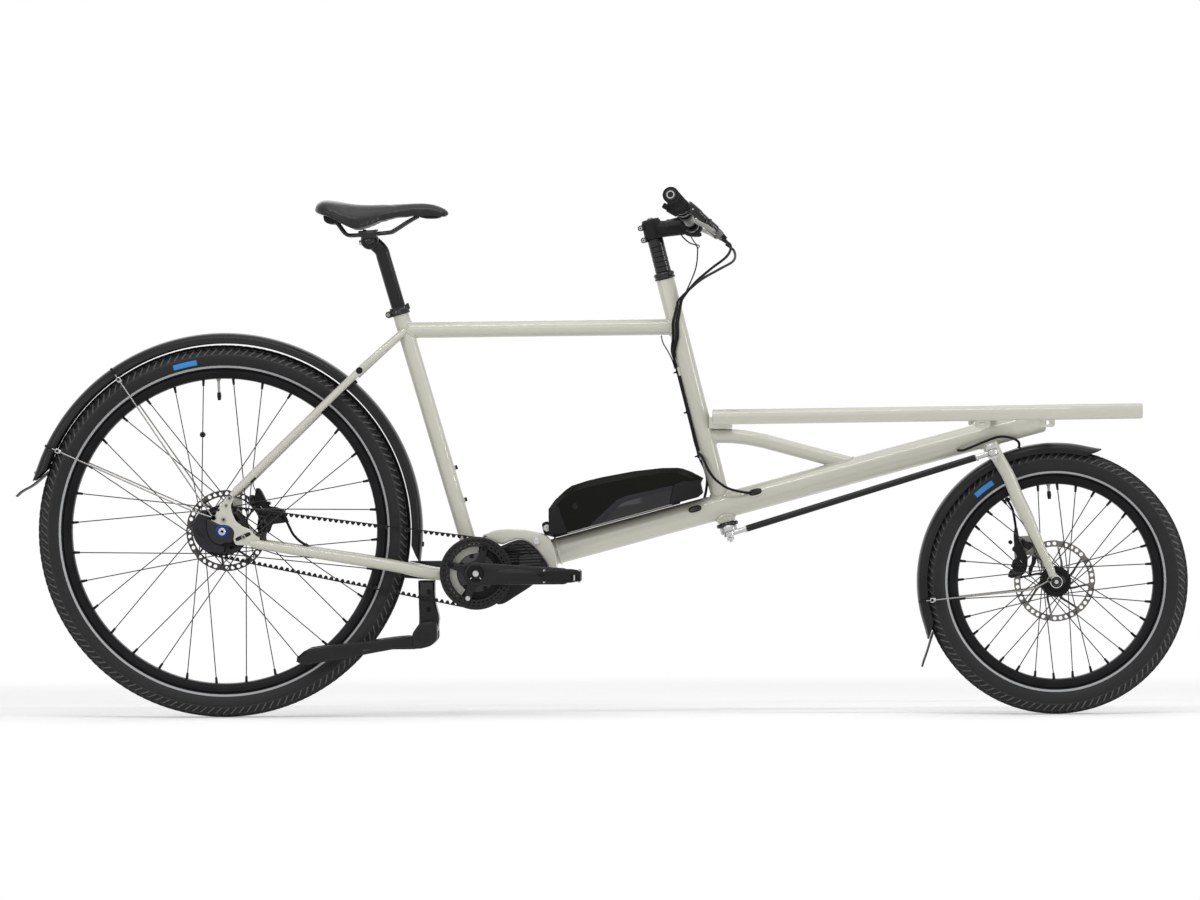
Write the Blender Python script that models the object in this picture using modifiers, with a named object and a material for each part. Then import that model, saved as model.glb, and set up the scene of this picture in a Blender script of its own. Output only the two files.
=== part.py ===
# Electric cargo bike with a front platform, a mid motor, a belt drive and rod steering.
# Metres, +Z up, +X forward, +Y to the rider's left. The chain side faces -Y.
# Places are written as seen from the side: x ahead of the rear axle, z above the floor.

import math

import bmesh
import bpy
from mathutils import Vector

# Clearances
gap = 0.0003
running_gap = 0.0006

# Wheels
wheelbase = 1.630
rear_tyre_radius = 0.365
front_tyre_radius = 0.260
rear_bead_radius = 0.311
front_bead_radius = 0.203
tyre_half_width = 0.027
tread_half_width = 0.0145
tyre_casing = 0.0040
bead_half_width = 0.0105
rim_inner_depth = 0.0122
rim_well_depth = 0.0035
rim_flange_height = 0.0055
rim_half_width = 0.0145
rear_wheel_sides = 40
front_wheel_sides = 32
spoke_radius = 0.0010
rear_spoke_pairs = 8
front_spoke_pairs = 7
rear_spoke_lean = 62.0
front_spoke_lean = 48.0

# Rear hub
axle_radius = 0.0060
rear_dropout_inside = 0.0678
rear_flange_radius = 0.0460
rear_flange_right = 0.0345
rear_flange_left = 0.0320
rear_shell_radius = 0.0380
flange_thickness = 0.0040
rotor_seat_radius = 0.0165
rotor_radius = 0.0800
rotor_thickness = 0.0018
rear_rotor_side = 0.0514
nut_radius = 0.0130
nut_length = 0.0080

# Front hub
front_dropout_inside = 0.0503
front_flange_radius = 0.0300
front_flange_right = 0.0280
front_flange_left = 0.0220
front_shell_radius = 0.0220
front_rotor_side = 0.0405

# Drive
bottom_bracket_ahead = 0.4953
bottom_bracket_height = 0.2814
spindle_radius = 0.0120
crank_length = 0.170
crank_droop = 2.0
crank_thickness = 0.014
crank_inside = 0.078
crank_boss_radius = 0.019
crank_end_radius = 0.014
pedal_length = 0.095
pedal_depth = 0.078
pedal_height = 0.019
pedal_axle_radius = 0.0065
belt_side = 0.0500
belt_width = 0.0120
belt_thickness = 0.0040
front_sprocket_radius = 0.0662
rear_sprocket_radius = 0.0470
belt_play = 0.0008
guard_radius = 0.0720
driver_radius = 0.0215
driver_inner = 0.0120
driver_outer = 0.0068
motor_radius = 0.0637
motor_inside = 0.0420
motor_far_side = 0.0500
cradle_wall = 0.0130
cradle_half_width = 0.0420
battery_half_width = 0.0460

# Frame tubes
seat_tube_radius = 0.0159
seat_tube_wall = 0.0018
seat_tube_lean = 16.35
seat_tube_ground_x = 0.5781
seat_tube_top = 0.790
top_tube_radius = 0.0159
top_tube_wall = 0.0014
top_tube_rear_height = 0.7580
top_tube_front_height = 0.7625
column_tube_radius = 0.0180
column_tube_wall = 0.0028
steering_lean = 14.0
column_ground_x = 1.0798
column_tube_top = 0.852
column_tube_under_boom = 0.03136
boom_radius = 0.0254
boom_wall = 0.0020
boom_start = (0.6522, 0.3232)
boom_over_crown = 0.03846
boom_front_x = wheelbase - 0.0240
brace_radius = 0.0143
brace_wall = 0.0014
brace_under_rail = 0.0377
brace_front_x = 1.250
stay_radius = 0.0080
stay_wall = 0.0014
chain_stay_front_radius = 0.0105
dropout_thickness = 0.0060
fork_head_radius = 0.0205
fork_head_over_crown = 0.0125
fork_head_length = 0.0415
fork_ground_x = wheelbase + 0.0037

# Cargo platform
rail_radius = 0.0150
rail_wall = 0.0020
rail_side = 0.2350
rail_rear_x = 0.9604
rail_over_crown = 0.07448
rail_overhang = 0.1604
rail_length = wheelbase + rail_overhang - rail_rear_x
rail_rise = 0.6
cross_tube_radius = 0.0127
cross_tube_wall = 0.0016
rear_cross_x = 0.9740
front_cross_x = wheelbase - 0.0180
tab_places = (wheelbase - 0.1484, wheelbase - 0.0230)
tab_thickness = 0.0060
tab_hole_radius = 0.0042

# Steering
steerer_radius = 0.0143
steerer_bore = 0.0115
steer_arm_reach = 0.0850
steer_arm_thickness = 0.0100
steer_arm_half_width = 0.0110
column_arm_drop = 0.0120
fork_arm_over_crown = 0.0135
fork_crown_radius = 0.0105
rod_radius = 0.0065
rod_shank_radius = 0.0046
rod_eye_radius = 0.0110
rod_eye_bore = 0.0046
rod_pin_radius = 0.0040
headset_radius = 0.0205
spacer_radius = 0.0177
stem_bottom = 0.9350
stem_top = 0.9700
stem_clamp_radius = 0.0195
stem_tube_radius = 0.0165
bar_clamp = (0.9221, 0.9574)
bar_clamp_radius = 0.0159
bar_clamp_outer = 0.0215
bar_radius = 0.0111
bar_half_width = 0.3320
bar_bend_side = 0.1250
bar_sweep_back = 0.179
bar_rise = 0.2556
grip_radius = 0.0155
grip_inner_side = 0.2050
fork_blade_side = 0.0505
fork_blade_radius = 0.0142
fork_tip_radius = 0.0085

# Saddle
seat_post_radius = 0.0136
seat_post_bottom = 0.6600
saddle_pivot = (0.2916, 0.9308)
saddle_pivot_radius = 0.0070
saddle_rail_radius = 0.0035
saddle_rail_side = 0.0220

# Mudguards
fender_thickness = 0.0025
rear_fender_radius = rear_tyre_radius + 0.0188
front_fender_radius = front_tyre_radius + 0.0075
fender_half_width = 0.0325
rear_fender_start = -9.0
rear_fender_end = 163.0
front_fender_start = 71.0
front_fender_end = 202.5
flap_tip_x = -0.4094
stay_wire_radius = 0.0016

# Stand
stand_pivot = (0.3909, 0.1569)
stand_hub_radius = 0.0270
stand_pin_radius = 0.0060

# Hoses
hose_radius = 0.0025

# The whole bike is moved back so that the middle of its length is the origin.
origin_shift = (wheelbase + front_tyre_radius + flap_tip_x) / 2

tube_sides = 16


def clear_scene():
    for item in list(bpy.data.objects):
        bpy.data.objects.remove(item)


clear_scene()
parts = bpy.data.collections.new("electric_cargo_bike")
cutters = bpy.data.collections.new("cutters")
bpy.context.scene.collection.children.link(parts)
bpy.context.scene.collection.children.link(cutters)


# Materials

def finish(name, color, roughness, metallic):
    material = bpy.data.materials.get(name)
    if material is None:
        material = bpy.data.materials.new(name)
        material.use_nodes = True
        shader = material.node_tree.nodes["Principled BSDF"]
        shader.inputs["Base Color"].default_value = (*color, 1.0)
        shader.inputs["Roughness"].default_value = roughness
        shader.inputs["Metallic"].default_value = metallic
        material.diffuse_color = (*color, 1.0)
    return material


def paint():
    return finish("greige_paint", (0.60, 0.60, 0.52), 0.30, 0.0)


def black_plastic():
    return finish("black_plastic", (0.020, 0.020, 0.022), 0.45, 0.0)


def black_metal():
    return finish("black_metal", (0.025, 0.025, 0.027), 0.35, 0.6)


def gloss_black():
    return finish("gloss_black", (0.012, 0.012, 0.014), 0.12, 0.0)


def tyre_rubber():
    return finish("tyre_rubber", (0.018, 0.018, 0.019), 0.75, 0.0)


def grip_rubber():
    return finish("grip_rubber", (0.022, 0.021, 0.021), 0.80, 0.0)


def saddle_leather():
    return finish("saddle_leather", (0.020, 0.019, 0.018), 0.50, 0.0)


def steel():
    return finish("steel", (0.56, 0.56, 0.58), 0.28, 1.0)


def dark_metal():
    return finish("dark_metal", (0.10, 0.10, 0.11), 0.35, 0.9)


def belt_rubber():
    return finish("belt_rubber", (0.015, 0.015, 0.015), 0.60, 0.0)


# Placing

def spot_of(item):
    spot = Vector((0.0, 0.0, 0.0))
    while item is not None and item.name != "bike":
        spot += item.location
        item = item.parent
    return spot


def place(item, spot, parent):
    item.location = Vector(spot) - spot_of(parent)
    item.parent = parent


def pivot(name, spot, parent):
    item = bpy.data.objects.new(name, None)
    item.empty_display_size = 0.03
    parts.objects.link(item)
    place(item, spot, parent)
    return item


def add_object(name, data, material, spot, parent, turn=(0.0, 0.0, 0.0)):
    item = bpy.data.objects.new(name, data)
    if material is not None:
        data.materials.append(material)
    parts.objects.link(item)
    item.rotation_euler = turn
    place(item, spot, parent)
    return item


def as_tool(item):
    parts.objects.unlink(item)
    cutters.objects.link(item)
    item.hide_render = True
    item.display_type = "WIRE"
    return item


def boolean(item, tool, operation):
    if tool.name in parts.objects:
        as_tool(tool)
    modifier = item.modifiers.new(operation.lower() + "_" + tool.name, "BOOLEAN")
    modifier.operation = operation
    modifier.solver = "EXACT"
    modifier.object = tool
    return item


def cut(item, *tools):
    for tool in tools:
        boolean(item, tool, "DIFFERENCE")
    return item


def join(item, *tools):
    for tool in tools:
        boolean(item, tool, "UNION")
    return item


def smooth(item, angle=40.0):
    item.data.shade_smooth()
    item.data.set_sharp_from_angle(angle=math.radians(angle))
    return item


# Shapes

def aim(direction):
    return Vector(direction).to_track_quat("Z", "Y").to_euler()


def rod(name, radius, start, end, parent, material=None, end_radius=None, sides=tube_sides):
    start, end = Vector(start), Vector(end)
    if end_radius is None:
        end_radius = radius
    mesh = bpy.data.meshes.new(name)
    shape = bmesh.new()
    bmesh.ops.create_cone(shape, cap_ends=True, segments=sides, radius1=radius,
                          radius2=end_radius, depth=(end - start).length)
    shape.to_mesh(mesh)
    shape.free()
    return smooth(add_object(name, mesh, material, (start + end) / 2, parent, aim(end - start)))


def block(name, size, centre, parent, material=None, turn=(0.0, 0.0, 0.0)):
    mesh = bpy.data.meshes.new(name)
    shape = bmesh.new()
    bmesh.ops.create_cube(shape, size=1.0)
    bmesh.ops.scale(shape, vec=size, verts=shape.verts)
    shape.to_mesh(mesh)
    shape.free()
    return add_object(name, mesh, material, centre, parent, turn)


def rounded(item, width, segments=2):
    modifier = item.modifiers.new("rounded_edges", "BEVEL")
    modifier.width = width
    modifier.segments = segments
    modifier.limit_method = "ANGLE"
    modifier.angle_limit = math.radians(50.0)
    return item


def turned(name, profile, spot, turn, parent, material=None, steps=tube_sides,
           closed=True, angle=360.0):
    """Radius and height pairs, outer side first from top to bottom, turned about local Z."""
    mesh = bpy.data.meshes.new(name)
    count = len(profile)
    edges = [(index, index + 1) for index in range(count - 1)]
    if closed:
        edges.append((count - 1, 0))
    mesh.from_pydata([(radius, 0.0, height) for radius, height in profile], edges, [])
    item = add_object(name, mesh, material, spot, parent, turn)
    screw = item.modifiers.new("turn", "SCREW")
    screw.axis = "Z"
    screw.angle = math.radians(angle)
    screw.steps = steps
    screw.render_steps = steps
    screw.use_merge_vertices = True
    screw.merge_threshold = 0.00001
    screw.use_smooth_shade = True
    return item


def pipe(name, radius, wall, start, end, parent, material=None, sides=tube_sides):
    start, end = Vector(start), Vector(end)
    half = (end - start).length / 2
    profile = [(radius, half), (radius, -half), (radius - wall, -half), (radius - wall, half)]
    return turned(name, profile, (start + end) / 2, aim(end - start), parent, material, sides)


def across(half_step=0.0, start=0.0):
    """Turn that lays local Z along +Y, for what spins about an axle."""
    return (math.radians(-90.0), math.radians(half_step - start), 0.0)


def smooth_path(points, steps):
    """Points along a smooth curve through the given ones."""
    knots = [Vector(point) for point in points]
    knots = [2 * knots[0] - knots[1]] + knots + [2 * knots[-1] - knots[-2]]
    path = []
    for index in range(1, len(knots) - 2):
        before, here, there, after = knots[index - 1:index + 3]
        for step in range(steps):
            t = step / steps
            path.append(0.5 * (2 * here + (there - before) * t
                               + (2 * before - 5 * here + 4 * there - after) * t ** 2
                               + (3 * here - before - 3 * there + after) * t ** 3))
    path.append(knots[-2])
    return path


def wire(name, points, radius, parent, material=None, radii=None, resolution=2, origin=(0.0, 0.0, 0.0)):
    curve = bpy.data.curves.new(name, "CURVE")
    curve.dimensions = "3D"
    curve.bevel_depth = radius
    curve.bevel_resolution = resolution
    curve.use_fill_caps = True
    spline = curve.splines.new("POLY")
    spline.points.add(len(points) - 1)
    for index, point in enumerate(points):
        spline.points[index].co = (*(Vector(point) - Vector(origin)), 1.0)
        if radii is not None:
            spline.points[index].radius = radii[index] / radius
    return add_object(name, curve, material, origin, parent)


def plate(name, outline, thickness, side, parent, material=None, holes=()):
    """A flat outline of x and z pairs, given a thickness across the bike."""
    curve = bpy.data.curves.new(name, "CURVE")
    curve.dimensions = "2D"
    curve.fill_mode = "BOTH"
    curve.extrude = thickness / 2
    for loop in (outline, *holes):
        spline = curve.splines.new("POLY")
        spline.points.add(len(loop) - 1)
        for index, (x, z) in enumerate(loop):
            spline.points[index].co = (x, z, 0.0, 1.0)
        spline.use_cyclic_u = True
    return add_object(name, curve, material, (0.0, side, 0.0), parent, (math.radians(90.0), 0.0, 0.0))


def as_mesh(item):
    """The curve made a mesh, its caps welded, so that it can be cut or joined."""
    bpy.context.view_layer.update()
    depsgraph = bpy.context.evaluated_depsgraph_get()
    mesh = bpy.data.meshes.new_from_object(item.evaluated_get(depsgraph))
    shape = bmesh.new()
    shape.from_mesh(mesh)
    bmesh.ops.remove_doubles(shape, verts=shape.verts, dist=0.00001)
    shape.to_mesh(mesh)
    shape.free()
    name, world, parent = item.name, item.matrix_world.copy(), item.parent
    curve = item.data
    bpy.data.objects.remove(item)
    bpy.data.curves.remove(curve)
    solid = bpy.data.objects.new(name, mesh)
    parts.objects.link(solid)
    solid.parent = parent
    bpy.context.view_layer.update()
    solid.matrix_world = world
    return smooth(solid)


def bent_tube(name, points, radius, wall, parent, material=None, radii=None, resolution=3):
    """A bent tube, open at both ends, whose bore runs on past them."""
    points = [Vector(point) for point in points]
    radii = radii or [radius] * len(points)
    outer = as_mesh(wire(name, points, radius, parent, material, radii, resolution))
    first = points[0] + (points[0] - points[1]).normalized() * 0.02
    last = points[-1] + (points[-1] - points[-2]).normalized() * 0.02
    inner_points = [first] + points + [last]
    inner_radii = [radii[0] - wall] + [value - wall for value in radii] + [radii[-1] - wall]
    inner = as_mesh(wire(name + "_bore", inner_points, radius, parent, None, inner_radii, resolution))
    return cut(outer, inner)


def arc(centre, radius, start, end, count):
    """Points on an arc, angles in degrees from forward, rising over the top."""
    points = []
    for index in range(count + 1):
        angle = math.radians(start + (end - start) * index / count)
        points.append((centre[0] + radius * math.cos(angle), centre[1] + radius * math.sin(angle)))
    return points


# Places that many pieces share

steer_slope = math.tan(math.radians(steering_lean))
steer_up = Vector((-math.sin(math.radians(steering_lean)), 0.0, math.cos(math.radians(steering_lean))))
steer_ahead = Vector((steer_up.z, 0.0, -steer_up.x))
seat_slope = math.tan(math.radians(seat_tube_lean))
rear_hub = Vector((0.0, 0.0, rear_tyre_radius))
front_hub = Vector((wheelbase, 0.0, front_tyre_radius))
bottom_bracket = Vector((bottom_bracket_ahead, 0.0, bottom_bracket_height))
cradle_inner = motor_radius + gap * 3
cradle_outer = cradle_inner + cradle_wall


def column_at(height):
    return Vector((column_ground_x - steer_slope * height, 0.0, height))


def fork_at(height):
    return Vector((fork_ground_x - steer_slope * height, 0.0, height))


def crown_height():
    """Where the crown stands clear of the front mudguard, on the axis that the fork turns about."""
    reach = front_fender_radius + fender_thickness / 2 + fork_crown_radius + running_gap
    ahead = fork_at(front_hub.z).x - front_hub.x
    steep = 1.0 + steer_slope ** 2
    return front_hub.z + (ahead * steer_slope
                          + math.sqrt((ahead * steer_slope) ** 2 - steep * (ahead ** 2 - reach ** 2))) / steep


fork_crown_height = crown_height()
fork_arm_height = fork_crown_height + fork_arm_over_crown
fork_head_bottom = fork_crown_height + fork_head_over_crown
fork_head_top = fork_head_bottom + fork_head_length
rail_rear = (rail_rear_x, fork_crown_height + rail_over_crown)
brace_top = rail_rear[1] - brace_under_rail
boom_goal = fork_at(fork_crown_height + boom_over_crown)
boom_along = (boom_goal - Vector((boom_start[0], 0.0, boom_start[1]))).normalized()
boom_up = Vector((-boom_along.z, 0.0, boom_along.x))
boom_lean = math.degrees(math.asin(boom_along.z))
boom_slope = boom_along.z / boom_along.x
boom_at_column = ((boom_start[1] + (column_ground_x - boom_start[0]) * boom_slope)
                  / (1.0 + steer_slope * boom_slope))
column_tube_bottom = boom_at_column - column_tube_under_boom
column_arm_height = column_tube_bottom - column_arm_drop


def seat_at(height):
    return Vector((seat_tube_ground_x - seat_slope * height, 0.0, height))


def boom_at(along, up):
    return Vector((boom_start[0], 0.0, boom_start[1])) + boom_along * along + boom_up * up


def boom_length_to(x):
    return (x - boom_start[0]) / boom_along.x


def rail_at(x):
    rise = math.tan(math.radians(rail_rise))
    return Vector((x, 0.0, rail_rear[1] + (x - rail_rear[0]) * rise))


def bar_at(side):
    out = max(abs(side) - bar_bend_side, 0.0)
    return Vector((bar_clamp[0] - bar_sweep_back * out, side, bar_clamp[1] + bar_rise * out))


def at_side(point, side):
    return Vector((point[0], side, point[-1]))


bike = bpy.data.objects.new("bike", None)
parts.objects.link(bike)
bike.location = (-origin_shift, 0.0, 0.0)


# Frame

def tube_cutter(name, radius, start, end):
    return as_tool(rod(name, radius + running_gap, start, end, bike))


def build_frame():
    seat_cutter = tube_cutter("seat_tube_room", seat_tube_radius, seat_at(0.85), seat_at(0.30))
    column_cutter = tube_cutter("column_tube_room", column_tube_radius, column_at(0.95), column_at(0.30))
    boom_cutter = tube_cutter("boom_room", boom_radius, boom_at(-0.05, 0.0), boom_at(1.05, 0.0))
    cradle_side = Vector((0.0, 0.10, 0.0))
    cradle_cutter = as_tool(rod("cradle_room", cradle_outer + running_gap, bottom_bracket - cradle_side,
                                bottom_bracket + cradle_side, bike, sides=48))

    seat_tube = pipe("seat_tube", seat_tube_radius, seat_tube_wall, seat_at(seat_tube_top),
                     seat_at(bottom_bracket_height + 0.02), bike, paint())
    cut(seat_tube, cradle_cutter)

    top_tube = pipe("top_tube", top_tube_radius, top_tube_wall, seat_at(top_tube_rear_height),
                    column_at(top_tube_front_height), bike, paint())
    cut(top_tube, seat_cutter, column_cutter)

    pipe("column_tube", column_tube_radius, column_tube_wall, column_at(column_tube_top),
         column_at(column_tube_bottom), bike, paint())

    boom = pipe("boom", boom_radius, boom_wall, boom_at(0.0025, 0.0),
                boom_at(boom_length_to(boom_front_x), 0.0), bike, paint())
    join(boom, rod("fork_head", fork_head_radius, fork_at(fork_head_top), fork_at(fork_head_bottom), bike))
    cut(boom, rod("steerer_room", steerer_radius + running_gap, fork_at(fork_head_top - 0.003),
                  fork_at(fork_head_bottom - 0.03), bike))
    front_cross = rail_at(front_cross_x)
    front_cross_cutter = tube_cutter("front_cross_room", cross_tube_radius, at_side(front_cross, -0.1),
                                     at_side(front_cross, 0.1))
    cut(boom, column_cutter, front_cross_cutter)

    foot = column_at(brace_top)
    brace_points = smooth_path([foot + Vector(offset) for offset in (
        (0.0068, 0.0, 0.0), (0.0468, 0.0, 0.0), (0.0818, 0.0, -0.0033), (0.1168, 0.0, -0.0103))], 2)
    brace_points += [boom_at(boom_length_to(brace_front_x), 0.0) + Vector((0.0, 0.0, 0.0026))]
    brace = bent_tube("brace_tube", brace_points, brace_radius, brace_wall, bike, paint())
    cut(brace, column_cutter, boom_cutter)

    build_seat_stays(seat_cutter)
    build_chain_stays(cradle_cutter)
    build_cradle()
    build_platform(column_cutter)


def build_seat_stays(seat_cutter):
    def stay(name, side):
        points = smooth_path([(0.0290, side * 0.0710, 0.4430), (0.140, side * 0.0580, 0.5510),
                              (0.250, side * 0.0450, 0.6580), (0.300, side * 0.0400, 0.7065),
                              (0.3510, side * 0.0100, 0.7530)], 2)
        return bent_tube(name, points, stay_radius, stay_wall, bike, paint(), resolution=2)

    stays = stay("seat_stays", -1.0)
    bridge_radius = 0.0060
    bridge_reach = rear_fender_radius + fender_thickness / 2 + bridge_radius + running_gap
    bridge_angle = math.radians(49.5)
    bridge = rear_hub + Vector((math.cos(bridge_angle), 0.0, math.sin(bridge_angle))) * bridge_reach
    join(stays, stay("seat_stay_left", 1.0),
         rod("seat_stay_bridge", bridge_radius, at_side(bridge, -0.0430), at_side(bridge, 0.0430), bike,
             sides=10))
    cut(stays, seat_cutter)
    return stays


def dropout_outline(extra):
    outline = [(-0.022, 0.350), (-0.020, 0.385), (-0.012, 0.409), (0.003, 0.437), (0.022, 0.4405)]
    outline += extra
    outline += [(0.080, 0.349), (0.078, 0.327), (0.040, 0.334), (0.0, 0.341)]
    return outline


def build_chain_stays(cradle_cutter):
    side_centre = rear_dropout_inside + dropout_thickness / 2

    def stay(name, side):
        points = smooth_path([(0.0600, side * side_centre, 0.3380), (0.200, side * 0.0610, 0.3150),
                              (0.330, side * 0.0480, 0.2950), (0.400, side * 0.0340, 0.2815),
                              (0.440, side * 0.0300, 0.2790)], 3)
        radii = [stay_radius + (chain_stay_front_radius - stay_radius) * index / (len(points) - 1)
                 for index in range(len(points))]
        return as_mesh(wire(name, points, stay_radius, bike, paint(), radii))

    axle_hole = arc((0.0, rear_tyre_radius), axle_radius + running_gap, 0.0, 330.0, 11)
    right = as_mesh(plate("dropout_right", dropout_outline([(0.034, 0.418), (0.040, 0.382)]),
                          dropout_thickness, -side_centre, bike, None, [axle_hole]))
    left = as_mesh(plate("dropout_left", dropout_outline([(0.102, 0.412), (0.104, 0.385)]),
                         dropout_thickness, side_centre, bike, None, [axle_hole]))
    bridge = block("chain_stay_bridge", (0.026, 0.066, 0.020), (0.4010, 0.0, 0.2805), bike)
    stays = stay("chain_stays", -1.0)
    join(stays, stay("chain_stay_left", 1.0), bridge, right, left)
    cut(stays, cradle_cutter)
    return stays


def build_cradle():
    centre = (bottom_bracket.x, bottom_bracket.z)
    foot = boom_at(0.0022, -0.030)
    head = boom_at(0.0022, boom_radius)
    outline = arc(centre, cradle_outer, 190.0, 82.0, 14)
    outline += [(0.572, 0.3650), (head.x, head.z), (foot.x, foot.z), (0.6360, 0.2880), (0.6300, 0.3210),
                (0.5660, 0.3500)]
    outline += arc(centre, cradle_inner, 82.0, 190.0, 14)
    plate("motor_cradle", outline, cradle_half_width * 2, 0.0, bike, paint())


def build_platform(column_cutter):
    rise = math.radians(rail_rise)
    along = Vector((math.cos(rise), 0.0, math.sin(rise)))
    rear = Vector((rail_rear[0], 0.0, rail_rear[1]))

    def rail(name, side, radius, extra):
        start = at_side(rear, side) - along * extra
        return rod(name, radius, start, at_side(rear, side) + along * (rail_length + extra), bike, paint(),
                   sides=16)

    rise_slope = math.tan(rise)
    clear = (boom_radius + cross_tube_radius + gap) / boom_along.x
    middle_x = (rail_rear[1] - rail_rear[0] * rise_slope - boom_start[1] + boom_start[0] * boom_slope
                - clear) / (boom_slope - rise_slope)
    cross_places = (rear_cross_x, middle_x, front_cross_x)
    platform = rail("cargo_platform", -rail_side, rail_radius, 0.0)
    join(platform, rail("rail_left", rail_side, rail_radius, 0.0))
    for number, x in enumerate(cross_places):
        join(platform, rod("cross_tube_%d" % number, cross_tube_radius, at_side(rail_at(x), -rail_side),
                           at_side(rail_at(x), rail_side), bike, sides=12))
    shelf_depth = rail_at(rear_cross_x).z - (brace_top + brace_radius + gap * 2)
    shelf = block("rear_shelf", (0.046, 0.044, shelf_depth),
                  rail_at(rear_cross_x) - Vector((0.0, 0.0, shelf_depth / 2)), bike)
    join(platform, shelf)
    for number, x in enumerate(tab_places):
        for name, sign in (("right", -1.0), ("left", 1.0)):
            spot = rail_at(x) - Vector((0.0, 0.0, 0.0160))
            join(platform, block("tab_%s_%d" % (name, number), (0.030, tab_thickness, 0.026),
                                 at_side(spot, sign * rail_side), bike))
            hole = spot - Vector((0.0, 0.0, 0.0040))
            cut(platform, rod("tab_hole_%s_%d" % (name, number), tab_hole_radius,
                              at_side(hole, sign * (rail_side - 0.02)), at_side(hole, sign * (rail_side + 0.02)),
                              bike, sides=12))
    for number, x in enumerate(cross_places):
        cut(platform, rod("cross_bore_%d" % number, cross_tube_radius - cross_tube_wall,
                          at_side(rail_at(x), -rail_side), at_side(rail_at(x), rail_side), bike, sides=12))
    cut(platform, rail("rail_bore_right", -rail_side, rail_radius - rail_wall, 0.01),
        rail("rail_bore_left", rail_side, rail_radius - rail_wall, 0.01), column_cutter)


# Wheels

def rim_profile(bead_radius):
    flange = bead_radius + rim_flange_height
    well = bead_radius - rim_well_depth
    inner = bead_radius - rim_inner_depth
    shoulder = inner + 0.0050
    well_half = bead_half_width + 0.0007
    half = [(flange, rim_half_width), (flange, well_half + 0.0008), (well, well_half)]
    mirrored = [(radius, -height) for radius, height in reversed(half)]
    below = [(shoulder, -rim_half_width), (inner, -0.008), (inner, 0.008), (shoulder, rim_half_width)]
    return half + mirrored + below


def tyre_profile(bead_radius, outer_radius, sides):
    crown = outer_radius / math.cos(math.pi / sides)
    bead = bead_radius - rim_well_depth + gap
    flange = bead_radius + rim_flange_height + 0.0030
    widest = (bead_radius + outer_radius) / 2 + 0.002
    shoulder = outer_radius - 0.0080
    half = [(bead, bead_half_width), (flange, bead_half_width), (widest, tyre_half_width),
            (shoulder, tread_half_width + 0.0085), (crown, tread_half_width)]
    inside = [(bead, bead_half_width - 0.0030), (flange + 0.0012, bead_half_width - 0.0030),
              (widest, tyre_half_width - tyre_casing),
              (crown - tyre_casing - 0.0015, tread_half_width - 0.002)]
    below = [(radius, -height) for radius, height in reversed(half)]
    return half + below + [(radius, -height) for radius, height in inside] + list(reversed(inside))


def spokes(name, hub, flange_radius, right_side, left_side, rim_radius, pairs, lean, parent):
    """Every spoke of a wheel as one mesh, leading and trailing by turns on each flange."""
    mesh = bpy.data.meshes.new(name)
    shape = bmesh.new()
    total = pairs * 4
    for number in range(total):
        on_left = number % 2
        trailing = (number // 2) % 2
        side = left_side if on_left else -right_side
        lift = 0.0018 if trailing else -0.0018
        rim_angle = math.radians(360.0 * (number + 0.5) / total)
        hub_angle = rim_angle + math.radians(lean if trailing else -lean)
        start = Vector((math.cos(hub_angle) * flange_radius, side + lift, math.sin(hub_angle) * flange_radius))
        end = Vector((math.cos(rim_angle) * rim_radius, lift + (0.002 if on_left else -0.002),
                      math.sin(rim_angle) * rim_radius))
        turn = (end - start).to_track_quat("Z", "Y").to_matrix().to_4x4()
        turn.translation = (start + end) / 2
        bmesh.ops.create_cone(shape, cap_ends=True, segments=4, radius1=spoke_radius, radius2=spoke_radius,
                              depth=(end - start).length, matrix=turn)
    shape.to_mesh(mesh)
    shape.free()
    return add_object(name, mesh, None, hub, parent)


def hub_profile(stations, bore):
    """Stations run from the left end to the right end as radius and side."""
    profile = []
    for radius, first, last in stations:
        profile += [(radius, first), (radius, last)]
    return profile + [(bore, stations[-1][2]), (bore, stations[0][1])]


def rotor(name, spot, side, parent, sides=28):
    half = rotor_thickness / 2
    inner = rotor_seat_radius + gap
    profile = [(rotor_radius, half), (rotor_radius, -half), (inner, -half), (inner, half)]
    item = turned(name, profile, at_side(spot, side), across(), parent, steel(), sides)
    mesh = bpy.data.meshes.new(name + "_windows")
    shape = bmesh.new()
    reach = (rotor_radius + rotor_seat_radius) / 2 + 0.004
    for number in range(6):
        angle = math.radians(60.0 * number)
        turn = Vector((0.0, 1.0, 0.0)).to_track_quat("Z", "Y").to_matrix().to_4x4()
        turn.translation = Vector((math.cos(angle) * reach, 0.0, math.sin(angle) * reach))
        bmesh.ops.create_cone(shape, cap_ends=True, segments=6, radius1=0.0125, radius2=0.0125,
                              depth=0.02, matrix=turn)
    shape.to_mesh(mesh)
    shape.free()
    cut(item, add_object(name + "_windows", mesh, None, at_side(spot, side), parent))
    return item


def wheel(prefix, hub, bead_radius, outer_radius, sides, parent):
    half_step = 180.0 / sides
    turned(prefix + "_rim", rim_profile(bead_radius), hub, across(half_step), parent, black_metal(), sides)
    turned(prefix + "_tyre", tyre_profile(bead_radius, outer_radius, sides), hub, across(half_step),
           parent, tyre_rubber(), sides)


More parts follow.
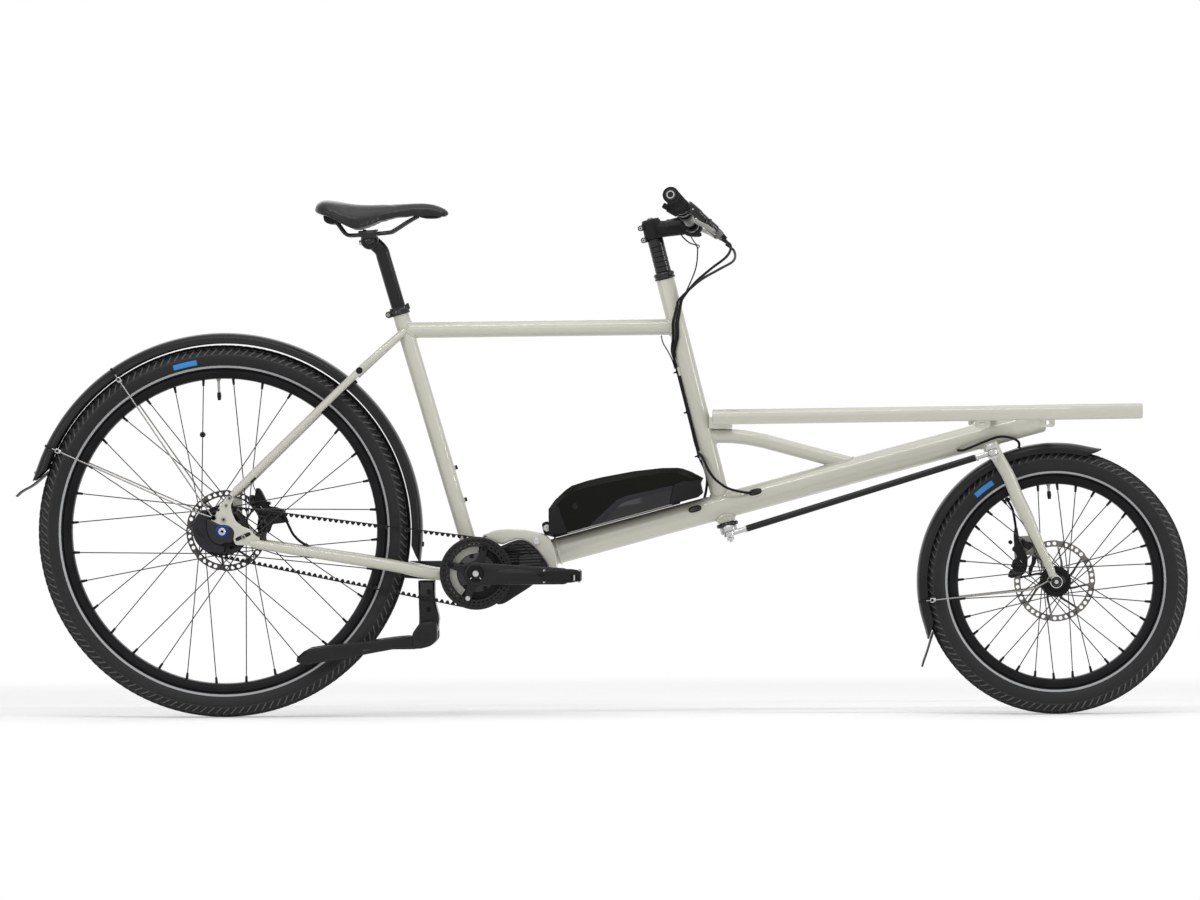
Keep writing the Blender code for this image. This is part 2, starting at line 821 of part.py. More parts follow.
def build_rear_wheel():
    spin = pivot("rear_wheel_axis", rear_hub, bike)
    wheel("rear", rear_hub, rear_bead_radius, rear_tyre_radius, rear_wheel_sides, spin)
    half_flange = flange_thickness / 2
    stations = [(rotor_seat_radius, 0.0655, rear_flange_left + half_flange),
                (rear_flange_radius, rear_flange_left + half_flange, rear_flange_left - half_flange),
                (rear_shell_radius, rear_flange_left - half_flange, -rear_flange_right + half_flange),
                (rear_flange_radius, -rear_flange_right + half_flange, -rear_flange_right - half_flange)]
    hub = turned("rear_hub", hub_profile(stations, axle_radius + running_gap), rear_hub, across(), spin,
                 dark_metal(), 16)
    rim_inside = (rear_bead_radius - rim_inner_depth) * math.cos(math.pi / rear_wheel_sides) - gap
    join(hub, spokes("rear_spokes", rear_hub, rear_flange_radius - 0.003, rear_flange_right,
                     rear_flange_left, rim_inside, rear_spoke_pairs, rear_spoke_lean, spin))
    rotor("rear_rotor", rear_hub, rear_rotor_side, spin)

    plate_outside = rear_dropout_inside + dropout_thickness
    axle("rear_axle", rear_hub, plate_outside, bike)
    caliper("rear_caliper", rear_hub, 31.0, rear_rotor_side, rear_dropout_inside - running_gap, bike)
    build_shift_unit()


def axle(name, hub, plate_outside, parent):
    nut_start = plate_outside + gap
    nut_end = nut_start + nut_length
    bore = 0.0025
    profile = [(nut_radius, nut_end), (nut_radius, nut_start), (axle_radius, nut_start),
               (axle_radius, -nut_start), (nut_radius, -nut_start), (nut_radius, -nut_end),
               (bore, -nut_end), (bore, nut_end)]
    return turned(name, profile, hub, across(), parent, steel(), 12)


def caliper(name, hub, angle, rotor_side, outside, parent):
    """The outer face stands at the side named outside, next to the plate that carries it."""
    turn = math.radians(angle)
    reach = rotor_radius + 0.003
    inner_side = rotor_side - 0.016
    centre = hub + Vector((math.cos(turn) * reach, 0.0, math.sin(turn) * reach))
    centre.y = (inner_side + outside) / 2
    body = block(name, (0.038, outside - inner_side, 0.052), centre, parent, black_metal(),
                 (0.0, -turn, 0.0))
    rounded(body, 0.004, 1)
    slot = block(name + "_slot", (0.050, rotor_thickness + 0.0024, 0.070),
                 Vector((centre.x, rotor_side, centre.z)) - Vector((math.cos(turn), 0.0, math.sin(turn))) * 0.013,
                 parent, None, (0.0, -turn, 0.0))
    return cut(body, slot)


def build_shift_unit():
    inner = belt_side + belt_width / 2 + 0.0016
    outer = rear_dropout_inside - gap
    outline = arc((0.0, rear_tyre_radius), 0.034, -80.0, 80.0, 8)
    outline += [(-0.030, 0.4020), (-0.054, 0.4000), (-0.062, 0.3650), (-0.059, 0.3420), (-0.048, 0.3230),
                (-0.018, 0.3190)]
    hole = arc((0.0, rear_tyre_radius), axle_radius + running_gap, 0.0, 330.0, 11)
    plate("shift_unit", outline, outer - inner, -(inner + outer) / 2, bike, black_plastic(), [hole])


def build_front_wheel(fork_turn):
    spin = pivot("front_wheel_axis", front_hub, fork_turn)
    wheel("front", front_hub, front_bead_radius, front_tyre_radius, front_wheel_sides, spin)
    half_flange = flange_thickness / 2
    end = front_dropout_inside - running_gap
    stations = [(rotor_seat_radius, end, front_flange_left + half_flange),
                (front_flange_radius, front_flange_left + half_flange, front_flange_left - half_flange),
                (front_shell_radius, front_flange_left - half_flange, -front_flange_right + half_flange),
                (front_flange_radius, -front_flange_right + half_flange, -front_flange_right - half_flange),
                (0.0120, -front_flange_right - half_flange, -end)]
    hub = turned("front_hub", hub_profile(stations, axle_radius + running_gap), front_hub, across(), spin,
                 black_metal(), 16)
    rim_inside = (front_bead_radius - rim_inner_depth) * math.cos(math.pi / front_wheel_sides) - gap
    join(hub, spokes("front_spokes", front_hub, front_flange_radius - 0.003, front_flange_right,
                     front_flange_left, rim_inside, front_spoke_pairs, front_spoke_lean, spin))
    rotor("front_rotor", front_hub, front_rotor_side, spin)


# Drive

def build_drive():
    crank_turn = pivot("crank_axis", bottom_bracket, bike)
    across_bike = Vector((0.0, 1.0, 0.0))
    droop = math.radians(crank_droop)
    forward = Vector((math.cos(droop), 0.0, -math.sin(droop)))
    inside = crank_inside
    middle = inside + crank_thickness / 2

    def arm(name, side, direction):
        centre = (bottom_bracket.x, bottom_bracket.z)
        tip = bottom_bracket + direction * crank_length
        angle = math.degrees(math.atan2(direction.z, direction.x))
        lean = 90.0 - math.degrees(math.asin((crank_boss_radius - crank_end_radius) / crank_length))
        outline = arc(centre, crank_boss_radius, angle + lean, angle + 360.0 - lean, 10)
        outline += arc((tip.x, tip.z), crank_end_radius, angle - lean, angle + lean, 8)
        return as_mesh(plate(name, outline, crank_thickness, side * middle, crank_turn, black_metal()))

    right = arm("crank_right", -1.0, forward)
    spindle_end = inside - gap
    join(right, rod("spindle", spindle_radius, bottom_bracket - across_bike * (inside + 0.004),
                    bottom_bracket + across_bike * spindle_end, crank_turn))
    spider_outer = belt_side + belt_width / 2 + 0.0045
    join(right, rod("spider", 0.050, bottom_bracket - across_bike * (inside + 0.004),
                    bottom_bracket - across_bike * (spider_outer + gap), crank_turn, end_radius=0.056, sides=24))
    arm("crank_left", 1.0, -forward)

    belt_inside = belt_side - belt_width / 2
    profile = [(guard_radius, -(belt_side + belt_width / 2 + 0.0015)), (guard_radius, -spider_outer),
               (spindle_radius + gap, -spider_outer), (spindle_radius + gap, -belt_inside),
               (front_sprocket_radius, -belt_inside),
               (front_sprocket_radius, -(belt_side + belt_width / 2 + 0.0015))]
    turned("front_sprocket", profile, bottom_bracket, across(), crank_turn, black_metal(), 32)

    for side, name, direction in ((-1.0, "right", forward), (1.0, "left", -forward)):
        spot = bottom_bracket + direction * crank_length
        turn = pivot("pedal_%s_axis" % name, spot, crank_turn)
        inner = inside + crank_thickness + 0.006
        pedal_middle = inner + pedal_length / 2
        body = block("pedal_" + name, (pedal_depth, pedal_length, pedal_height), at_side(spot, side * pedal_middle),
                     turn, black_plastic())
        rounded(body, 0.004, 1)
        start = at_side(spot, side * (inside + crank_thickness + gap))
        join(body, rod("pedal_axle_" + name, pedal_axle_radius, start,
                       at_side(spot, side * pedal_middle), turn, sides=12))
        for number, shift in enumerate((-0.0195, 0.0195)):
            window = Vector((spot.x + shift, side * (pedal_middle + 0.004), spot.z))
            cut(body, block("pedal_window_%s_%d" % (name, number), (0.023, pedal_length - 0.030, 0.05),
                            window, turn))

    sprocket_turn = pivot("rear_sprocket_axis", rear_hub, bike)
    bore = axle_radius + running_gap
    profile = [(driver_radius, driver_inner), (driver_radius, belt_width / 2),
               (rear_sprocket_radius, belt_width / 2), (rear_sprocket_radius, -belt_width / 2),
               (driver_radius, -belt_width / 2), (driver_radius, -driver_outer),
               (bore, -driver_outer), (bore, driver_inner)]
    turned("rear_sprocket", profile, at_side(rear_hub, -belt_side), across(), sprocket_turn, black_metal(), 28)
    build_belt()
    build_motor()


def build_belt():
    def loop(extra):
        back = (0.0, rear_tyre_radius)
        front = (bottom_bracket.x, bottom_bracket.z)
        back_radius = rear_sprocket_radius + extra
        front_radius = front_sprocket_radius + extra
        span = math.hypot(front[0] - back[0], front[1] - back[1])
        heading = math.degrees(math.atan2(front[1] - back[1], front[0] - back[0]))
        spread = math.degrees(math.asin((front_radius - back_radius) / span))
        points = arc(front, front_radius, heading - 90.0 - spread, heading + 90.0 + spread, 20)
        points += arc(back, back_radius, heading + 90.0 + spread, heading + 270.0 - spread, 16)
        return points

    plate("belt", loop(belt_play + belt_thickness), belt_width - 0.0006, -belt_side, bike, belt_rubber(),
          [loop(belt_play)])


def build_motor():
    centre = (bottom_bracket.x, bottom_bracket.z)
    outline = arc(centre, motor_radius, 82.0, 262.0, 18)
    outline += [(0.5460, 0.2180), (0.6030, 0.2480), (0.6320, 0.2860), (0.6270, 0.3180), (0.5650, 0.3465)]
    middle = (motor_far_side - motor_inside) / 2
    motor = as_mesh(plate("motor", outline, motor_inside + motor_far_side, middle, bike, black_plastic()))
    cover_side = -(motor_inside + 0.0060)
    join(motor, rounded(block("motor_cover", (0.050, 0.020, 0.044), (0.6010, cover_side, 0.3000), bike), 0.004, 1))
    side = Vector((0.0, 0.2, 0.0))
    cut(motor, rod("spindle_room", spindle_radius + running_gap, bottom_bracket - side, bottom_bracket + side,
                   bike))


def boom_outline(points):
    outline = []
    for along, up in points:
        place_here = boom_at(along, up)
        outline.append((place_here.x, place_here.z))
    return outline


def build_battery():
    lift = pivot("battery_slide_axis", boom_at(0.15, 0.07), bike)
    base = boom_radius
    battery = as_mesh(plate("battery", boom_outline([(0.0, base + 0.002), (0.009, base + 0.055),
                                                     (0.066, base + 0.087), (0.2315, base + 0.0745),
                                                     (0.277, base + 0.063), (0.314, base + 0.0335),
                                                     (0.310, base + 0.0145), (0.262, base + 0.002)]),
                            battery_half_width * 2, 0.0, lift, gloss_black()))
    rounded(battery, 0.008, 2)
    plate_half = 0.018
    plate_top = base + 0.010
    turn = (0.0, -math.radians(boom_lean), 0.0)
    channel_up = 0.0115
    cut(battery, block("battery_channel", (0.60, plate_half * 2 + 0.0012, channel_up * 2),
                       boom_at(0.13, base), lift, None, turn))
    mount = plate("battery_mount", boom_outline([(-0.018, base + 0.0124), (-0.016, base + 0.0366),
                                                 (-0.0012, base + 0.0366), (-0.0012, plate_top),
                                                 (0.258, plate_top), (0.258, base + 0.0008),
                                                 (0.004, base + 0.0008)]),
                  plate_half * 2, 0.0, bike, black_plastic())
    lock = boom_at(-0.0070, base + 0.0235)
    turned("key_lock", [(0.0070, 0.0050), (0.0070, 0.0), (0.0020, 0.0), (0.0020, 0.0050)],
           at_side(lock, -plate_half - gap), (math.radians(90.0), 0.0, 0.0),
           pivot("key_lock_axis", lock, bike), steel(), 16)
    button = boom_at(0.058, base + 0.050)
    face = battery_half_width
    cut(battery, rod("button_room", 0.0066, at_side(button, -face + 0.0022), at_side(button, -face - 0.01), lift))
    button_turn = pivot("battery_button_axis", at_side(button, -face), lift)
    rod("battery_button", 0.0060, at_side(button, -face + 0.0009), at_side(button, -face - 0.0012), button_turn,
        black_plastic(), sides=12)
    return mount


# Steering

def steer_block(name, size, centre, parent, material=None):
    """A block whose height runs along the steering axis; size is ahead, across and along."""
    turn = (0.0, -math.radians(steering_lean), 0.0)
    return block(name, size, centre, parent, material, turn)


def arm_with_pin(body, prefix, axis_at, height, inner, parent):
    """A steering arm on the right with the pin that carries one end of the tie rod."""
    centre = axis_at(height)
    outer = steer_arm_reach + 0.009
    arm = steer_block(prefix + "_arm", (steer_arm_half_width * 2, outer - inner, steer_arm_thickness),
                      at_side(centre, -(outer + inner) / 2), parent)
    pin_top = at_side(centre, -steer_arm_reach)
    eye_drop = steer_arm_thickness + running_gap
    pin_length = steer_arm_thickness / 2 + eye_drop + 0.008
    pin = rod(prefix + "_pin", rod_pin_radius, pin_top, pin_top - steer_up * pin_length, parent, sides=12)
    nut_top = pin_top - steer_up * (steer_arm_thickness / 2 + eye_drop + running_gap)
    nut = rod(prefix + "_nut", 0.0075, nut_top, nut_top - steer_up * 0.0065, parent, sides=6)
    return join(body, arm, pin, nut)


def build_steering():
    column_axis = column_at(column_arm_height)
    bar_turn = pivot("handlebar_axis", column_axis, bike)
    along = math.cos(math.radians(steering_lean))

    def station(height):
        return (height - column_arm_height) / along

    ring_bottom = station(column_arm_height) + steer_arm_thickness / 2 - 0.001
    tube_bottom = station(column_tube_bottom) - running_gap
    tube_top = station(column_tube_top) + running_gap
    profile = [(steerer_radius, station(stem_top + 0.004)), (steerer_radius, station(stem_bottom)),
               (spacer_radius, station(stem_bottom)), (spacer_radius, tube_top + 0.014),
               (headset_radius, tube_top + 0.012), (headset_radius, tube_top), (steerer_radius, tube_top),
               (steerer_radius, tube_bottom), (headset_radius - 0.001, tube_bottom),
               (headset_radius - 0.001, ring_bottom), (0.0150, ring_bottom), (0.0150, -0.012),
               (steerer_bore, -0.012), (steerer_bore, station(stem_top + 0.004))]
    column = turned("steering_column", profile, column_axis, aim(steer_up), bar_turn, black_metal())
    arm_with_pin(column, "column", column_at, column_arm_height, 0.0, bar_turn)
    cut(column, rod("column_bore", steerer_bore, column_at(stem_top + 0.05), column_at(column_arm_height - 0.05),
                    bar_turn))

    eye_level = steer_up * (steer_arm_thickness + running_gap)
    rear_eye = at_side(column_axis - eye_level, -steer_arm_reach)
    front_eye = at_side(fork_at(fork_arm_height) - eye_level, -steer_arm_reach)
    rod_turn = pivot("tie_rod_axis", rear_eye, bar_turn)
    ahead = (front_eye - rear_eye).normalized()
    tie = rod("tie_rod", rod_radius, rear_eye + ahead * 0.036, front_eye - ahead * 0.036, rod_turn,
              black_metal(), sides=12)
    shank = ahead * (rod_eye_radius * 0.6)
    join(tie, rod("rod_shank", rod_shank_radius, rear_eye + shank, front_eye - shank, rod_turn, sides=12))
    half_eye = steer_up * (steer_arm_thickness / 2)
    for name, eye in (("rear", rear_eye), ("front", front_eye)):
        join(tie, rod("rod_eye_" + name, rod_eye_radius, eye + half_eye, eye - half_eye, rod_turn, sides=16))
    for name, eye in (("rear", rear_eye), ("front", front_eye)):
        cut(tie, rod("rod_bore_" + name, rod_eye_bore, eye + half_eye * 3, eye - half_eye * 3, rod_turn,
                     sides=16))
    build_cockpit(bar_turn)
    return bar_turn


def build_cockpit(bar_turn):
    clamp = Vector((bar_clamp[0], 0.0, bar_clamp[1]))
    side = Vector((0.0, 1.0, 0.0))
    stem = rod("stem", stem_clamp_radius, column_at(stem_bottom + gap), column_at(stem_top), bar_turn,
               black_metal())
    stem_middle = column_at((stem_bottom + stem_top) / 2)
    join(stem, rod("stem_tube", stem_tube_radius, stem_middle, clamp, bar_turn),
         rod("stem_front", bar_clamp_outer, clamp - side * 0.023, clamp + side * 0.023, bar_turn))
    cut(stem, rod("spacer_room", 0.030, column_at(stem_bottom - 0.03), column_at(stem_bottom + gap), bar_turn),
        rod("steerer_hole", steerer_radius + gap, column_at(stem_bottom - 0.02),
                  column_at(stem_top + 0.02), bar_turn),
        rod("bar_hole", bar_clamp_radius + gap * 2, clamp - side * 0.05, clamp + side * 0.05, bar_turn))

    sides = [bar_half_width, bar_bend_side + 0.018, bar_bend_side + 0.006, bar_bend_side - 0.010, 0.048,
             0.032]
    points = [bar_at(value) for value in sides] + [bar_at(-value) for value in reversed(sides)]
    radii = [bar_radius] * 5 + [bar_clamp_radius] * 2 + [bar_radius] * 5
    wire("handlebar", points, bar_radius, bar_turn, black_metal(), radii, 4)

    for name, sign in (("right", -1.0), ("left", 1.0)):
        build_bar_side(name, sign, bar_turn)
    build_display(bar_turn)
    build_shifter(bar_turn)


def bar_ring(name, radius, first, last, parent, material=None, sides=16):
    """A ring round the bar between two places across it."""
    first, last = bar_at(first), bar_at(last)
    return pipe(name, radius, radius - bar_radius - gap * 2, first, last, parent, material, sides)


def build_bar_side(name, sign, bar_turn):
    bar_ring("grip_" + name, grip_radius, sign * grip_inner_side, sign * (bar_half_width - 0.0005), bar_turn,
             grip_rubber())

    ring_at = 0.182
    body = bar_ring("brake_body_" + name, 0.0158, sign * (ring_at - 0.007), sign * (ring_at + 0.007), bar_turn,
                    black_metal())
    root = at_side(bar_at(ring_at), sign * ring_at)
    start = root + Vector((0.0120, 0.0, -0.0070))
    end = Vector((0.9780, sign * 0.168, 0.9340))
    join(body, rod("brake_cylinder_" + name, 0.0085, start, end, bar_turn, end_radius=0.0075, sides=12))

    hinge = Vector((0.9530, sign * 0.1880, 0.9645))
    tip = Vector((0.9300, sign * 0.3050, 0.9990))
    pull = Vector((-0.98, 0.0, 0.18))
    axis = (tip - hinge).cross(pull).normalized()
    turn = pivot("brake_lever_%s_axis" % name, hinge, bar_turn)
    lever = rod("brake_lever_" + name, 0.0065, hinge - axis * 0.006, hinge + axis * 0.006, turn,
                black_metal(), sides=14)
    blade_points = smooth_path([hinge, hinge.lerp(tip, 0.4) + pull * -0.006, hinge.lerp(tip, 0.8), tip], 3)
    blade = as_mesh(wire("brake_blade_" + name, blade_points, 0.0045, turn))
    join(lever, blade)
    ear = rod("brake_ear_" + name, 0.0050, root + Vector((0.0290, 0.0, -0.0100)),
              hinge - (tip - hinge).normalized() * 0.0069, bar_turn, sides=10)
    room = rod("lever_room_" + name, 0.0065 + running_gap, hinge - axis * 0.02, hinge + axis * 0.02, bar_turn,
               sides=14)
    join(body, ear)
    cut(body, room, rod("body_bar_room_" + name, bar_radius + gap * 2, bar_at(sign * (ring_at - 0.03)),
                        bar_at(sign * (ring_at + 0.03)), bar_turn))


def build_display(bar_turn):
    item = bar_ring("display", 0.0155, -0.056, -0.070, bar_turn, gloss_black())
    lean = math.radians(24.0)
    case = block("display_case", (0.050, 0.036, 0.014), (0.8930, -0.0640, 0.9690), bar_turn, None,
                 (0.0, -lean, 0.0))
    join(item, rounded(case, 0.002, 1))
    cut(item, rod("display_bar_room", bar_radius + gap * 2, bar_at(-0.020) , bar_at(-0.110), bar_turn))
    return item


def build_shifter(bar_turn):
    side = -0.1430
    middle = bar_at(side)
    push = pivot("shift_switch_axis", middle, bar_turn)
    item = bar_ring("shift_switch", 0.0148, side + 0.0080, side - 0.0080, push, black_plastic())
    join(item, rounded(block("shift_paddle", (0.014, 0.015, 0.018), middle + Vector((-0.0170, 0.0, 0.0010)), push),
                       0.002, 1))
    room = bar_radius + gap * 2
    return cut(item, rod("shift_bar_room", room, bar_at(side + 0.0140), bar_at(side - 0.0300), push))


def fork_blade(name, side, parent):
    top = fork_at(fork_arm_height + 0.0015)
    crown = fork_at(fork_crown_height)
    points = [(top.x + 0.0010, side * fork_blade_side, top.z), (crown.x + 0.0060, side * fork_blade_side, crown.z),
              (wheelbase - 0.095, side * fork_blade_side, front_tyre_radius + 0.205),
              (wheelbase - 0.055, side * (front_dropout_inside + 0.0035), front_tyre_radius + 0.116),
              (wheelbase - 0.010, side * (front_dropout_inside + 0.0030), front_tyre_radius + 0.012)]
    radii = [fork_blade_radius - 0.002, fork_blade_radius, fork_blade_radius, fork_blade_radius - 0.003,
             fork_tip_radius]
    return as_mesh(wire(name, points, fork_blade_radius, parent, None, radii, 3))


def build_fork():
    arm_spot = fork_at(fork_arm_height)
    turn = pivot("fork_axis", arm_spot, bike)
    crown = fork_at(fork_crown_height)
    fork = rod("fork", steerer_radius, fork_at(fork_head_top - 0.0045), crown, turn, paint())
    join(fork, rod("fork_crown", fork_crown_radius, at_side(crown, -fork_blade_side),
                   at_side(crown, fork_blade_side), turn),
         fork_blade("fork_blade_right", -1.0, turn), fork_blade("fork_blade_left", 1.0, turn))
    hole = arc((front_hub.x, front_hub.z), axle_radius + running_gap, 0.0, 330.0, 11)
    around = arc((front_hub.x, front_hub.z), 0.0150, -150.0, 50.0, 10)
    right_outline = around + [(wheelbase - 0.006, front_tyre_radius + 0.040),
                              (wheelbase - 0.030, front_tyre_radius + 0.040)]
    left_outline = around + [(wheelbase - 0.006, front_tyre_radius + 0.040),
                             (wheelbase - 0.030, front_tyre_radius + 0.092),
                             (wheelbase - 0.080, front_tyre_radius + 0.080),
                             (wheelbase - 0.078, front_tyre_radius + 0.030)]
    middle = front_dropout_inside + dropout_thickness / 2
    join(fork, as_mesh(plate("fork_end_right", right_outline, dropout_thickness, -middle, turn, None, [hole])),
         as_mesh(plate("fork_end_left", left_outline, dropout_thickness, middle, turn, None, [hole])))
    arm_with_pin(fork, "fork", fork_at, fork_arm_height, fork_blade_side - 0.006, turn)
    side = Vector((0.0, 0.12, 0.0))
    cut(fork, rod("front_axle_room", axle_radius + running_gap, front_hub - side, front_hub + side, turn))
    side_room = front_dropout_inside
    cut(fork, block("front_hub_room", (0.090, side_room * 2, 0.090), front_hub, turn))
    axle("front_axle", front_hub, front_dropout_inside + dropout_thickness, turn)
    caliper("front_caliper", front_hub, 145.0, front_rotor_side, front_dropout_inside - running_gap, turn)
    return turn


# Saddle

def build_seat():
    up = (seat_at(1.0) - seat_at(0.0)).normalized()
    collar_top = seat_tube_top + 0.006
    collar_bottom = seat_tube_top - 0.011
    collar = pipe("seat_collar", 0.0200, 0.0200 - seat_tube_radius - running_gap, seat_at(collar_top),
                  seat_at(collar_bottom), bike, black_metal())
    lug = seat_at((collar_top + collar_bottom) / 2) - Vector((0.0230, 0.0, 0.0065))
    join(collar, block("collar_lug", (0.012, 0.016, 0.013), lug, bike, None, (0.0, -math.radians(seat_tube_lean), 0.0)))
    cut(collar, rod("collar_room", seat_tube_radius + running_gap, seat_at(collar_top + 0.02),
                    seat_at(collar_bottom - 0.02), bike))

    slide = pivot("seat_post_axis", seat_at(collar_top), bike)
    post_top = seat_at(0.9080)
    post = rod("seat_post", seat_post_radius, seat_at(seat_post_bottom), post_top, slide, black_metal())
    clamp = Vector((saddle_pivot[0], 0.0, saddle_pivot[1]))
    half_head = Vector((0.0, saddle_rail_side + 0.006, 0.0))
    join(post, rod("post_neck", 0.0128, post_top - up * 0.006, clamp - up * 0.0030, slide, end_radius=0.0060,
                   sides=16),
         rod("post_head", saddle_pivot_radius, clamp - half_head, clamp + half_head, slide, sides=24))
    cut(post, rod("post_bore", seat_post_radius - 0.0026, seat_at(seat_post_bottom - 0.02), seat_at(0.895), slide))

    tilt = pivot("saddle_axis", clamp, slide)
    rail_height = clamp.z + saddle_pivot_radius / math.cos(math.pi / 24) + saddle_rail_radius + running_gap
    route = [(0.2230, 0.0300, 0.9665), (0.2330, 0.0275, 0.9560), (0.2480, saddle_rail_side, rail_height),
             (0.2900, saddle_rail_side, rail_height), (0.3300, saddle_rail_side, rail_height + 0.001),
             (0.3600, 0.0180, 0.9600), (0.3860, 0.0110, 0.9730), (0.3960, 0.0, 0.9755)]
    half = smooth_path(route[:-1], 2)
    points = half + [Vector(route[-1])] + [Vector((point.x, -point.y, point.z)) for point in reversed(half)]
    wire("saddle_rails", points, saddle_rail_radius, tilt, steel(), origin=clamp)
    build_saddle(tilt)
    return tilt


def build_saddle(tilt):
    """A soft cage: stations along the saddle with half width, top and underside."""
    stations = [(0.1830, 0.052, 0.990, 0.976), (0.2020, 0.074, 1.0085, 0.9700), (0.2500, 0.080, 1.0040, 0.9640),
                (0.3000, 0.050, 0.9985, 0.9660), (0.3500, 0.026, 1.0010, 0.9790), (0.4000, 0.020, 1.0035, 0.9835),
                (0.4300, 0.019, 1.0015, 0.9780), (0.4470, 0.012, 0.9930, 0.9800)]
    mesh = bpy.data.meshes.new("saddle")
    shape = bmesh.new()
    rings = []
    for x, half, top, bottom in stations:
        middle = (top + bottom) / 2
        ring = [(0.0, top), (half * 0.6, top - 0.001), (half, middle), (half * 0.7, bottom),
                (0.0, bottom + 0.002), (-half * 0.7, bottom), (-half, middle), (-half * 0.6, top - 0.001)]
        rings.append([shape.verts.new((x - saddle_pivot[0], y, z - saddle_pivot[1])) for y, z in ring])
    for first, second in zip(rings, rings[1:]):
        for index in range(8):
            after = (index + 1) % 8
            shape.faces.new((first[index], first[after], second[after], second[index]))
    shape.faces.new(list(reversed(rings[0])))
    shape.faces.new(rings[-1])
    bmesh.ops.recalc_face_normals(shape, faces=shape.faces)
    shape.to_mesh(mesh)
    shape.free()
    spot = (saddle_pivot[0], 0.0, saddle_pivot[1])
    item = add_object("saddle", mesh, saddle_leather(), spot, tilt)
    soft = item.modifiers.new("soft", "SUBSURF")
    soft.levels = 1
    soft.render_levels = 1
    return item


# Mudguards

def fender_profile(radius):
    half = fender_half_width - fender_thickness / 2
    edge, shoulder = radius - 0.0170, radius - 0.0045
    return [(edge, half), (shoulder, half - 0.004), (radius, half - 0.019),
            (radius, -half + 0.019), (shoulder, -half + 0.004), (edge, -half)]


def fender(name, hub, radius, start, end, steps, parent):
    item = turned(name, fender_profile(radius), hub, across(0.0, end), parent, black_plastic(), steps,
                  False, end - start)
    shell = item.modifiers.new("wall", "SOLIDIFY")
    shell.thickness = fender_thickness
    shell.offset = 0.0
    return item


def mud_flap(name, points, half_width, thickness, parent):
    """A rubber flap that follows a bent line of x and z pairs seen from the side."""
    outline = [Vector((x, 0.0, z)) for x, z in points]
    upper, lower = [], []
    for index, point in enumerate(outline):
        before = outline[max(index - 1, 0)]
        after = outline[min(index + 1, len(outline) - 1)]
        along = (after - before).normalized()
        off = Vector((-along.z, 0.0, along.x)) * (thickness / 2)
        upper.append(((point + off).x, (point + off).z))
        lower.append(((point - off).x, (point - off).z))
    return as_mesh(plate(name, upper + list(reversed(lower)), half_width * 2, 0.0, parent))


def stay_points(hub, radius, angle, eyelet, outside, inside):
    """From the eyelet, out past the plate, under the edge of the mudguard and across below its top."""
    turn = math.radians(angle)
    ray = Vector((math.cos(turn), 0.0, math.sin(turn)))
    edge = hub + ray * (radius - 0.0235)
    clear = fender_half_width + 0.0040
    half = [at_side(eyelet, outside), at_side(eyelet + (edge - eyelet).normalized() * 0.024, outside),
            at_side(edge, clear), at_side(edge, inside),
            at_side(hub + ray * (radius - 0.0155), inside - 0.0015),
            at_side(hub + ray * (radius - 0.0059), inside - 0.0065),
            at_side(hub + ray * (radius - fender_thickness / 2 - stay_wire_radius - gap * 2), 0.0110)]
    return half + [Vector((point.x, -point.y, point.z)) for point in reversed(half)]


def build_rear_fender():
    item = fender("rear_fender", rear_hub, rear_fender_radius, rear_fender_start, rear_fender_end, 26, bike)
    end = arc((0.0, rear_tyre_radius), rear_fender_radius, rear_fender_end - 3.0, rear_fender_end, 1)
    flap_points = end + [(-0.3740, 0.4560), (flap_tip_x + 0.00076, 0.4330)]
    join(item, mud_flap("rear_flap", flap_points, 0.0260, 0.0028, bike))

    eyelet = Vector((-0.0090, 0.0, 0.4000))
    outside = rear_dropout_inside + dropout_thickness + stay_wire_radius + running_gap

    def stay(name, angle):
        points = stay_points(rear_hub, rear_fender_radius, angle, eyelet, outside, 0.0270)
        return as_mesh(wire(name, points, stay_wire_radius, bike, steel(), None, 1))

    stays = stay("rear_fender_stays", 124.5)
    join(stays, stay("rear_stay_low", 154.0))
    for name, sign in (("right", -1.0), ("left", 1.0)):
        join(stays, rod("stay_eyelet_" + name, 0.0052, at_side(eyelet, sign * (outside - stay_wire_radius)),
                        at_side(eyelet, sign * (outside + stay_wire_radius + 0.0008)), bike, sides=12))


def build_front_fender(fork_turn):
    item = fender("front_fender", front_hub, front_fender_radius, front_fender_start, front_fender_end, 22,
                  fork_turn)
    hub = (front_hub.x, front_hub.z)
    end = arc(hub, front_fender_radius, front_fender_end - 4.0, front_fender_end, 1)
    flap_points = end + [(end[-1][0] - 0.0039, end[-1][1] - 0.0326), (end[-1][0] - 0.0159, end[-1][1] - 0.0646)]
    join(item, mud_flap("front_flap", flap_points, 0.0260, 0.0028, fork_turn))

    outside = front_dropout_inside + dropout_thickness + stay_wire_radius + running_gap
    eyelet = front_hub + Vector((-0.0205, 0.0, 0.0095))
    points = stay_points(front_hub, front_fender_radius, 188.5, eyelet, outside, 0.0275)
    wire("front_fender_stay", points, stay_wire_radius, fork_turn, steel(), None, 1)


# Stand

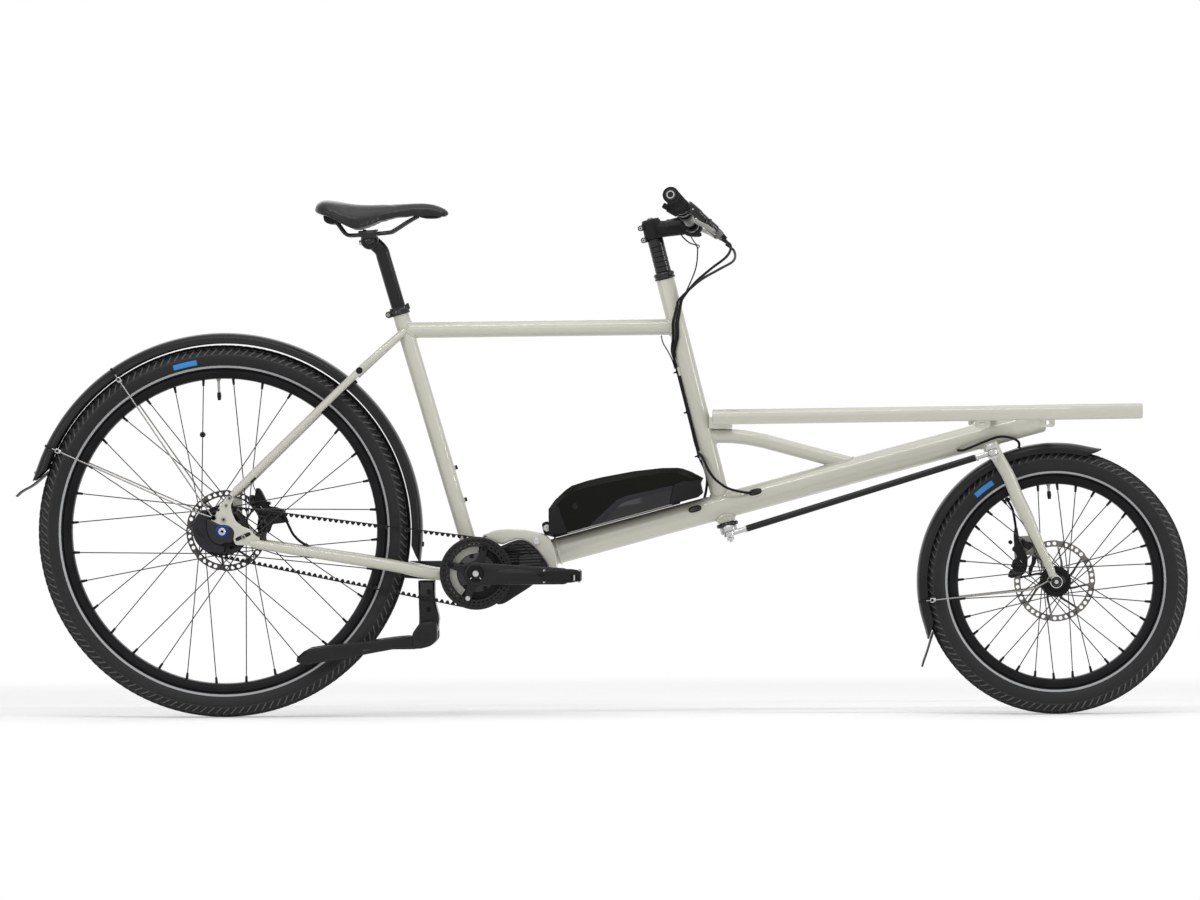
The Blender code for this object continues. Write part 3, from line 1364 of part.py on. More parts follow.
def build_stand():
    spot = Vector((stand_pivot[0], 0.0, stand_pivot[1]))
    bracket_top = 0.2705 - gap
    bracket = block("kickstand_bracket", (0.031, 0.032, bracket_top - spot.z),
                    ((0.3860 + 0.4170) / 2, 0.0, (bracket_top + spot.z) / 2), bike, black_metal())
    barrel_half = 0.0300
    join(bracket, rod("stand_barrel", 0.0190, at_side(spot, -barrel_half), at_side(spot, barrel_half), bike))
    cut(bracket, rod("stand_pin_room", stand_pin_radius + running_gap, at_side(spot, -0.05), at_side(spot, 0.05),
                     bike))

    turn = pivot("kickstand_axis", spot, bike)
    hub_inner = barrel_half + running_gap
    hub_outer = hub_inner + 0.0240
    stand = rod("kickstand", stand_pin_radius, at_side(spot, -hub_outer + 0.004), at_side(spot, hub_outer - 0.004),
                turn, black_metal())
    for name, sign in (("right", -1.0), ("left", 1.0)):
        middle = sign * (hub_inner + hub_outer) / 2
        hub = rod("stand_hub_" + name, stand_hub_radius, at_side(spot, sign * hub_inner),
                  at_side(spot, sign * hub_outer), turn, sides=24)
        points = [(0.3860, middle, 0.1470), (0.3500, middle, 0.1350), (0.2700, middle + sign * 0.006, 0.1270),
                  (0.1900, middle + sign * 0.014, 0.1190), (0.1480, middle + sign * 0.018, 0.1110)]
        radii = [0.0120, 0.0110, 0.0100, 0.0085, 0.0080]
        leg = as_mesh(wire("stand_leg_" + name, points, 0.0120, turn, None, radii))
        join(stand, hub, leg)


# Hoses

def build_hoses():
    """Each hose keeps to points chosen along its own way."""
    reach = column_tube_radius + hose_radius + 0.0010
    side = Vector((0.0, 1.0, 0.0))

    def round_column(height, angle, extra=0.0):
        """A place on the column tube, the angle counted from its rear towards the right."""
        turn = math.radians(angle)
        return column_at(height) - (steer_ahead * math.cos(turn) + side * math.sin(turn)) * (reach + extra)

    wrap = ((0.812, 140.0, 0.006), (0.800, 124.0, 0.002), (0.785, 102.0, 0.001), (0.770, 82.0, 0.001),
            (0.755, 72.0, 0.001), (0.742, 62.0, 0.001), (0.730, 42.0, 0.001), (0.718, 20.0, 0.001),
            (0.704, 2.0, 0.0005), (0.690, 0.0, 0.0))
    clip_heights = (0.690, 0.610, 0.530)
    right = [(0.9850, -0.1672, 0.9277), (0.9960, -0.1560, 0.9170), (0.9880, -0.1200, 0.8980),
             (0.9560, -0.0800, 0.8740), (0.9250, -0.0480, 0.8480)]
    left = [(0.9850, 0.1672, 0.9277), (1.0010, 0.1560, 0.9140), (1.0000, 0.1100, 0.8940),
            (0.9720, 0.0500, 0.8760), (0.9330, -0.0100, 0.8520)]
    paths = []
    for start, around in ((right, 9.5), (left, -9.5)):
        path = [Vector(point) for point in start]
        path += [round_column(height, angle + around, extra) for height, angle, extra in wrap]
        path += [round_column(height, around) for height in (clip_heights[1], clip_heights[2], 0.508)]
        sign = 1.0 if around > 0.0 else -1.0
        path += [round_column(height, sign * angle, 0.0020)
                 for height, angle in ((0.492, 28.0), (0.476, 52.0), (0.452, 62.0))]
        paths.append(smooth_path(path, 2))
    hoses = as_mesh(wire("bar_hoses", paths[0], hose_radius, bike, black_plastic(), None, 0))
    join(hoses, as_mesh(wire("bar_hose_left", paths[1], hose_radius, bike, None, None, 0)))
    for number, height in enumerate(clip_heights):
        join(hoses, steer_block("hose_clip_%d" % number, (0.0052, 0.0150, 0.0090),
                                round_column(height, 0.0, -0.0006), bike))

    under_boom = boom_length_to(wheelbase - 0.1981)
    crown = fork_at(fork_crown_height)
    fork_way = [at_side(boom_at(under_boom, -0.0312), 0.0100), at_side(boom_at(under_boom + 0.0306, -0.0332), 0.0250)]
    fork_way += [crown + Vector(offset) for offset in ((0.0017, 0.0420, 0.0310), (0.0337, 0.0560, 0.0370),
                                                       (0.0517, 0.0660, 0.0140))]
    fork_way += [front_hub + Vector(offset) for offset in (
        (-0.0700, 0.0720, 0.2100), (-0.0740, 0.0720, 0.1600), (-0.0840, 0.0640, 0.1300),
        (-0.0820, 0.0540, 0.1080), (-0.0710, 0.0430, 0.0930), (-0.0594, 0.0380, 0.0766))]
    wire("fork_hose", smooth_path(fork_way, 2), hose_radius, bike, black_plastic(), None, 1)
    wire("rear_hose", smooth_path([(0.1060, 0.0520, 0.4120), (0.1300, 0.0540, 0.3950), (0.1480, 0.0580, 0.3600),
                                   (0.1800, 0.0600, 0.3330), (0.2400, 0.0560, 0.3201)], 3), hose_radius, bike,
         black_plastic())


build_frame()
build_rear_wheel()
build_drive()
build_battery()
handlebar_turn = build_steering()
fork_turning = build_fork()
build_front_wheel(fork_turning)
build_seat()
build_rear_fender()
build_front_fender(fork_turning)
build_stand()
build_hoses()
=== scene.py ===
import math

import bmesh
import bpy
from mathutils import Matrix, Vector


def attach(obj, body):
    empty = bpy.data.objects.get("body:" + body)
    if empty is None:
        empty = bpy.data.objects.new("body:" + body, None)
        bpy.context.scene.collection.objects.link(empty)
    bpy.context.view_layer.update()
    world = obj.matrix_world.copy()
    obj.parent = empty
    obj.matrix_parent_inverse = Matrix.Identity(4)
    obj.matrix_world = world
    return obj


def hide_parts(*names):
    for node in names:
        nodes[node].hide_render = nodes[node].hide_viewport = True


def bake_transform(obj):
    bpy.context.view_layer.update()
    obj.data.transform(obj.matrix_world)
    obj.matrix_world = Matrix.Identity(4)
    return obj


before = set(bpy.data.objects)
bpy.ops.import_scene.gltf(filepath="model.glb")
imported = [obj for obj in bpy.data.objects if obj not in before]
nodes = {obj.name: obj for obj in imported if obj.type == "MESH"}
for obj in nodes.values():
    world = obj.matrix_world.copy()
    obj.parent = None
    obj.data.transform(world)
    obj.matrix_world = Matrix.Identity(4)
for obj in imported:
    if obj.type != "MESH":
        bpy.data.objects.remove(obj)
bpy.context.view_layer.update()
scene = bpy.context.scene
print("frame loaded:", len(nodes), "nodes")

# Places are written as seen from the side: x ahead of the rear axle, z above the floor.
shift = 0.7403
wheelbase = 1.63
rearHub = Vector((0.0, 0.0, 0.365))
frontHub = Vector((wheelbase, 0.0, 0.26))
crankCentre = Vector((0.4953, 0.0, 0.2814))
steerLean = math.radians(14.0)
seatLean = math.radians(16.35)
boomLean = math.radians(15.0)
steerUp = Vector((-math.sin(steerLean), 0.0, math.cos(steerLean)))
steerAhead = Vector((steerUp.z, 0.0, -steerUp.x))
seatUp = Vector((-math.sin(seatLean), 0.0, math.cos(seatLean)))
boomAlong = Vector((math.cos(boomLean), 0.0, math.sin(boomLean)))
boomUp = Vector((-boomAlong.z, 0.0, boomAlong.x))
sideways = Vector((0.0, 1.0, 0.0))
railLean = math.radians(0.6)
railAlong = Vector((math.cos(railLean), 0.0, math.sin(railLean)))

# radii of the frame's tubes
seatRadius = 0.0159
columnRadius = 0.018
boomRadius = 0.0254
braceRadius = 0.0143
headRadius = 0.0205
railRadius = 0.015
crossRadius = 0.0127

# where the boom and the platform's rails begin, and how far out rails and dropouts stand
boomStart, boomHeight = 0.6522, 0.3232
railStart, railHeight = 0.9604, 0.5855
railLength = 0.83
railSide = 0.235
dropoutSide = 0.0708


# Half of the handlebar, from its clamp to its end: distance from the middle, x and z.
barRise = [(0.0, 0.919, 0.9605), (0.05, 0.9188, 0.9608), (0.075, 0.9172, 0.964), (0.11, 0.912, 0.9725),
    (0.15, 0.9068, 0.983), (0.18, 0.9035, 0.9888), (0.205, 0.901, 0.9925), (0.331, 0.8816, 1.0128)]


def along(stations, place, side):
    for low, high in zip(stations, stations[1:]):
        if place <= high[0] or high is stations[-1]:
            share = (place - low[0]) / (high[0] - low[0])
            return Vector((low[1] + (high[1] - low[1]) * share, side, low[2] + (high[2] - low[2]) * share))


def columnAt(z):
    return Vector((1.0798 - math.tan(steerLean) * z, 0.0, z))


def forkAt(z):
    return Vector((1.6337 - math.tan(steerLean) * z, 0.0, z))


def seatAt(z):
    return Vector((0.5781 - math.tan(seatLean) * z, 0.0, z))


def boomAt(along, up=0.0, side=0.0):
    return Vector((boomStart, side, boomHeight)) + boomAlong * along + boomUp * up


def railAt(x, side=0.0):
    return Vector((x, side, railHeight + (x - railStart) * math.tan(railLean)))


def barAt(side):
    return along(barRise, abs(side), side)


def beside(point, side):
    return Vector((point[0], side, point[-1]))


# Shader maths read as plain expressions through this wrapper.
class Wire:
    def __init__(self, net, socket):
        self.net = net
        self.socket = socket

    def maths(self, operation, other=None, swap=False):
        pair = [self, other] if not swap else [other, self]
        values = {index: value for index, value in enumerate(pair) if value is not None}
        return self.net.add("ShaderNodeMath", {"operation": operation}, values)

    def __add__(self, other):
        return self.maths("ADD", other)

    def __radd__(self, other):
        return self.maths("ADD", other, True)

    def __sub__(self, other):
        return self.maths("SUBTRACT", other)

    def __rsub__(self, other):
        return self.maths("SUBTRACT", other, True)

    def __mul__(self, other):
        return self.maths("MULTIPLY", other)

    def __rmul__(self, other):
        return self.maths("MULTIPLY", other, True)

    def __truediv__(self, other):
        return self.maths("DIVIDE", other)

    def __rtruediv__(self, other):
        return self.maths("DIVIDE", other, True)

    def __pow__(self, other):
        return self.maths("POWER", other)

    def __rpow__(self, other):
        return self.maths("POWER", other, True)

    def __neg__(self):
        return self.maths("MULTIPLY", -1.0)

    def smooth(self, low, high):
        values = {"Value": self, "From Min": low, "From Max": high}
        return self.net.add("ShaderNodeMapRange", {"interpolation_type": "SMOOTHSTEP"}, values)

    def band(self, middle, half, soft):
        away = (self - middle).maths("ABSOLUTE")
        return 1.0 - away.smooth(half - soft, half + soft)


class Net:
    def __init__(self, name):
        self.material = bpy.data.materials.new(name)
        self.material.use_nodes = True
        self.tree = self.material.node_tree
        self.tree.nodes.clear()
        self.place = None

    def add(self, kind, settings=None, values=None, output=0):
        node = self.tree.nodes.new(kind)
        for key, value in (settings or {}).items():
            setattr(node, key, value)
        for key, value in (values or {}).items():
            if isinstance(value, Wire):
                self.tree.links.new(value.socket, node.inputs[key])
            else:
                node.inputs[key].default_value = value
        return Wire(self, node.outputs[output])

    def position(self):
        if self.place is None:
            self.place = self.add("ShaderNodeTexCoord", output="Object")
        return self.place

    def split(self, wire):
        node = self.add("ShaderNodeSeparateXYZ", values={"Vector": wire}).socket.node
        return [Wire(self, output) for output in node.outputs]

    def stretched(self, scale):
        return self.add("ShaderNodeVectorMath", {"operation": "MULTIPLY"}, {0: self.position(), 1: scale})

    def noise(self, scale, detail=3.0, roughness=0.5, vector=None):
        values = {"Vector": vector or self.position(), "Scale": scale, "Detail": detail, "Roughness": roughness}
        return self.add("ShaderNodeTexNoise", values=values)

    def cells(self, scale, feature="F1", vector=None):
        values = {"Vector": vector or self.position(), "Scale": scale}
        return self.add("ShaderNodeTexVoronoi", {"feature": feature}, values)

    def blendColour(self, factor, first, second):
        node = self.tree.nodes.new("ShaderNodeMix")
        node.data_type = "RGBA"
        for index, value in ((0, factor), (6, first), (7, second)):
            if isinstance(value, Wire):
                self.tree.links.new(value.socket, node.inputs[index])
            elif index == 0:
                node.inputs[index].default_value = value
            else:
                node.inputs[index].default_value = (*value, 1.0)
        return Wire(self, node.outputs[2])

    def bump(self, height, strength, distance):
        return self.add("ShaderNodeBump", values={"Height": height, "Strength": strength, "Distance": distance})

    def finish(self, **values):
        names = {key.replace("_", " ").title().replace("Ior", "IOR"): value for key, value in values.items()}
        shader = self.add("ShaderNodeBsdfPrincipled", values=names)
        output = self.tree.nodes.new("ShaderNodeOutputMaterial")
        self.tree.links.new(shader.socket, output.inputs["Surface"])
        return self.material


def hubSpan(net, hub):
    x, y, z = net.split(net.position())
    across = x - (hub.x - shift)
    rise = z - hub.z
    return (across * across + rise * rise).maths("SQRT"), rise.maths("ARCTAN2", across), y


def paintFinish():
    net = Net("greigeEnamel")
    cloud = net.noise(6.0, 2.0)
    peel = net.noise(900.0, 1.0)
    dust = net.noise(60.0, 4.0, 0.6)
    colour = net.blendColour(cloud, (0.5, 0.495, 0.42), (0.53, 0.525, 0.448))
    return net.finish(base_color=colour, roughness=0.3 + 0.08 * dust, coat_weight=0.85, coat_roughness=0.045,
        normal=net.bump(peel, 0.015, 0.0003))


def moulded(name, dark, light, rough, grain=1400.0, depth=0.25, coat=0.0, shine=0.12):
    net = Net(name)
    fine = net.noise(grain, 2.0)
    broad = net.noise(14.0, 3.0)
    colour = net.blendColour(broad, dark, light)
    return net.finish(base_color=colour, roughness=rough + 0.1 * (broad - 0.5) + 0.08 * (fine - 0.5),
        specular_ior_level=shine, coat_weight=coat, coat_roughness=0.08, normal=net.bump(fine, depth, 0.0002))


def metal(name, dark, light, rough, streak=(40.0, 40.0, 900.0), depth=0.08):
    net = Net(name)
    lines = net.noise(1.0, 3.0, 0.6, net.stretched(streak))
    broad = net.noise(25.0, 3.0)
    colour = net.blendColour(broad, dark, light)
    return net.finish(base_color=colour, metallic=1.0, roughness=rough + 0.14 * (lines - 0.5) + 0.06 * broad,
        normal=net.bump(lines, depth, 0.0002))


def discFinish(name, hub, dark, light):
    net = Net(name)
    span = hubSpan(net, hub)[0]
    rings = (span * 2600.0).maths("SINE")
    worn = net.noise(1.0, 3.0, 0.6, net.stretched((300.0, 300.0, 300.0)))
    track = span.smooth(0.06, 0.064)
    colour = net.blendColour(track, dark, light)
    return net.finish(base_color=colour, metallic=1.0, roughness=0.34 + 0.08 * rings * worn,
        normal=net.bump(rings, 0.06, 0.0001))


def tyreFinish(name, hub, size):
    net = Net(name)
    span, angle = hubSpan(net, hub)[:2]
    fine = net.noise(1100.0, 2.0)
    cloud = net.noise(30.0, 3.0)
    stripe = span.band(size["stripe"], 0.002, 0.0004)
    markTurn = angle.band(size["mark"], size["markHalf"], 0.004)
    mark = markTurn * span.band(size["markAt"], 0.005, 0.0006)
    rib = ((span - size["bead"]) * 1500.0).maths("SINE")
    lower = 1.0 - span.smooth(size["stripe"] + 0.004, size["stripe"] + 0.008)
    wall = span.band(size["wall"], 0.011, 0.003)
    fans = ((angle * size["fans"]).maths("SINE")) * wall
    lean = angle * float(size["lugs"]) + span * 420.0
    sipes = lean.maths("SINE").smooth(0.7, 0.9)
    # Slanted dashes at the tread blocks' edges and two thin rings round the tread are blended in a lighter grey into
    # the rubber's colour below: painted highlights where the tread catches the light.
    edges = ((0.0 - lean).maths("SINE")).smooth(0.55, 0.95) * span.band(size["outer"] - 0.0125, 0.0058, 0.0006)
    tread = span.smooth(size["outer"] - 0.0205, size["outer"] - 0.0195)
    channelHighlight = span.band(size["outer"] - 0.0196, 0.0005, 0.0002) + span.band(size["outer"] - 0.0062, 0.0006, 0.0003)
    black = net.blendColour(cloud, (0.011, 0.011, 0.012), (0.018, 0.018, 0.019))
    highlightedTread = net.blendColour(edges * 0.8 + channelHighlight * 0.3, black, (0.11, 0.11, 0.112))
    marked = net.blendColour(mark, highlightedTread, (0.045, 0.25, 0.62))
    colour = net.blendColour(stripe, marked, (0.42, 0.43, 0.44))
    height = rib * lower * 0.5 + fine * 0.25 + fans * 0.6 - sipes * tread * 0.9
    return net.finish(base_color=colour, roughness=0.52 - 0.16 * stripe + 0.1 * (cloud - 0.5),
        specular_ior_level=0.22, normal=net.bump(height, 0.35, 0.0005))


def leatherFinish():
    net = Net("saddleCover")
    grain = net.cells(650.0, "DISTANCE_TO_EDGE")
    fine = net.noise(900.0, 2.0)
    broad = net.noise(18.0, 3.0)
    colour = net.blendColour(broad, (0.007, 0.007, 0.007), (0.013, 0.012, 0.012))
    return net.finish(base_color=colour, roughness=0.3 + 0.12 * (broad - 0.5), specular_ior_level=0.3,
        normal=net.bump(grain + 0.4 * fine, 0.16, 0.0004))


def gripFinish():
    net = Net("gripRubber")
    x, y, z = net.split(net.position())
    rows = (y * 1500.0).maths("SINE")
    slant = ((x + z) * 1500.0).maths("SINE")
    fine = net.noise(1500.0, 2.0)
    colour = net.blendColour(fine, (0.01, 0.01, 0.01), (0.018, 0.017, 0.017))
    return net.finish(base_color=colour, roughness=0.72 + 0.1 * (fine - 0.5), specular_ior_level=0.12,
        normal=net.bump(rows * slant + 0.3 * fine, 0.5, 0.0006))


def batteryFinish():
    net = Net("batteryShell")
    fine = net.cells(1500.0)
    broad = net.noise(12.0, 3.0)
    colour = net.blendColour(broad, (0.005, 0.005, 0.004), (0.008, 0.008, 0.007))
    return net.finish(base_color=colour, roughness=0.22 + 0.08 * (broad - 0.5), specular_ior_level=0.07,
        normal=net.bump(fine, 0.25, 0.0002))


finishes = {"paint": paintFinish(), "plastic": moulded("blackPlastic", (0.009, 0.009, 0.01), (0.015, 0.015, 0.016),
    0.4), "satin": moulded("satinBlack", (0.007, 0.007, 0.007), (0.011, 0.011, 0.011), 0.2, 2000.0, 0.04, shine=0.24),
    "guard": moulded("mudguardPlastic", (0.012, 0.012, 0.013), (0.017, 0.017, 0.018), 0.3, 900.0, 0.08, shine=0.16),
    "gloss": moulded("glossBlack", (0.004, 0.004, 0.004), (0.006, 0.006, 0.006), 0.09, 300.0, 0.01, shine=0.42),
    # A light grey finish: a painted sheen on the handlebar's bends, and the grey tip of each brake cylinder.
    "greyAndSheen": moulded("greyAndPaintedSheen", (0.1, 0.1, 0.104), (0.15, 0.15, 0.156), 0.34, 900.0, 0.1, shine=0.4),
    "pod": moulded("podShell", (0.02, 0.02, 0.024), (0.028, 0.028, 0.033), 0.36),
    "casing": moulded("motorCasing", (0.012, 0.012, 0.013), (0.022, 0.022, 0.024), 0.38, 1200.0, 0.4),
    "steel": metal("brightSteel", (0.42, 0.42, 0.42), (0.56, 0.55, 0.55), 0.22),
    "wire": metal("drawnSteel", (0.22, 0.21, 0.2), (0.34, 0.33, 0.31), 0.3),
    "black": metal("anodisedBlack", (0.01, 0.01, 0.011), (0.02, 0.02, 0.021), 0.32),
    "spoke": metal("blackSpoke", (0.03, 0.03, 0.032), (0.055, 0.055, 0.058), 0.3),
    "blue": metal("anodisedBlue", (0.014, 0.04, 0.17), (0.022, 0.06, 0.23), 0.3),
    "hose": moulded("hoseSkin", (0.008, 0.008, 0.009), (0.013, 0.013, 0.014), 0.34, 800.0, 0.1),
    "flap": moulded("flapRubber", (0.035, 0.035, 0.037), (0.05, 0.05, 0.053), 0.45, 500.0, 0.5, shine=0.3),
    "belt": moulded("beltRubber", (0.009, 0.009, 0.009), (0.015, 0.015, 0.015), 0.5, 1600.0, 0.4),
    "grip": gripFinish(), "leather": leatherFinish(), "battery": batteryFinish(),
    "rearDisc": discFinish("rearDisc", rearHub, (0.03, 0.029, 0.028), (0.075, 0.07, 0.066)),
    "frontDisc": discFinish("frontDisc", frontHub, (0.06, 0.058, 0.056), (0.17, 0.16, 0.15)),}
print("materials made:", len(finishes))


# Shapes are gathered in a Piece, each with its own material.
class Piece:
    def __init__(self, name, body, slot, *replaced, angle=38.0):
        self.name = name
        self.body = body
        self.slot = slot
        self.replaced = replaced
        self.angle = angle
        self.shape = bmesh.new()
        self.materials = []

    def take(self, shape, finish, move=None):
        material = finishes[finish] if isinstance(finish, str) else finish
        if material not in self.materials:
            self.materials.append(material)
        index = self.materials.index(material)
        if move is not None:
            bmesh.ops.transform(shape, matrix=move, verts=shape.verts)
        for face in shape.faces:
            face.material_index = index
        mesh = bpy.data.meshes.new("part")
        shape.to_mesh(mesh)
        shape.free()
        self.shape.from_mesh(mesh)
        bpy.data.meshes.remove(mesh)
        return self

    def make(self):
        bmesh.ops.translate(self.shape, vec=(-shift, 0.0, 0.0), verts=self.shape.verts)
        mesh = bpy.data.meshes.new(self.name)
        self.shape.to_mesh(mesh)
        self.shape.free()
        for material in self.materials:
            mesh.materials.append(material)
        mesh.shade_smooth()
        mesh.set_sharp_from_angle(angle=math.radians(self.angle))
        item = bpy.data.objects.new(self.name, mesh)
        scene.collection.objects.link(item)
        return item

    def done(self):
        item = self.make()
        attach(item, self.body)
        if self.replaced:
            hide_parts(*self.replaced)
        print("piece", self.name, len(item.data.polygons), "faces")
        return item


def tidyShape(shape):
    bmesh.ops.remove_doubles(shape, verts=shape.verts, dist=0.00001)
    bmesh.ops.recalc_face_normals(shape, faces=shape.faces)
    return shape


def skinned(shape, rings):
    # Bands of faces from ring to ring, closed at both ends.
    count = len(rings[0])
    for low, high in zip(rings, rings[1:]):
        for index in range(count):
            after = (index + 1) % count
            shape.faces.new((low[index], low[after], high[after], high[index]))
    shape.faces.new(rings[0])
    shape.faces.new(rings[-1])
    return tidyShape(shape)


def through(points, steps=6, closed=False):
    knots = [Vector(point) for point in points]
    if closed:
        knots = [knots[-1]] + knots + knots[:2]
    else:
        knots = [2 * knots[0] - knots[1]] + knots + [2 * knots[-1] - knots[-2]]
    path = []
    for index in range(1, len(knots) - 2):
        before, here, there, after = knots[index - 1:index + 3]
        for step in range(steps):
            t = step / steps
            path.append(0.5
                * (2 * here + (there - before) * t + (2 * before - 5 * here + 4 * there - after) * t ** 2 + (
                3 * here - before - 3 * there + after) * t ** 3))
    if not closed:
        path.append(knots[-2])
    return path


def spread(values, count):
    result = []
    for index in range(count):
        place = index / (count - 1) * (len(values) - 1)
        low = min(int(place), len(values) - 2)
        result.append(values[low] + (values[low + 1] - values[low]) * (place - low))
    return result


def tube(points, radius, sides=20, closed=False, flat=1.0, lead=None, cap=0.0):
    # A tube along the points; radius is one value or a list, flat squeezes it across its lead.
    points = [Vector(point) for point in points]
    count = len(points)
    radii = [radius] * count if isinstance(radius, (int, float)) else spread(list(radius), count)
    shape = bmesh.new()
    tangents = []
    for index in range(count):
        before = points[index - 1] if index or closed else points[0]
        after = points[(index + 1) % count] if index < count - 1 or closed else points[-1]
        tangents.append((after - before).normalized())
    normal = lead or tangents[0].orthogonal()
    normal = (normal - tangents[0] * normal.dot(tangents[0])).normalized()
    rings = []
    for index, (point, tangent) in enumerate(zip(points, tangents)):
        normal = (normal - tangent * normal.dot(tangent)).normalized()
        other = tangent.cross(normal)
        ring = []
        for side in range(sides):
            turn = math.tau * side / sides
            offset = normal * math.cos(turn) + other * math.sin(turn) * flat
            ring.append(shape.verts.new(point + offset * radii[index]))
        rings.append((ring, point, tangent, normal, other, radii[index]))
    loops = [ring[0] for ring in rings]
    pairs = list(zip(loops, loops[1:]))
    if closed:
        last, first = loops[-1], loops[0]
        offset = min(range(sides), key=lambda step: (last[0].co - first[step].co).length)
        pairs.append((last, first[offset:] + first[:offset]))
    for low, high in pairs:
        for side in range(sides):
            after = (side + 1) % sides
            shape.faces.new((low[side], low[after], high[after], high[side]))
    if not closed:
        for (ring, point, tangent, normal, other, size), sign in ((rings[0], -1.0), (rings[-1], 1.0)):
            edge = ring
            if cap > 0.0:
                inner = []
                for side in range(sides):
                    turn = math.tau * side / sides
                    offset = (normal * math.cos(turn) + other * math.sin(turn) * flat) * (size - cap)
                    inner.append(shape.verts.new(point + tangent * sign * cap * 0.6 + offset))
                for side in range(sides):
                    after = (side + 1) % sides
                    shape.faces.new((ring[side], ring[after], inner[after], inner[side]))
                edge = inner
            shape.faces.new(edge)
    return tidyShape(shape)


def lathe(profile, centre, axis=sideways, steps=48, closed=True):
    # Radius and height pairs turned about the axis through centre.
    centre, axis = Vector(centre), Vector(axis).normalized()
    first = axis.orthogonal().normalized()
    second = axis.cross(first)
    shape = bmesh.new()
    columns = []
    for radius, height in profile:
        base = centre + axis * height
        if radius < 0.00001:
            point = shape.verts.new(base)
            columns.append([point] * steps)
        else:
            columns.append([shape.verts.new(
                base + (first * math.cos(math.tau * step / steps) + second * math.sin(math.tau * step / steps))
                * radius) for step in range(steps)])
    pairs = list(zip(columns, columns[1:]))
    if closed:
        pairs.append((columns[-1], columns[0]))
    for low, high in pairs:
        for step in range(steps):
            after = (step + 1) % steps
            corners = []
            for vert in (low[step], low[after], high[after], high[step]):
                if vert not in corners:
                    corners.append(vert)
            if len(corners) > 2:
                shape.faces.new(corners)
    return tidyShape(shape)


def disc(radius, low, high, centre, axis=sideways, soft=0.0006, steps=32, bore=0.0):
    profile = [(bore, high), (radius - soft, high), (radius, high - soft), (radius, low + soft), (radius - soft, low),
        (bore, low)]
    return lathe(profile, centre, axis, steps, closed=bore > 0.0)


def rounded(points, radius, steps=4):
    result = []
    count = len(points)
    for index, corner in enumerate(points):
        size = radius[index] if isinstance(radius, (list, tuple)) else radius
        here = Vector(corner)
        before = Vector(points[index - 1]) - here
        after = Vector(points[(index + 1) % count]) - here
        reach = min(size, before.length * 0.45, after.length * 0.45)
        if reach < 0.0001:
            result.append(tuple(here))
            continue
        start, end = here + before.normalized() * reach, here + after.normalized() * reach
        for step in range(steps + 1):
            t = step / steps
            result.append(tuple(start * (1 - t) ** 2 + here * 2 * t * (1 - t) + end * t ** 2))
    return result


def ringOf(centre, radius, count, start=0.0, sweep=360.0):
    points = []
    for index in range(count):
        turn = math.radians(start + sweep * index / (count if sweep == 360.0 else count - 1))
        points.append((centre[0] + radius * math.cos(turn), centre[-1] + radius * math.sin(turn)))
    return points


def plate(outline, low, high, soft=0.0008, holes=(), steps=2):
    # An outline of x and z pairs between two places across the bike, its edges rounded.
    curve = bpy.data.curves.new("plate", "CURVE")
    curve.dimensions = "2D"
    curve.fill_mode = "BOTH"
    curve.extrude = abs(high - low) / 2 - soft
    curve.bevel_depth = soft
    curve.bevel_resolution = steps
    curve.offset = -soft
    for loop in (outline, *holes):
        spline = curve.splines.new("POLY")
        spline.points.add(len(loop) - 1)
        for index, point in enumerate(loop):
            spline.points[index].co = (point[0], point[1], 0.0, 1.0)
        spline.use_cyclic_u = True
    item = bpy.data.objects.new("plate", curve)
    scene.collection.objects.link(item)
    depsgraph = bpy.context.evaluated_depsgraph_get()
    mesh = bpy.data.meshes.new_from_object(item.evaluated_get(depsgraph))
    shape = bmesh.new()
    shape.from_mesh(mesh)
    bpy.data.objects.remove(item)
    bpy.data.curves.remove(curve)
    bpy.data.meshes.remove(mesh)
    turn = Matrix.Translation((0.0, (low + high) / 2, 0.0)) @ Matrix.Rotation(math.radians(90.0), 4, "X")
    bmesh.ops.transform(shape, matrix=turn, verts=shape.verts)
    return tidyShape(shape)


def block(size, centre, soft=0.001, ahead=None, up=None, segments=2):
    # Size runs ahead, across and up.
    shape = bmesh.new()
    bmesh.ops.create_cube(shape, size=1.0)
    bmesh.ops.scale(shape, vec=size, verts=shape.verts)
    if soft:
        bmesh.ops.bevel(shape, geom=shape.edges[:], offset=soft, segments=segments, profile=0.7, affect="EDGES")
    if ahead is not None:
        ahead = Vector(ahead).normalized()
        up = Vector(up or (0.0, 0.0, 1.0))
        across = up.cross(ahead).normalized()
        up = ahead.cross(across)
        turn = Matrix((ahead, across, up)).transposed().to_4x4()
        bmesh.ops.transform(shape, matrix=turn, verts=shape.verts)
    bmesh.ops.translate(shape, vec=centre, verts=shape.verts)
    return tidyShape(shape)


def socketBolt(centre, axis, radius=0.004, height=0.004):
    # A round head with a six-sided recess.
    axis = Vector(axis).normalized()
    bore = radius * 0.5
    profile = [(bore, height), (radius * 0.86, height), (radius, height * 0.8), (radius, 0.0), (0.0, 0.0),
        (0.0, height * 0.4), (bore, height * 0.4)]
    return lathe(profile, centre, axis, 18)


def hexNut(centre, axis, radius, low, high):
    axis = Vector(axis).normalized()
    profile = [(0.0, high), (radius * 0.84, high), (radius, high - (high - low) * 0.16), (radius, low), (0.0, low)]
    return lathe(profile, centre, axis, 6, closed=False)


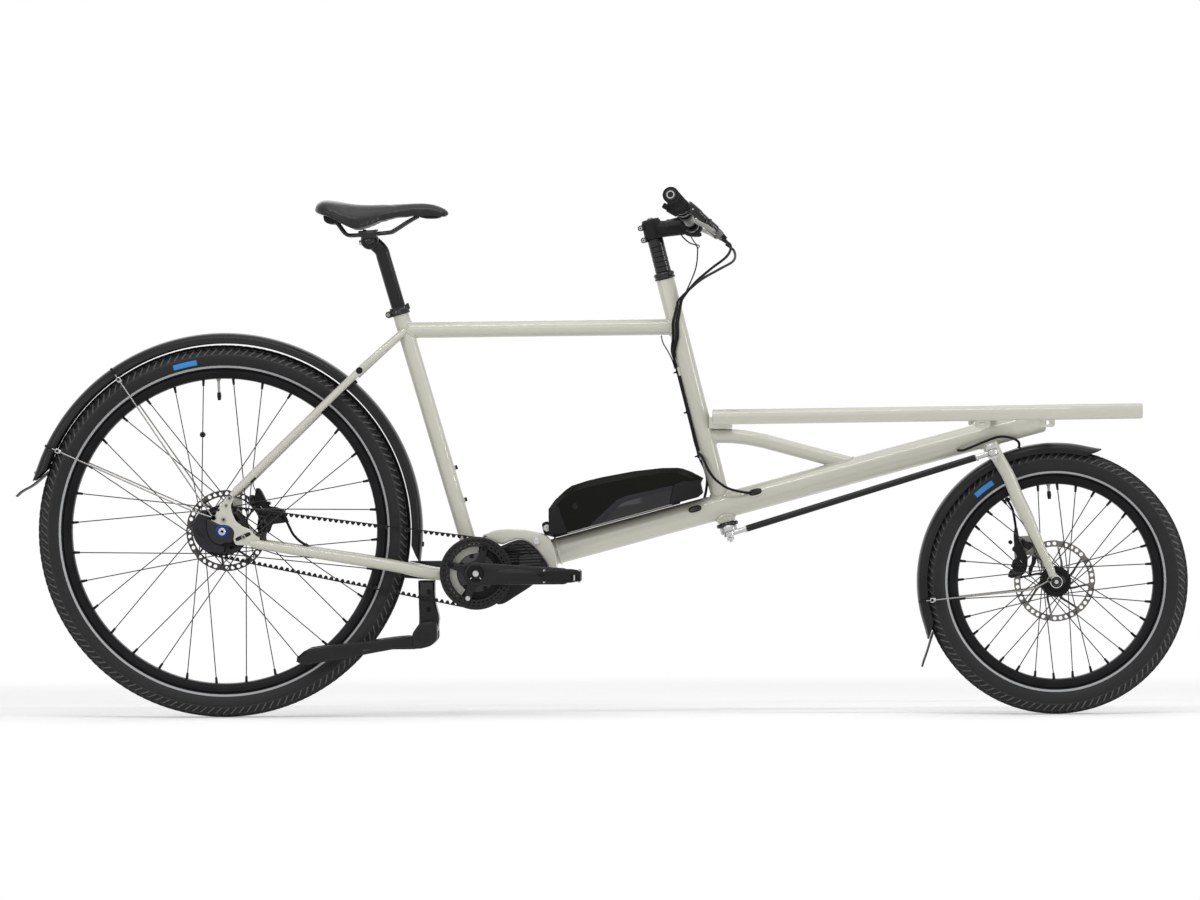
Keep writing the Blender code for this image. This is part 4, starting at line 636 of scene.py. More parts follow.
def weld(start, end, radius, mainPoint, mainAlong, mainRadius, bead=0.0022, count=40):
    # A bead where a tube from start runs into the tube through mainPoint.
    start, end = Vector(start), Vector(end)
    along = (end - start).normalized()
    first = along.orthogonal().normalized()
    second = along.cross(first)
    mainPoint, mainAlong = Vector(mainPoint), Vector(mainAlong).normalized()
    points = []
    for index in range(count):
        turn = math.tau * index / count
        edge = start + (first * math.cos(turn) + second * math.sin(turn)) * radius
        offset = edge - mainPoint
        flatAlong = along - mainAlong * along.dot(mainAlong)
        flatOffset = offset - mainAlong * offset.dot(mainAlong)
        a = flatAlong.dot(flatAlong)
        b = 2 * flatAlong.dot(flatOffset)
        c = flatOffset.dot(flatOffset) - mainRadius ** 2
        inside = max(b * b - 4 * a * c, 0.0)
        points.append(edge + along * ((-b - math.sqrt(inside)) / (2 * a)))
    return tube(points, bead, 8, closed=True)


# Geometry Nodes: small trees for what repeats or follows a path.
class Tree:
    def __init__(self, name):
        self.group = bpy.data.node_groups.new(name, "GeometryNodeTree")
        self.group.interface.new_socket("Geometry", in_out="INPUT", socket_type="NodeSocketGeometry")
        self.group.interface.new_socket("Geometry", in_out="OUTPUT", socket_type="NodeSocketGeometry")
        self.inside = self.group.nodes.new("NodeGroupInput")
        self.outside = self.group.nodes.new("NodeGroupOutput")

    def input(self, name, kind):
        self.group.interface.new_socket(name, in_out="INPUT", socket_type=kind)
        return self.inside.outputs[name]

    def add(self, kind, settings=None, values=None):
        node = self.group.nodes.new(kind)
        for key, value in (settings or {}).items():
            setattr(node, key, value)
        for key, value in (values or {}).items():
            if isinstance(value, bpy.types.NodeSocket):
                self.group.links.new(value, node.inputs[key])
            else:
                node.inputs[key].default_value = value
        return node

    def close(self, geometry, material):
        real = self.add("GeometryNodeRealizeInstances", values={"Geometry": geometry})
        painted = self.add("GeometryNodeSetMaterial", values={"Geometry": real.outputs[0], "Material": material})
        self.group.links.new(painted.outputs[0], self.outside.inputs[0])
        return self.group


def sweepTree():
    tree = Tree("sweepTube")
    radius = tree.input("Radius", "NodeSocketFloat")
    sides = tree.input("Sides", "NodeSocketInt")
    material = tree.input("Material", "NodeSocketMaterial")
    curve = tree.add("GeometryNodeMeshToCurve", values={"Mesh": tree.inside.outputs["Geometry"]})
    ring = tree.add("GeometryNodeCurvePrimitiveCircle", values={"Resolution": sides, "Radius": radius})
    swept = tree.add("GeometryNodeCurveToMesh", values={"Curve": curve.outputs[0], "Profile Curve": ring.outputs[0],
        "Fill Caps": True})
    return tree.close(swept.outputs[0], material)


def wheelTree():
    # The mesh's copies round a wheel's rim, each turned to face outwards.
    tree = Tree("roundTheWheel")
    count = tree.input("Count", "NodeSocketInt")
    radius = tree.input("Radius", "NodeSocketFloat")
    start = tree.input("Start", "NodeSocketFloat")
    middle = tree.input("Middle", "NodeSocketVector")
    material = tree.input("Material", "NodeSocketMaterial")
    points = tree.add("GeometryNodePoints", values={"Count": count})
    index = tree.add("GeometryNodeInputIndex")
    share = tree.add("ShaderNodeMath", {"operation": "DIVIDE"}, {0: index.outputs[0], 1: count})
    turn = tree.add("ShaderNodeMath", {"operation": "MULTIPLY_ADD"}, {0: share.outputs[0], 1: math.tau, 2: start})
    cosine = tree.add("ShaderNodeMath", {"operation": "COSINE"}, {0: turn.outputs[0]})
    sine = tree.add("ShaderNodeMath", {"operation": "SINE"}, {0: turn.outputs[0]})
    direction = tree.add("ShaderNodeCombineXYZ", values={0: cosine.outputs[0], 2: sine.outputs[0]})
    reach = tree.add("ShaderNodeVectorMath", {"operation": "SCALE"}, {0: direction.outputs[0], "Scale": radius})
    spot = tree.add("ShaderNodeVectorMath", {"operation": "ADD"}, {0: reach.outputs[0], 1: middle})
    back = tree.add("ShaderNodeMath", {"operation": "MULTIPLY"}, {0: turn.outputs[0], 1: -1.0})
    angles = tree.add("ShaderNodeCombineXYZ", values={1: back.outputs[0]})
    rotation = tree.add("FunctionNodeEulerToRotation", values={0: angles.outputs[0]})
    placed = tree.add("GeometryNodeSetPosition", values={"Geometry": points.outputs[0], "Position": spot.outputs[0]})
    copies = tree.add("GeometryNodeInstanceOnPoints", values={"Points": placed.outputs[0],
        "Instance": tree.inside.outputs["Geometry"], "Rotation": rotation.outputs[0]})
    return tree.close(copies.outputs[0], material)


sweeper = sweepTree()
rounder = wheelTree()


def grown(mesh, group, values):
    # The mesh after a tree, as a loose shape.
    item = bpy.data.objects.new("grown", mesh)
    scene.collection.objects.link(item)
    modifier = item.modifiers.new("grow", "NODES")
    modifier.node_group = group
    identifiers = {socket.name: socket.identifier for socket in group.interface.items_tree
        if socket.in_out == "INPUT"}
    for name, value in values.items():
        modifier[identifiers[name]] = value
    depsgraph = bpy.context.evaluated_depsgraph_get()
    result = bpy.data.meshes.new_from_object(item.evaluated_get(depsgraph))
    item.modifiers.remove(modifier)
    shape = bmesh.new()
    shape.from_mesh(result)
    bpy.data.objects.remove(item)
    bpy.data.meshes.remove(result)
    return tidyShape(shape)


def sweptLines(lines, radius, sides, finish):
    mesh = bpy.data.meshes.new("lines")
    verts, edges = [], []
    for line in lines:
        base = len(verts)
        verts += [tuple(point) for point in line]
        edges += [(base + index, base + index + 1) for index in range(len(line) - 1)]
    mesh.from_pydata(verts, edges, [])
    return grown(mesh, sweeper, {"Radius": radius, "Sides": sides, "Material": finishes[finish]})


def roundWheel(shape, count, radius, hub, finish, start=0.0, side=0.0):
    # The shape has +X outwards; its copies go round the hub.
    mesh = bpy.data.meshes.new("copy")
    shape.to_mesh(mesh)
    shape.free()
    return grown(mesh, rounder, {"Count": count, "Radius": radius, "Start": start, "Material": finishes[finish],
        "Middle": (hub.x, side, hub.z)})


print("tools ready")


# Camera and light

view = {"place": (1.073, -15.0, 0.6), "lens": 229.2, "roll": 0.22, "shiftX": -0.1425, "shiftY": -0.034}


def setCamera():
    data = bpy.data.cameras.new("photoView")
    data.lens = view["lens"]
    data.sensor_width = 36.0
    data.shift_x = view["shiftX"]
    data.shift_y = view["shiftY"]
    data.clip_end = 80.0
    camera = bpy.data.objects.new("photoView", data)
    scene.collection.objects.link(camera)
    camera.location = Vector(view["place"]) - Vector((shift, 0.0, 0.0))
    camera.rotation_euler = (math.radians(90.0), math.radians(view["roll"]), 0.0)
    scene.camera = camera


lamps = [{"name": "overhead", "place": (0.1, -0.2, 3.6), "look": (0.0, 0.0, 0.4), "size": (4.6, 2.2), "power": 36.0},
    {"name": "topStrip", "place": (0.0, -1.9, 3.4), "look": (0.0, 0.0, 0.5), "size": (3.6, 0.16), "power": 36.0},
    {"name": "frontSoft", "place": (-1.4, -5.0, 2.4), "look": (0.0, 0.0, 0.5), "size": (3.4, 2.2), "power": 24.0},
    {"name": "rightStrip", "place": (3.9, -1.3, 1.1), "look": (0.1, 0.0, 0.6), "size": (0.24, 2.4), "power": 36.0},
    {"name": "leftStrip", "place": (-3.6, -2.9, 1.5), "look": (0.0, 0.0, 0.5), "size": (0.24, 1.6), "power": 18.0},
    {"name": "backSoft", "place": (-0.6, 4.2, 2.6), "look": (0.0, 0.0, 0.5), "size": (3.6, 1.6), "power": 18.0},]
backdrop = {"sky": 0.34, "near": 1.3, "far": 2.4, "floor": 0.95, "glow": 0.18}


def seenRays(made, links):
    # Camera, mirror and glass rays, as one value.
    rays = made.new("ShaderNodeLightPath")
    value = rays.outputs["Is Camera Ray"]
    for name in ("Is Glossy Ray", "Is Transmission Ray"):
        larger = made.new("ShaderNodeMath")
        larger.operation = "MAXIMUM"
        links.new(value, larger.inputs[0])
        links.new(rays.outputs[name], larger.inputs[1])
        value = larger.outputs[0]
    return value


def setLight():
    for lamp in lamps:
        data = bpy.data.lights.new(lamp["name"], "AREA")
        data.shape = "RECTANGLE"
        data.size, data.size_y = lamp["size"]
        data.energy = lamp["power"]
        item = bpy.data.objects.new(lamp["name"], data)
        item.location = lamp["place"]
        item.rotation_euler = (Vector(lamp["look"]) - Vector(lamp["place"])).to_track_quat("-Z", "Y").to_euler()
        scene.collection.objects.link(item)
    world = bpy.data.worlds.new("studio")
    world.use_nodes = True
    scene.world = world
    links, made = world.node_tree.links, world.node_tree.nodes
    made.clear()
    sky = made.new("ShaderNodeBackground")
    sky.inputs["Strength"].default_value = backdrop["sky"]
    white = made.new("ShaderNodeBackground")
    white.inputs["Strength"].default_value = 1.0
    for node in (sky, white):
        node.inputs["Color"].default_value = (1.0, 1.0, 1.0, 1.0)
    mix = made.new("ShaderNodeMixShader")
    out = made.new("ShaderNodeOutputWorld")
    links.new(seenRays(made, links), mix.inputs[0])
    links.new(sky.outputs[0], mix.inputs[1])
    links.new(white.outputs[0], mix.inputs[2])
    links.new(mix.outputs[0], out.inputs["Surface"])
    scene.view_settings.view_transform = "Standard"


def floorFinish():
    # Pale and lit near the wheels, where shadows fall, and plain white farther out.
    net = Net("studioFloor")
    x, y, z = net.split(net.position())
    reach = ((x * 0.75) * (x * 0.75) + y * y).maths("SQRT")
    seen = Wire(net, seenRays(net.tree.nodes, net.tree.links))
    soft = net.noise(3.0, 2.0)
    tone = backdrop["floor"]
    colour = net.blendColour(soft, (tone, tone, tone), (tone + 0.02, tone + 0.02, tone + 0.02))
    lit = net.add("ShaderNodeBsdfPrincipled", values={"Base Color": colour, "Roughness": 0.9,
        "Emission Color": (1.0, 1.0, 1.0, 1.0), "Emission Strength": backdrop["glow"]})
    white = net.add("ShaderNodeEmission", values={"Color": (1.0, 1.0, 1.0, 1.0), "Strength": 1.0})
    mixed = net.add("ShaderNodeMixShader", values={0: reach.smooth(backdrop["near"], backdrop["far"]) * seen, 1: lit,
        2: white})
    output = net.tree.nodes.new("ShaderNodeOutputMaterial")
    net.tree.links.new(mixed.socket, output.inputs["Surface"])
    return net.material


def setFloor():
    mesh = bpy.data.meshes.new("studioFloor")
    shape = bmesh.new()
    bmesh.ops.create_grid(shape, x_segments=1, y_segments=1, size=30.0)
    shape.to_mesh(mesh)
    shape.free()
    mesh.materials.append(floorFinish())
    item = bpy.data.objects.new("studioFloor", mesh)
    item.location = (0.0, 0.0, -0.0005)
    scene.collection.objects.link(item)


setCamera()
setLight()
setFloor()
print("camera and light set")


# Wheels

rearWheel = {"hub": rearHub, "body": "rear_wheel", "name": "rear", "outer": 0.365, "bead": 0.311, "stripe": 0.3225,
    "mark": math.radians(103.0), "markHalf": 0.07, "markAt": 0.3345, "wall": 0.344, "fans": 160.0, "lugs": 148,
    "flangeRadius": 0.0445, "right": 0.0345, "left": 0.032, "pairs": 8, "lean": 72.0, "valve": 92.2, "phase": 7.9,
    "first": 2, "stem": 0.042}
frontWheel = {"hub": frontHub, "body": "front_wheel", "name": "front", "outer": 0.26, "bead": 0.203, "stripe": 0.2145,
    "mark": math.radians(127.5), "markHalf": 0.092, "markAt": 0.23, "wall": 0.2375, "fans": 112.0, "lugs": 106,
    "flangeRadius": 0.0275, "right": 0.028, "left": 0.022, "pairs": 8, "lean": 58.0, "valve": 93.9, "phase": -1.1,
    "first": 1, "stem": 0.029}


def tyreProfile(size):
    bead, outer = size["bead"], size["outer"] - 0.0016
    half = [(bead - 0.0022, 0.0104), (bead + 0.006, 0.0112), (bead + 0.0085, 0.015), (bead + 0.013, 0.0195),
        (bead + 0.0205, 0.0243), (bead + 0.029, 0.0264), (outer - 0.019, 0.0262), (outer - 0.0125, 0.0243),
        (outer - 0.0075, 0.0212), (outer - 0.0038, 0.017), (outer - 0.0012, 0.011), (outer, 0.005)]
    outside = half + [(radius, -side) for radius, side in reversed(half)]
    inside = [(bead, -0.009), (outer - 0.016, -0.0215), (outer - 0.006, -0.01), (outer - 0.006, 0.01),
        (outer - 0.016, 0.0215), (bead, 0.009)]
    return outside + inside


def lugShape(length, width, height, slant=0.0):
    shape = bmesh.new()
    bmesh.ops.create_cube(shape, size=1.0)
    bmesh.ops.scale(shape, vec=(height, width, length), verts=shape.verts)
    top = [vert for vert in shape.verts if vert.co.x > 0.0]
    bmesh.ops.scale(shape, vec=(1.0, 0.82, 0.86), verts=top)
    for vert in shape.verts:
        vert.co.z += vert.co.y * slant
    return shape


def buildTyre(size):
    hub, count = size["hub"], size["lugs"]
    rubber = tyreFinish(size["name"] + "Tyre", hub, size)
    finishes[size["name"] + "Tyre"] = rubber
    label = size["name"] + "Tyre"
    piece = Piece(label, size["body"], "tyre_rubber", size["name"] + "_tyre", angle=50.0)
    piece.take(lathe(tyreProfile(size), hub, sideways, 120), label)
    pitch = math.tau * size["outer"] / count
    crown = size["outer"] - 0.0012
    rows = [(0.0, 0.0052, 0.78, 0.0, 0.0, 0.0), (0.0085, 0.0062, 0.72, -0.0004, 0.35, 0.5),
        (-0.0085, 0.0062, 0.72, -0.0004, -0.35, 0.5), (0.0163, 0.0064, 0.66, -0.0032, 0.5, 0.0),
        (-0.0163, 0.0064, 0.66, -0.0032, -0.5, 0.0)]
    for side, width, share, drop, slant, phase in rows:
        lug = lugShape(pitch * share, width, 0.0024, slant)
        if abs(side) > 0.012:
            lean = math.copysign(math.radians(38.0), side)
            bmesh.ops.rotate(lug, matrix=Matrix.Rotation(lean, 3, "Z"), verts=lug.verts)
        piece.take(roundWheel(lug, count, crown + drop, hub, label, phase * math.tau / count, side), label)
    for side in (1.0, -1.0):
        shoulder = lugShape(pitch * 0.3, 0.0075, 0.0014, side * 0.25)
        bmesh.ops.rotate(shoulder, matrix=Matrix.Rotation(side * math.radians(66.0), 3, "Z"), verts=shoulder.verts)
        piece.take(roundWheel(shoulder, count, crown - 0.0108, hub, label, 0.0, side * 0.0236), label)
    return piece.done()


def buildRim(size):
    hub, bead = size["hub"], size["bead"]
    inner = bead - 0.0122
    piece = Piece(size["name"] + "Rim", size["body"], "black_metal", size["name"] + "_rim")
    half = [(bead + 0.0052, 0.0122), (bead + 0.0058, 0.0132), (bead + 0.0048, 0.0145), (bead - 0.001, 0.0145),
        (bead - 0.005, 0.0142), (inner + 0.0014, 0.011), (inner, 0.007), (inner, 0.0)]
    outside = half + [(radius, -side) for radius, side in reversed(half[:-1])]
    inside = [(bead + 0.002, -0.0118), (bead - 0.0034, -0.0112), (bead - 0.0036, 0.0112), (bead + 0.002, 0.0118)]
    piece.take(lathe(outside + inside, hub, sideways, 120), "black")
    turn = math.radians(size["valve"])
    ray = Vector((math.cos(turn), 0.0, math.sin(turn)))
    foot = hub + ray * inner
    stem, cap = size["stem"], size["stem"] - 0.015
    piece.take(lathe([(0.0, 0.0), (0.0042, 0.0), (0.004, 0.003), (0.0026, 0.0044), (0.0026, cap), (0.0, cap)], foot,
        -ray, 16, closed=False), "wire")
    piece.take(lathe([(0.0, cap - 0.0006), (0.0034, cap - 0.0006), (0.0041, cap + 0.003), (0.0041, cap + 0.008),
        (0.003, stem), (0.0, stem)], foot, -ray, 16, closed=False), "plastic")
    return piece.done()


def spokeLines(size):
    lines, ends = [], []
    hub, flange = size["hub"], size["flangeRadius"]
    rim = size["bead"] - 0.0122
    total = size["pairs"] * 4
    for number in range(total):
        onLeft = number % 2
        trailing = ((number + size["first"]) // 2) % 2
        side = size["left"] if onLeft else -size["right"]
        lift = 0.0022 if trailing else -0.0022
        rimTurn = math.radians(360.0 * number / total + size["phase"])
        hubTurn = rimTurn + math.radians(size["lean"] if trailing else -size["lean"])
        start = hub + Vector((math.cos(hubTurn) * flange, side + lift, math.sin(hubTurn) * flange))
        end = hub + Vector((math.cos(rimTurn) * rim, lift + (0.002 if onLeft else -0.002), math.sin(rimTurn) * rim))
        lines.append([start, end])
        ends.append((start, end, side, lift))
    return lines, ends


def buildHub(size, shell, finish, cadNode, slot):
    piece = Piece(size["name"] + "Hub", size["body"], slot, cadNode)
    piece.take(lathe(shell, size["hub"], sideways, 64), finish)
    lines, ends = spokeLines(size)
    piece.take(sweptLines(lines, 0.00105, 8, "spoke"), "spoke")
    for start, end, side, lift in ends:
        along = (start - end).normalized()
        piece.take(lathe([(0.0, 0.0), (0.003, 0.0), (0.0027, 0.003), (0.0023, 0.012), (0.0, 0.0124)],
            end - along * 0.0008, along, 8, closed=False), "plastic")
        head = Vector((start.x, side + math.copysign(0.0032, lift), start.z))
        piece.take(lathe([(0.0, 0.0012), (0.0014, 0.0009), (0.002, 0.0), (0.0, -0.0002)], head,
            sideways * math.copysign(1.0, lift), 8, closed=False), "spoke")
    return piece, lines


def flangeSteps(radius, side, inner, half=0.0022):
    return [(inner, side + 0.007), (radius - 0.01, side + half + 0.001), (radius - 0.001, side + half),
        (radius, side + half * 0.5), (radius, side - half * 0.5), (radius - 0.001, side - half),
        (radius - 0.01, side - half - 0.001), (inner, side - 0.007)]


def buildRearHub():
    size = rearWheel
    core = 0.0385
    shell = [(0.0066, 0.0655), (0.016, 0.0655), (0.0164, 0.064), (0.0164, 0.053), (0.024, 0.0505), (0.025, 0.044)]
    shell += flangeSteps(0.046, 0.032, 0.03)[:-1] + [(core - 0.002, 0.024), (core, 0.018)]
    shell += [(core, -0.022), (core - 0.001, -0.027)] + flangeSteps(0.0465, -0.0345, core)[1:7]
    shell += [(0.028, -0.0372), (0.0066, -0.0372)]
    piece, lines = buildHub(size, shell, "black", "rear_hub", "dark_metal")
    for number in range(12):
        turn = math.tau * number / 12
        ray = Vector((math.cos(turn), 0.0, math.sin(turn)))
        piece.take(lathe([(0.0, 0.0), (0.0036, 0.0), (0.0036, 0.012), (0.0, 0.012)],
            rearHub + ray * 0.038 + sideways * -0.01, sideways, 10, closed=False), "black")
    magnet = lines[8][0].lerp(lines[8][1], 0.63)
    piece.take(lathe([(0.0, 0.005), (0.004, 0.0045), (0.0056, 0.003), (0.0056, -0.003), (0.004, -0.0045),
        (0.0, -0.005)], magnet, sideways, 16, closed=False), "plastic")
    return piece.done()


def buildFrontHub():
    size = frontWheel
    shell = [(0.0066, 0.0496), (0.012, 0.0496), (0.015, 0.048), (0.0162, 0.044), (0.0162, 0.035), (0.021, 0.032)]
    shell += flangeSteps(0.03, 0.022, 0.019) + [(0.017, 0.01), (0.017, -0.014)]
    shell += flangeSteps(0.03, -0.028, 0.019) + [(0.014, -0.038), (0.012, -0.0496), (0.0066, -0.0496)]
    piece = buildHub(size, shell, "black", "front_hub", "black_metal")[0]
    return piece.done()


def buildRotor(name, hub, side, body, cadNode):
    # The braking ring carries slots round it and hangs on six swept arms.
    finish = name + "Disc"
    piece = Piece(name + "Rotor", body, "steel", cadNode)
    holes = []
    for number in range(40):
        if number % 5 == 4:
            continue
        turn = math.radians(9.0 * number)
        centre = hub + Vector((math.cos(turn), 0.0, math.sin(turn))) * 0.0738
        out = (centre - hub).normalized()
        along = Vector((-out.z, 0.0, out.x))
        loop = []
        for step in range(12):
            angle = math.tau * step / 12
            spot = centre + out * math.cos(angle) * 0.0036 + along * math.sin(angle) * 0.0038
            loop.append((spot.x, spot.z))
        holes.append(loop)
    edge = []
    for number in range(120):
        turn = math.tau * number / 120
        reach = 0.08 - (0.0012 if number % 15 in (12, 13) else 0.0)
        edge.append((hub.x + reach * math.cos(turn), hub.z + reach * math.sin(turn)))
    holes.append(ringOf(hub, 0.0674, 72))
    piece.take(plate(edge, side - 0.0009, side + 0.0009, 0.0002, holes, 1), finish)
    for number in range(8):
        turn = math.radians(45.0 * number + 13.0)
        points = []
        for reach, swing in ((0.022, 0.0), (0.036, 0.16), (0.052, 0.36), (0.069, 0.46)):
            angle = turn + swing
            points.append(Vector((hub.x + reach * math.cos(angle), side, hub.z + reach * math.sin(angle))))
        piece.take(tube(through(points, 4), [0.005, 0.0034, 0.0026, 0.0034], 8, flat=0.3), finish)
    carrier = ringOf(hub, 0.0255, 48)
    piece.take(plate(carrier, side - 0.0011, side + 0.0011, 0.0003, [ringOf(hub, 0.0168, 40)], 1), "black")
    piece.take(lathe([(0.0168, 0.005), (0.021, 0.0046), (0.0214, 0.0012), (0.0168, 0.0012)], hub + sideways * side,
        sideways, 40), "black")
    return piece.done()


buildTyre(rearWheel)
buildTyre(frontWheel)
buildRim(rearWheel)
buildRim(frontWheel)
buildRearHub()
buildFrontHub()
buildRotor("rear", rearHub, 0.0514, "rear_wheel", "rear_rotor")
buildRotor("front", frontHub, 0.0405, "front_wheel", "front_rotor")
print("wheels done")


# Frame

def buildMainFrame():
    piece = Piece("mainFrame", "frame", "greige_paint", "seat_tube", "top_tube", "column_tube", "boom", "brace_tube")
    columnTop, columnFoot = columnAt(0.8555), columnAt(0.379)
    piece.take(tube([seatAt(0.799), seatAt(0.305)], seatRadius, 48), "paint")
    piece.take(tube([seatAt(0.758), columnAt(0.7625)], seatRadius, 48), "paint")
    ends = (columnTop - columnFoot).length
    piece.take(lathe([(0.0152, ends / 2), (0.0178, ends / 2), (columnRadius, ends / 2 - 0.0006),
        (columnRadius, -ends / 2 + 0.0006), (0.0176, -ends / 2), (0.0152, -ends / 2)], (columnTop + columnFoot) / 2,
        steerUp, 48), "paint")
    boomEnd = boomAt((1.606 - boomStart) / boomAlong.x)
    piece.take(tube([boomAt(-0.024), boomEnd - boomAlong * 0.004, boomEnd], [boomRadius, boomRadius, 0.0236], 56),
        "paint")
    head = forkAt(0.5442)
    half = 0.0415 / math.cos(steerLean) / 2
    piece.take(lathe([(0.015, half), (0.02, half), (headRadius, half - 0.0008), (headRadius, half - 0.005),
        (0.0198, half - 0.0062), (0.0198, -half + 0.0062), (headRadius, -half + 0.005), (headRadius, -half + 0.0008),
        (0.02, -half), (0.015, -half)], head, steerUp, 48), "paint")
    brace = through([(0.95, 0.0, 0.5478), (0.99, 0.0, 0.5478), (1.025, 0.0, 0.5445), (1.06, 0.0, 0.5375)], 6)
    braceEnd = Vector((1.25, 0.0, 0.486))
    piece.take(tube(brace + [braceEnd], braceRadius, 40), "paint")
    piece.take(weld(seatAt(0.758), columnAt(0.7625), seatRadius, columnAt(0.7625), steerUp, columnRadius), "paint")
    piece.take(weld(columnAt(0.7625), seatAt(0.758), seatRadius, seatAt(0.758), seatUp, seatRadius), "paint")
    meet = columnAt(0.41036)
    for direction in (1.0, -1.0):
        piece.take(weld(meet + steerUp * 0.1 * direction, meet, columnRadius, meet, boomAlong, boomRadius, 0.0026),
            "paint")
    piece.take(weld(Vector((1.02, 0.0, 0.5478)), Vector((0.95, 0.0, 0.5478)), braceRadius, columnAt(0.5478), steerUp,
        columnRadius), "paint")
    piece.take(weld(Vector((1.09, 0.0, 0.5294)), braceEnd, braceRadius, boomAt(0.5), boomAlong, boomRadius), "paint")
    piece.take(weld(forkAt(0.6), forkAt(0.54), 0.0203, boomAt(0.87), boomAlong, boomRadius, 0.0018), "paint")
    return piece.done()


def buildFrameTrim():
    # Bottle bolts, cable ports and the plugs of the tubes.
    piece = Piece("frameTrim", "frame", "black_plastic")
    ahead = Vector((math.cos(seatLean), 0.0, math.sin(seatLean)))
    for z in (0.487, 0.424):
        foot = seatAt(z - 0.004) + ahead * 0.0152
        piece.take(lathe([(0.0, 0.0), (0.0058, 0.0), (0.0056, 0.0016), (0.0044, 0.0022), (0.0, 0.0022)], foot, ahead,
            20, closed=False), "paint")
        piece.take(socketBolt(foot + ahead * 0.0018, ahead, 0.0042, 0.0046), "black")
    for x, lift in ((0.9255, 0.0085), (1.044, 0.0095)):
        along = (x - boomStart) / boomAlong.x
        side = -math.sqrt(boomRadius ** 2 - lift ** 2)
        out = Vector((0.0, side, 0.0)) + boomUp * lift
        normal = out.normalized()
        centre = boomAt(along) + out
        for wide, tall, high, low, finish in ((0.015, 0.0085, 0.0012, -0.004, "paint"),
                (0.0132, 0.0067, 0.002, -0.0035, "plastic"), (0.0105, 0.0044, 0.0024, -0.003, "gloss")):
            shape = bmesh.new()
            loop = []
            other = boomAlong.cross(normal)
            for step in range(40):
                turn = math.tau * step / 40
                flat = math.copysign(abs(math.cos(turn)) ** 0.62, math.cos(turn))
                loop.append(centre + boomAlong * flat * wide + other * math.sin(turn) * tall)
            rings = []
            for place, size in ((low, 1.0), (high - 0.0006, 1.0), (high, 0.9)):
                rings.append([shape.verts.new(centre + (point - centre) * size + normal * place) for point in loop])
            for first, second in zip(rings, rings[1:]):
                for step in range(40):
                    after = (step + 1) % 40
                    shape.faces.new((first[step], first[after], second[after], second[step]))
            shape.faces.new(rings[0])
            shape.faces.new(rings[-1])
            piece.take(tidyShape(shape), finish)
    boomEnd = boomAt((1.606 - boomStart) / boomAlong.x)
    piece.take(lathe([(0.0, 0.0008), (0.021, 0.0008), (0.0216, -0.001), (0.0, -0.001)], boomEnd, boomAlong, 40,
        closed=False), "plastic")
    return piece.done()


def stayPath(side):
    return through([(0.027, side * dropoutSide, 0.445), (0.1375, side * 0.058, 0.553), (0.248, side * 0.045, 0.66),
        (0.299, side * 0.04, 0.7075), (0.354, side * 0.012, 0.756)], 10)


dropout = {"near": [(0.009, 0.4338), (0.0003, 0.4226), (-0.0096, 0.4077), (-0.0145, 0.3941), (-0.0232, 0.3879),
    (-0.0158, 0.3842), (-0.0046, 0.378), (0.009, 0.3775), (0.0189, 0.3725), (0.0239, 0.3631), (0.0214, 0.3482),
    (0.0264, 0.3383), (0.0487, 0.3383), (0.0685, 0.3338), (0.074, 0.351), (0.0636, 0.3581), (0.0561, 0.368),
    (0.0388, 0.3755), (0.0264, 0.3854), (0.0189, 0.4028), (0.0165, 0.4152), (0.023, 0.431)],
    "far": [(0.009, 0.4338), (0.0003, 0.4226), (-0.0096, 0.4077), (-0.013, 0.385), (-0.015, 0.365), (-0.008, 0.348),
    (0.0214, 0.342), (0.047, 0.334), (0.078, 0.329), (0.078, 0.35), (0.062, 0.36), (0.044, 0.372), (0.032, 0.386),
    (0.029, 0.404), (0.03, 0.426)]}


def buildRearTriangle():
    piece = Piece("rearTriangle", "frame", "greige_paint", "seat_stays", "chain_stays")
    for side in (-1.0, 1.0):
        piece.take(tube(stayPath(side), 0.0073, 32), "paint")
        stay = through([(0.066, side * dropoutSide, 0.34), (0.2, side * 0.061, 0.3185), (0.33, side * 0.048, 0.297),
            (0.4, side * 0.034, 0.282), (0.432, side * 0.03, 0.279)], 10)
        piece.take(tube(stay, [0.0088, 0.0104, 0.012, 0.0124, 0.0112], 36), "paint")
        middle = side * dropoutSide
        if side < 0.0:
            piece.take(plate(rounded(dropout["near"], 0.004, 4), middle - 0.003, middle + 0.003, 0.0009), "paint")
        else:
            piece.take(plate(rounded(dropout["far"], 0.006, 4), middle - 0.003, middle + 0.003, 0.0009,
                [ringOf(rearHub, 0.0068, 28)]), "paint")
        piece.take(tube([(0.0175, middle, 0.435), (0.029, middle, 0.4468)], [0.005, 0.0073], 28), "paint")
        piece.take(tube([(0.054, middle, 0.3415), (0.068, middle, 0.3398)], [0.006, 0.0088], 28), "paint")
    lift = math.radians(49.5)
    bridge = rearHub + Vector((math.cos(lift), 0.0, math.sin(lift))) * 0.3956
    piece.take(tube([beside(bridge, -0.046), beside(bridge, 0.046)], 0.006, 24), "paint")
    piece.take(block((0.026, 0.066, 0.02), (0.401, 0.0, 0.2805), 0.003), "paint")
    return piece.done()


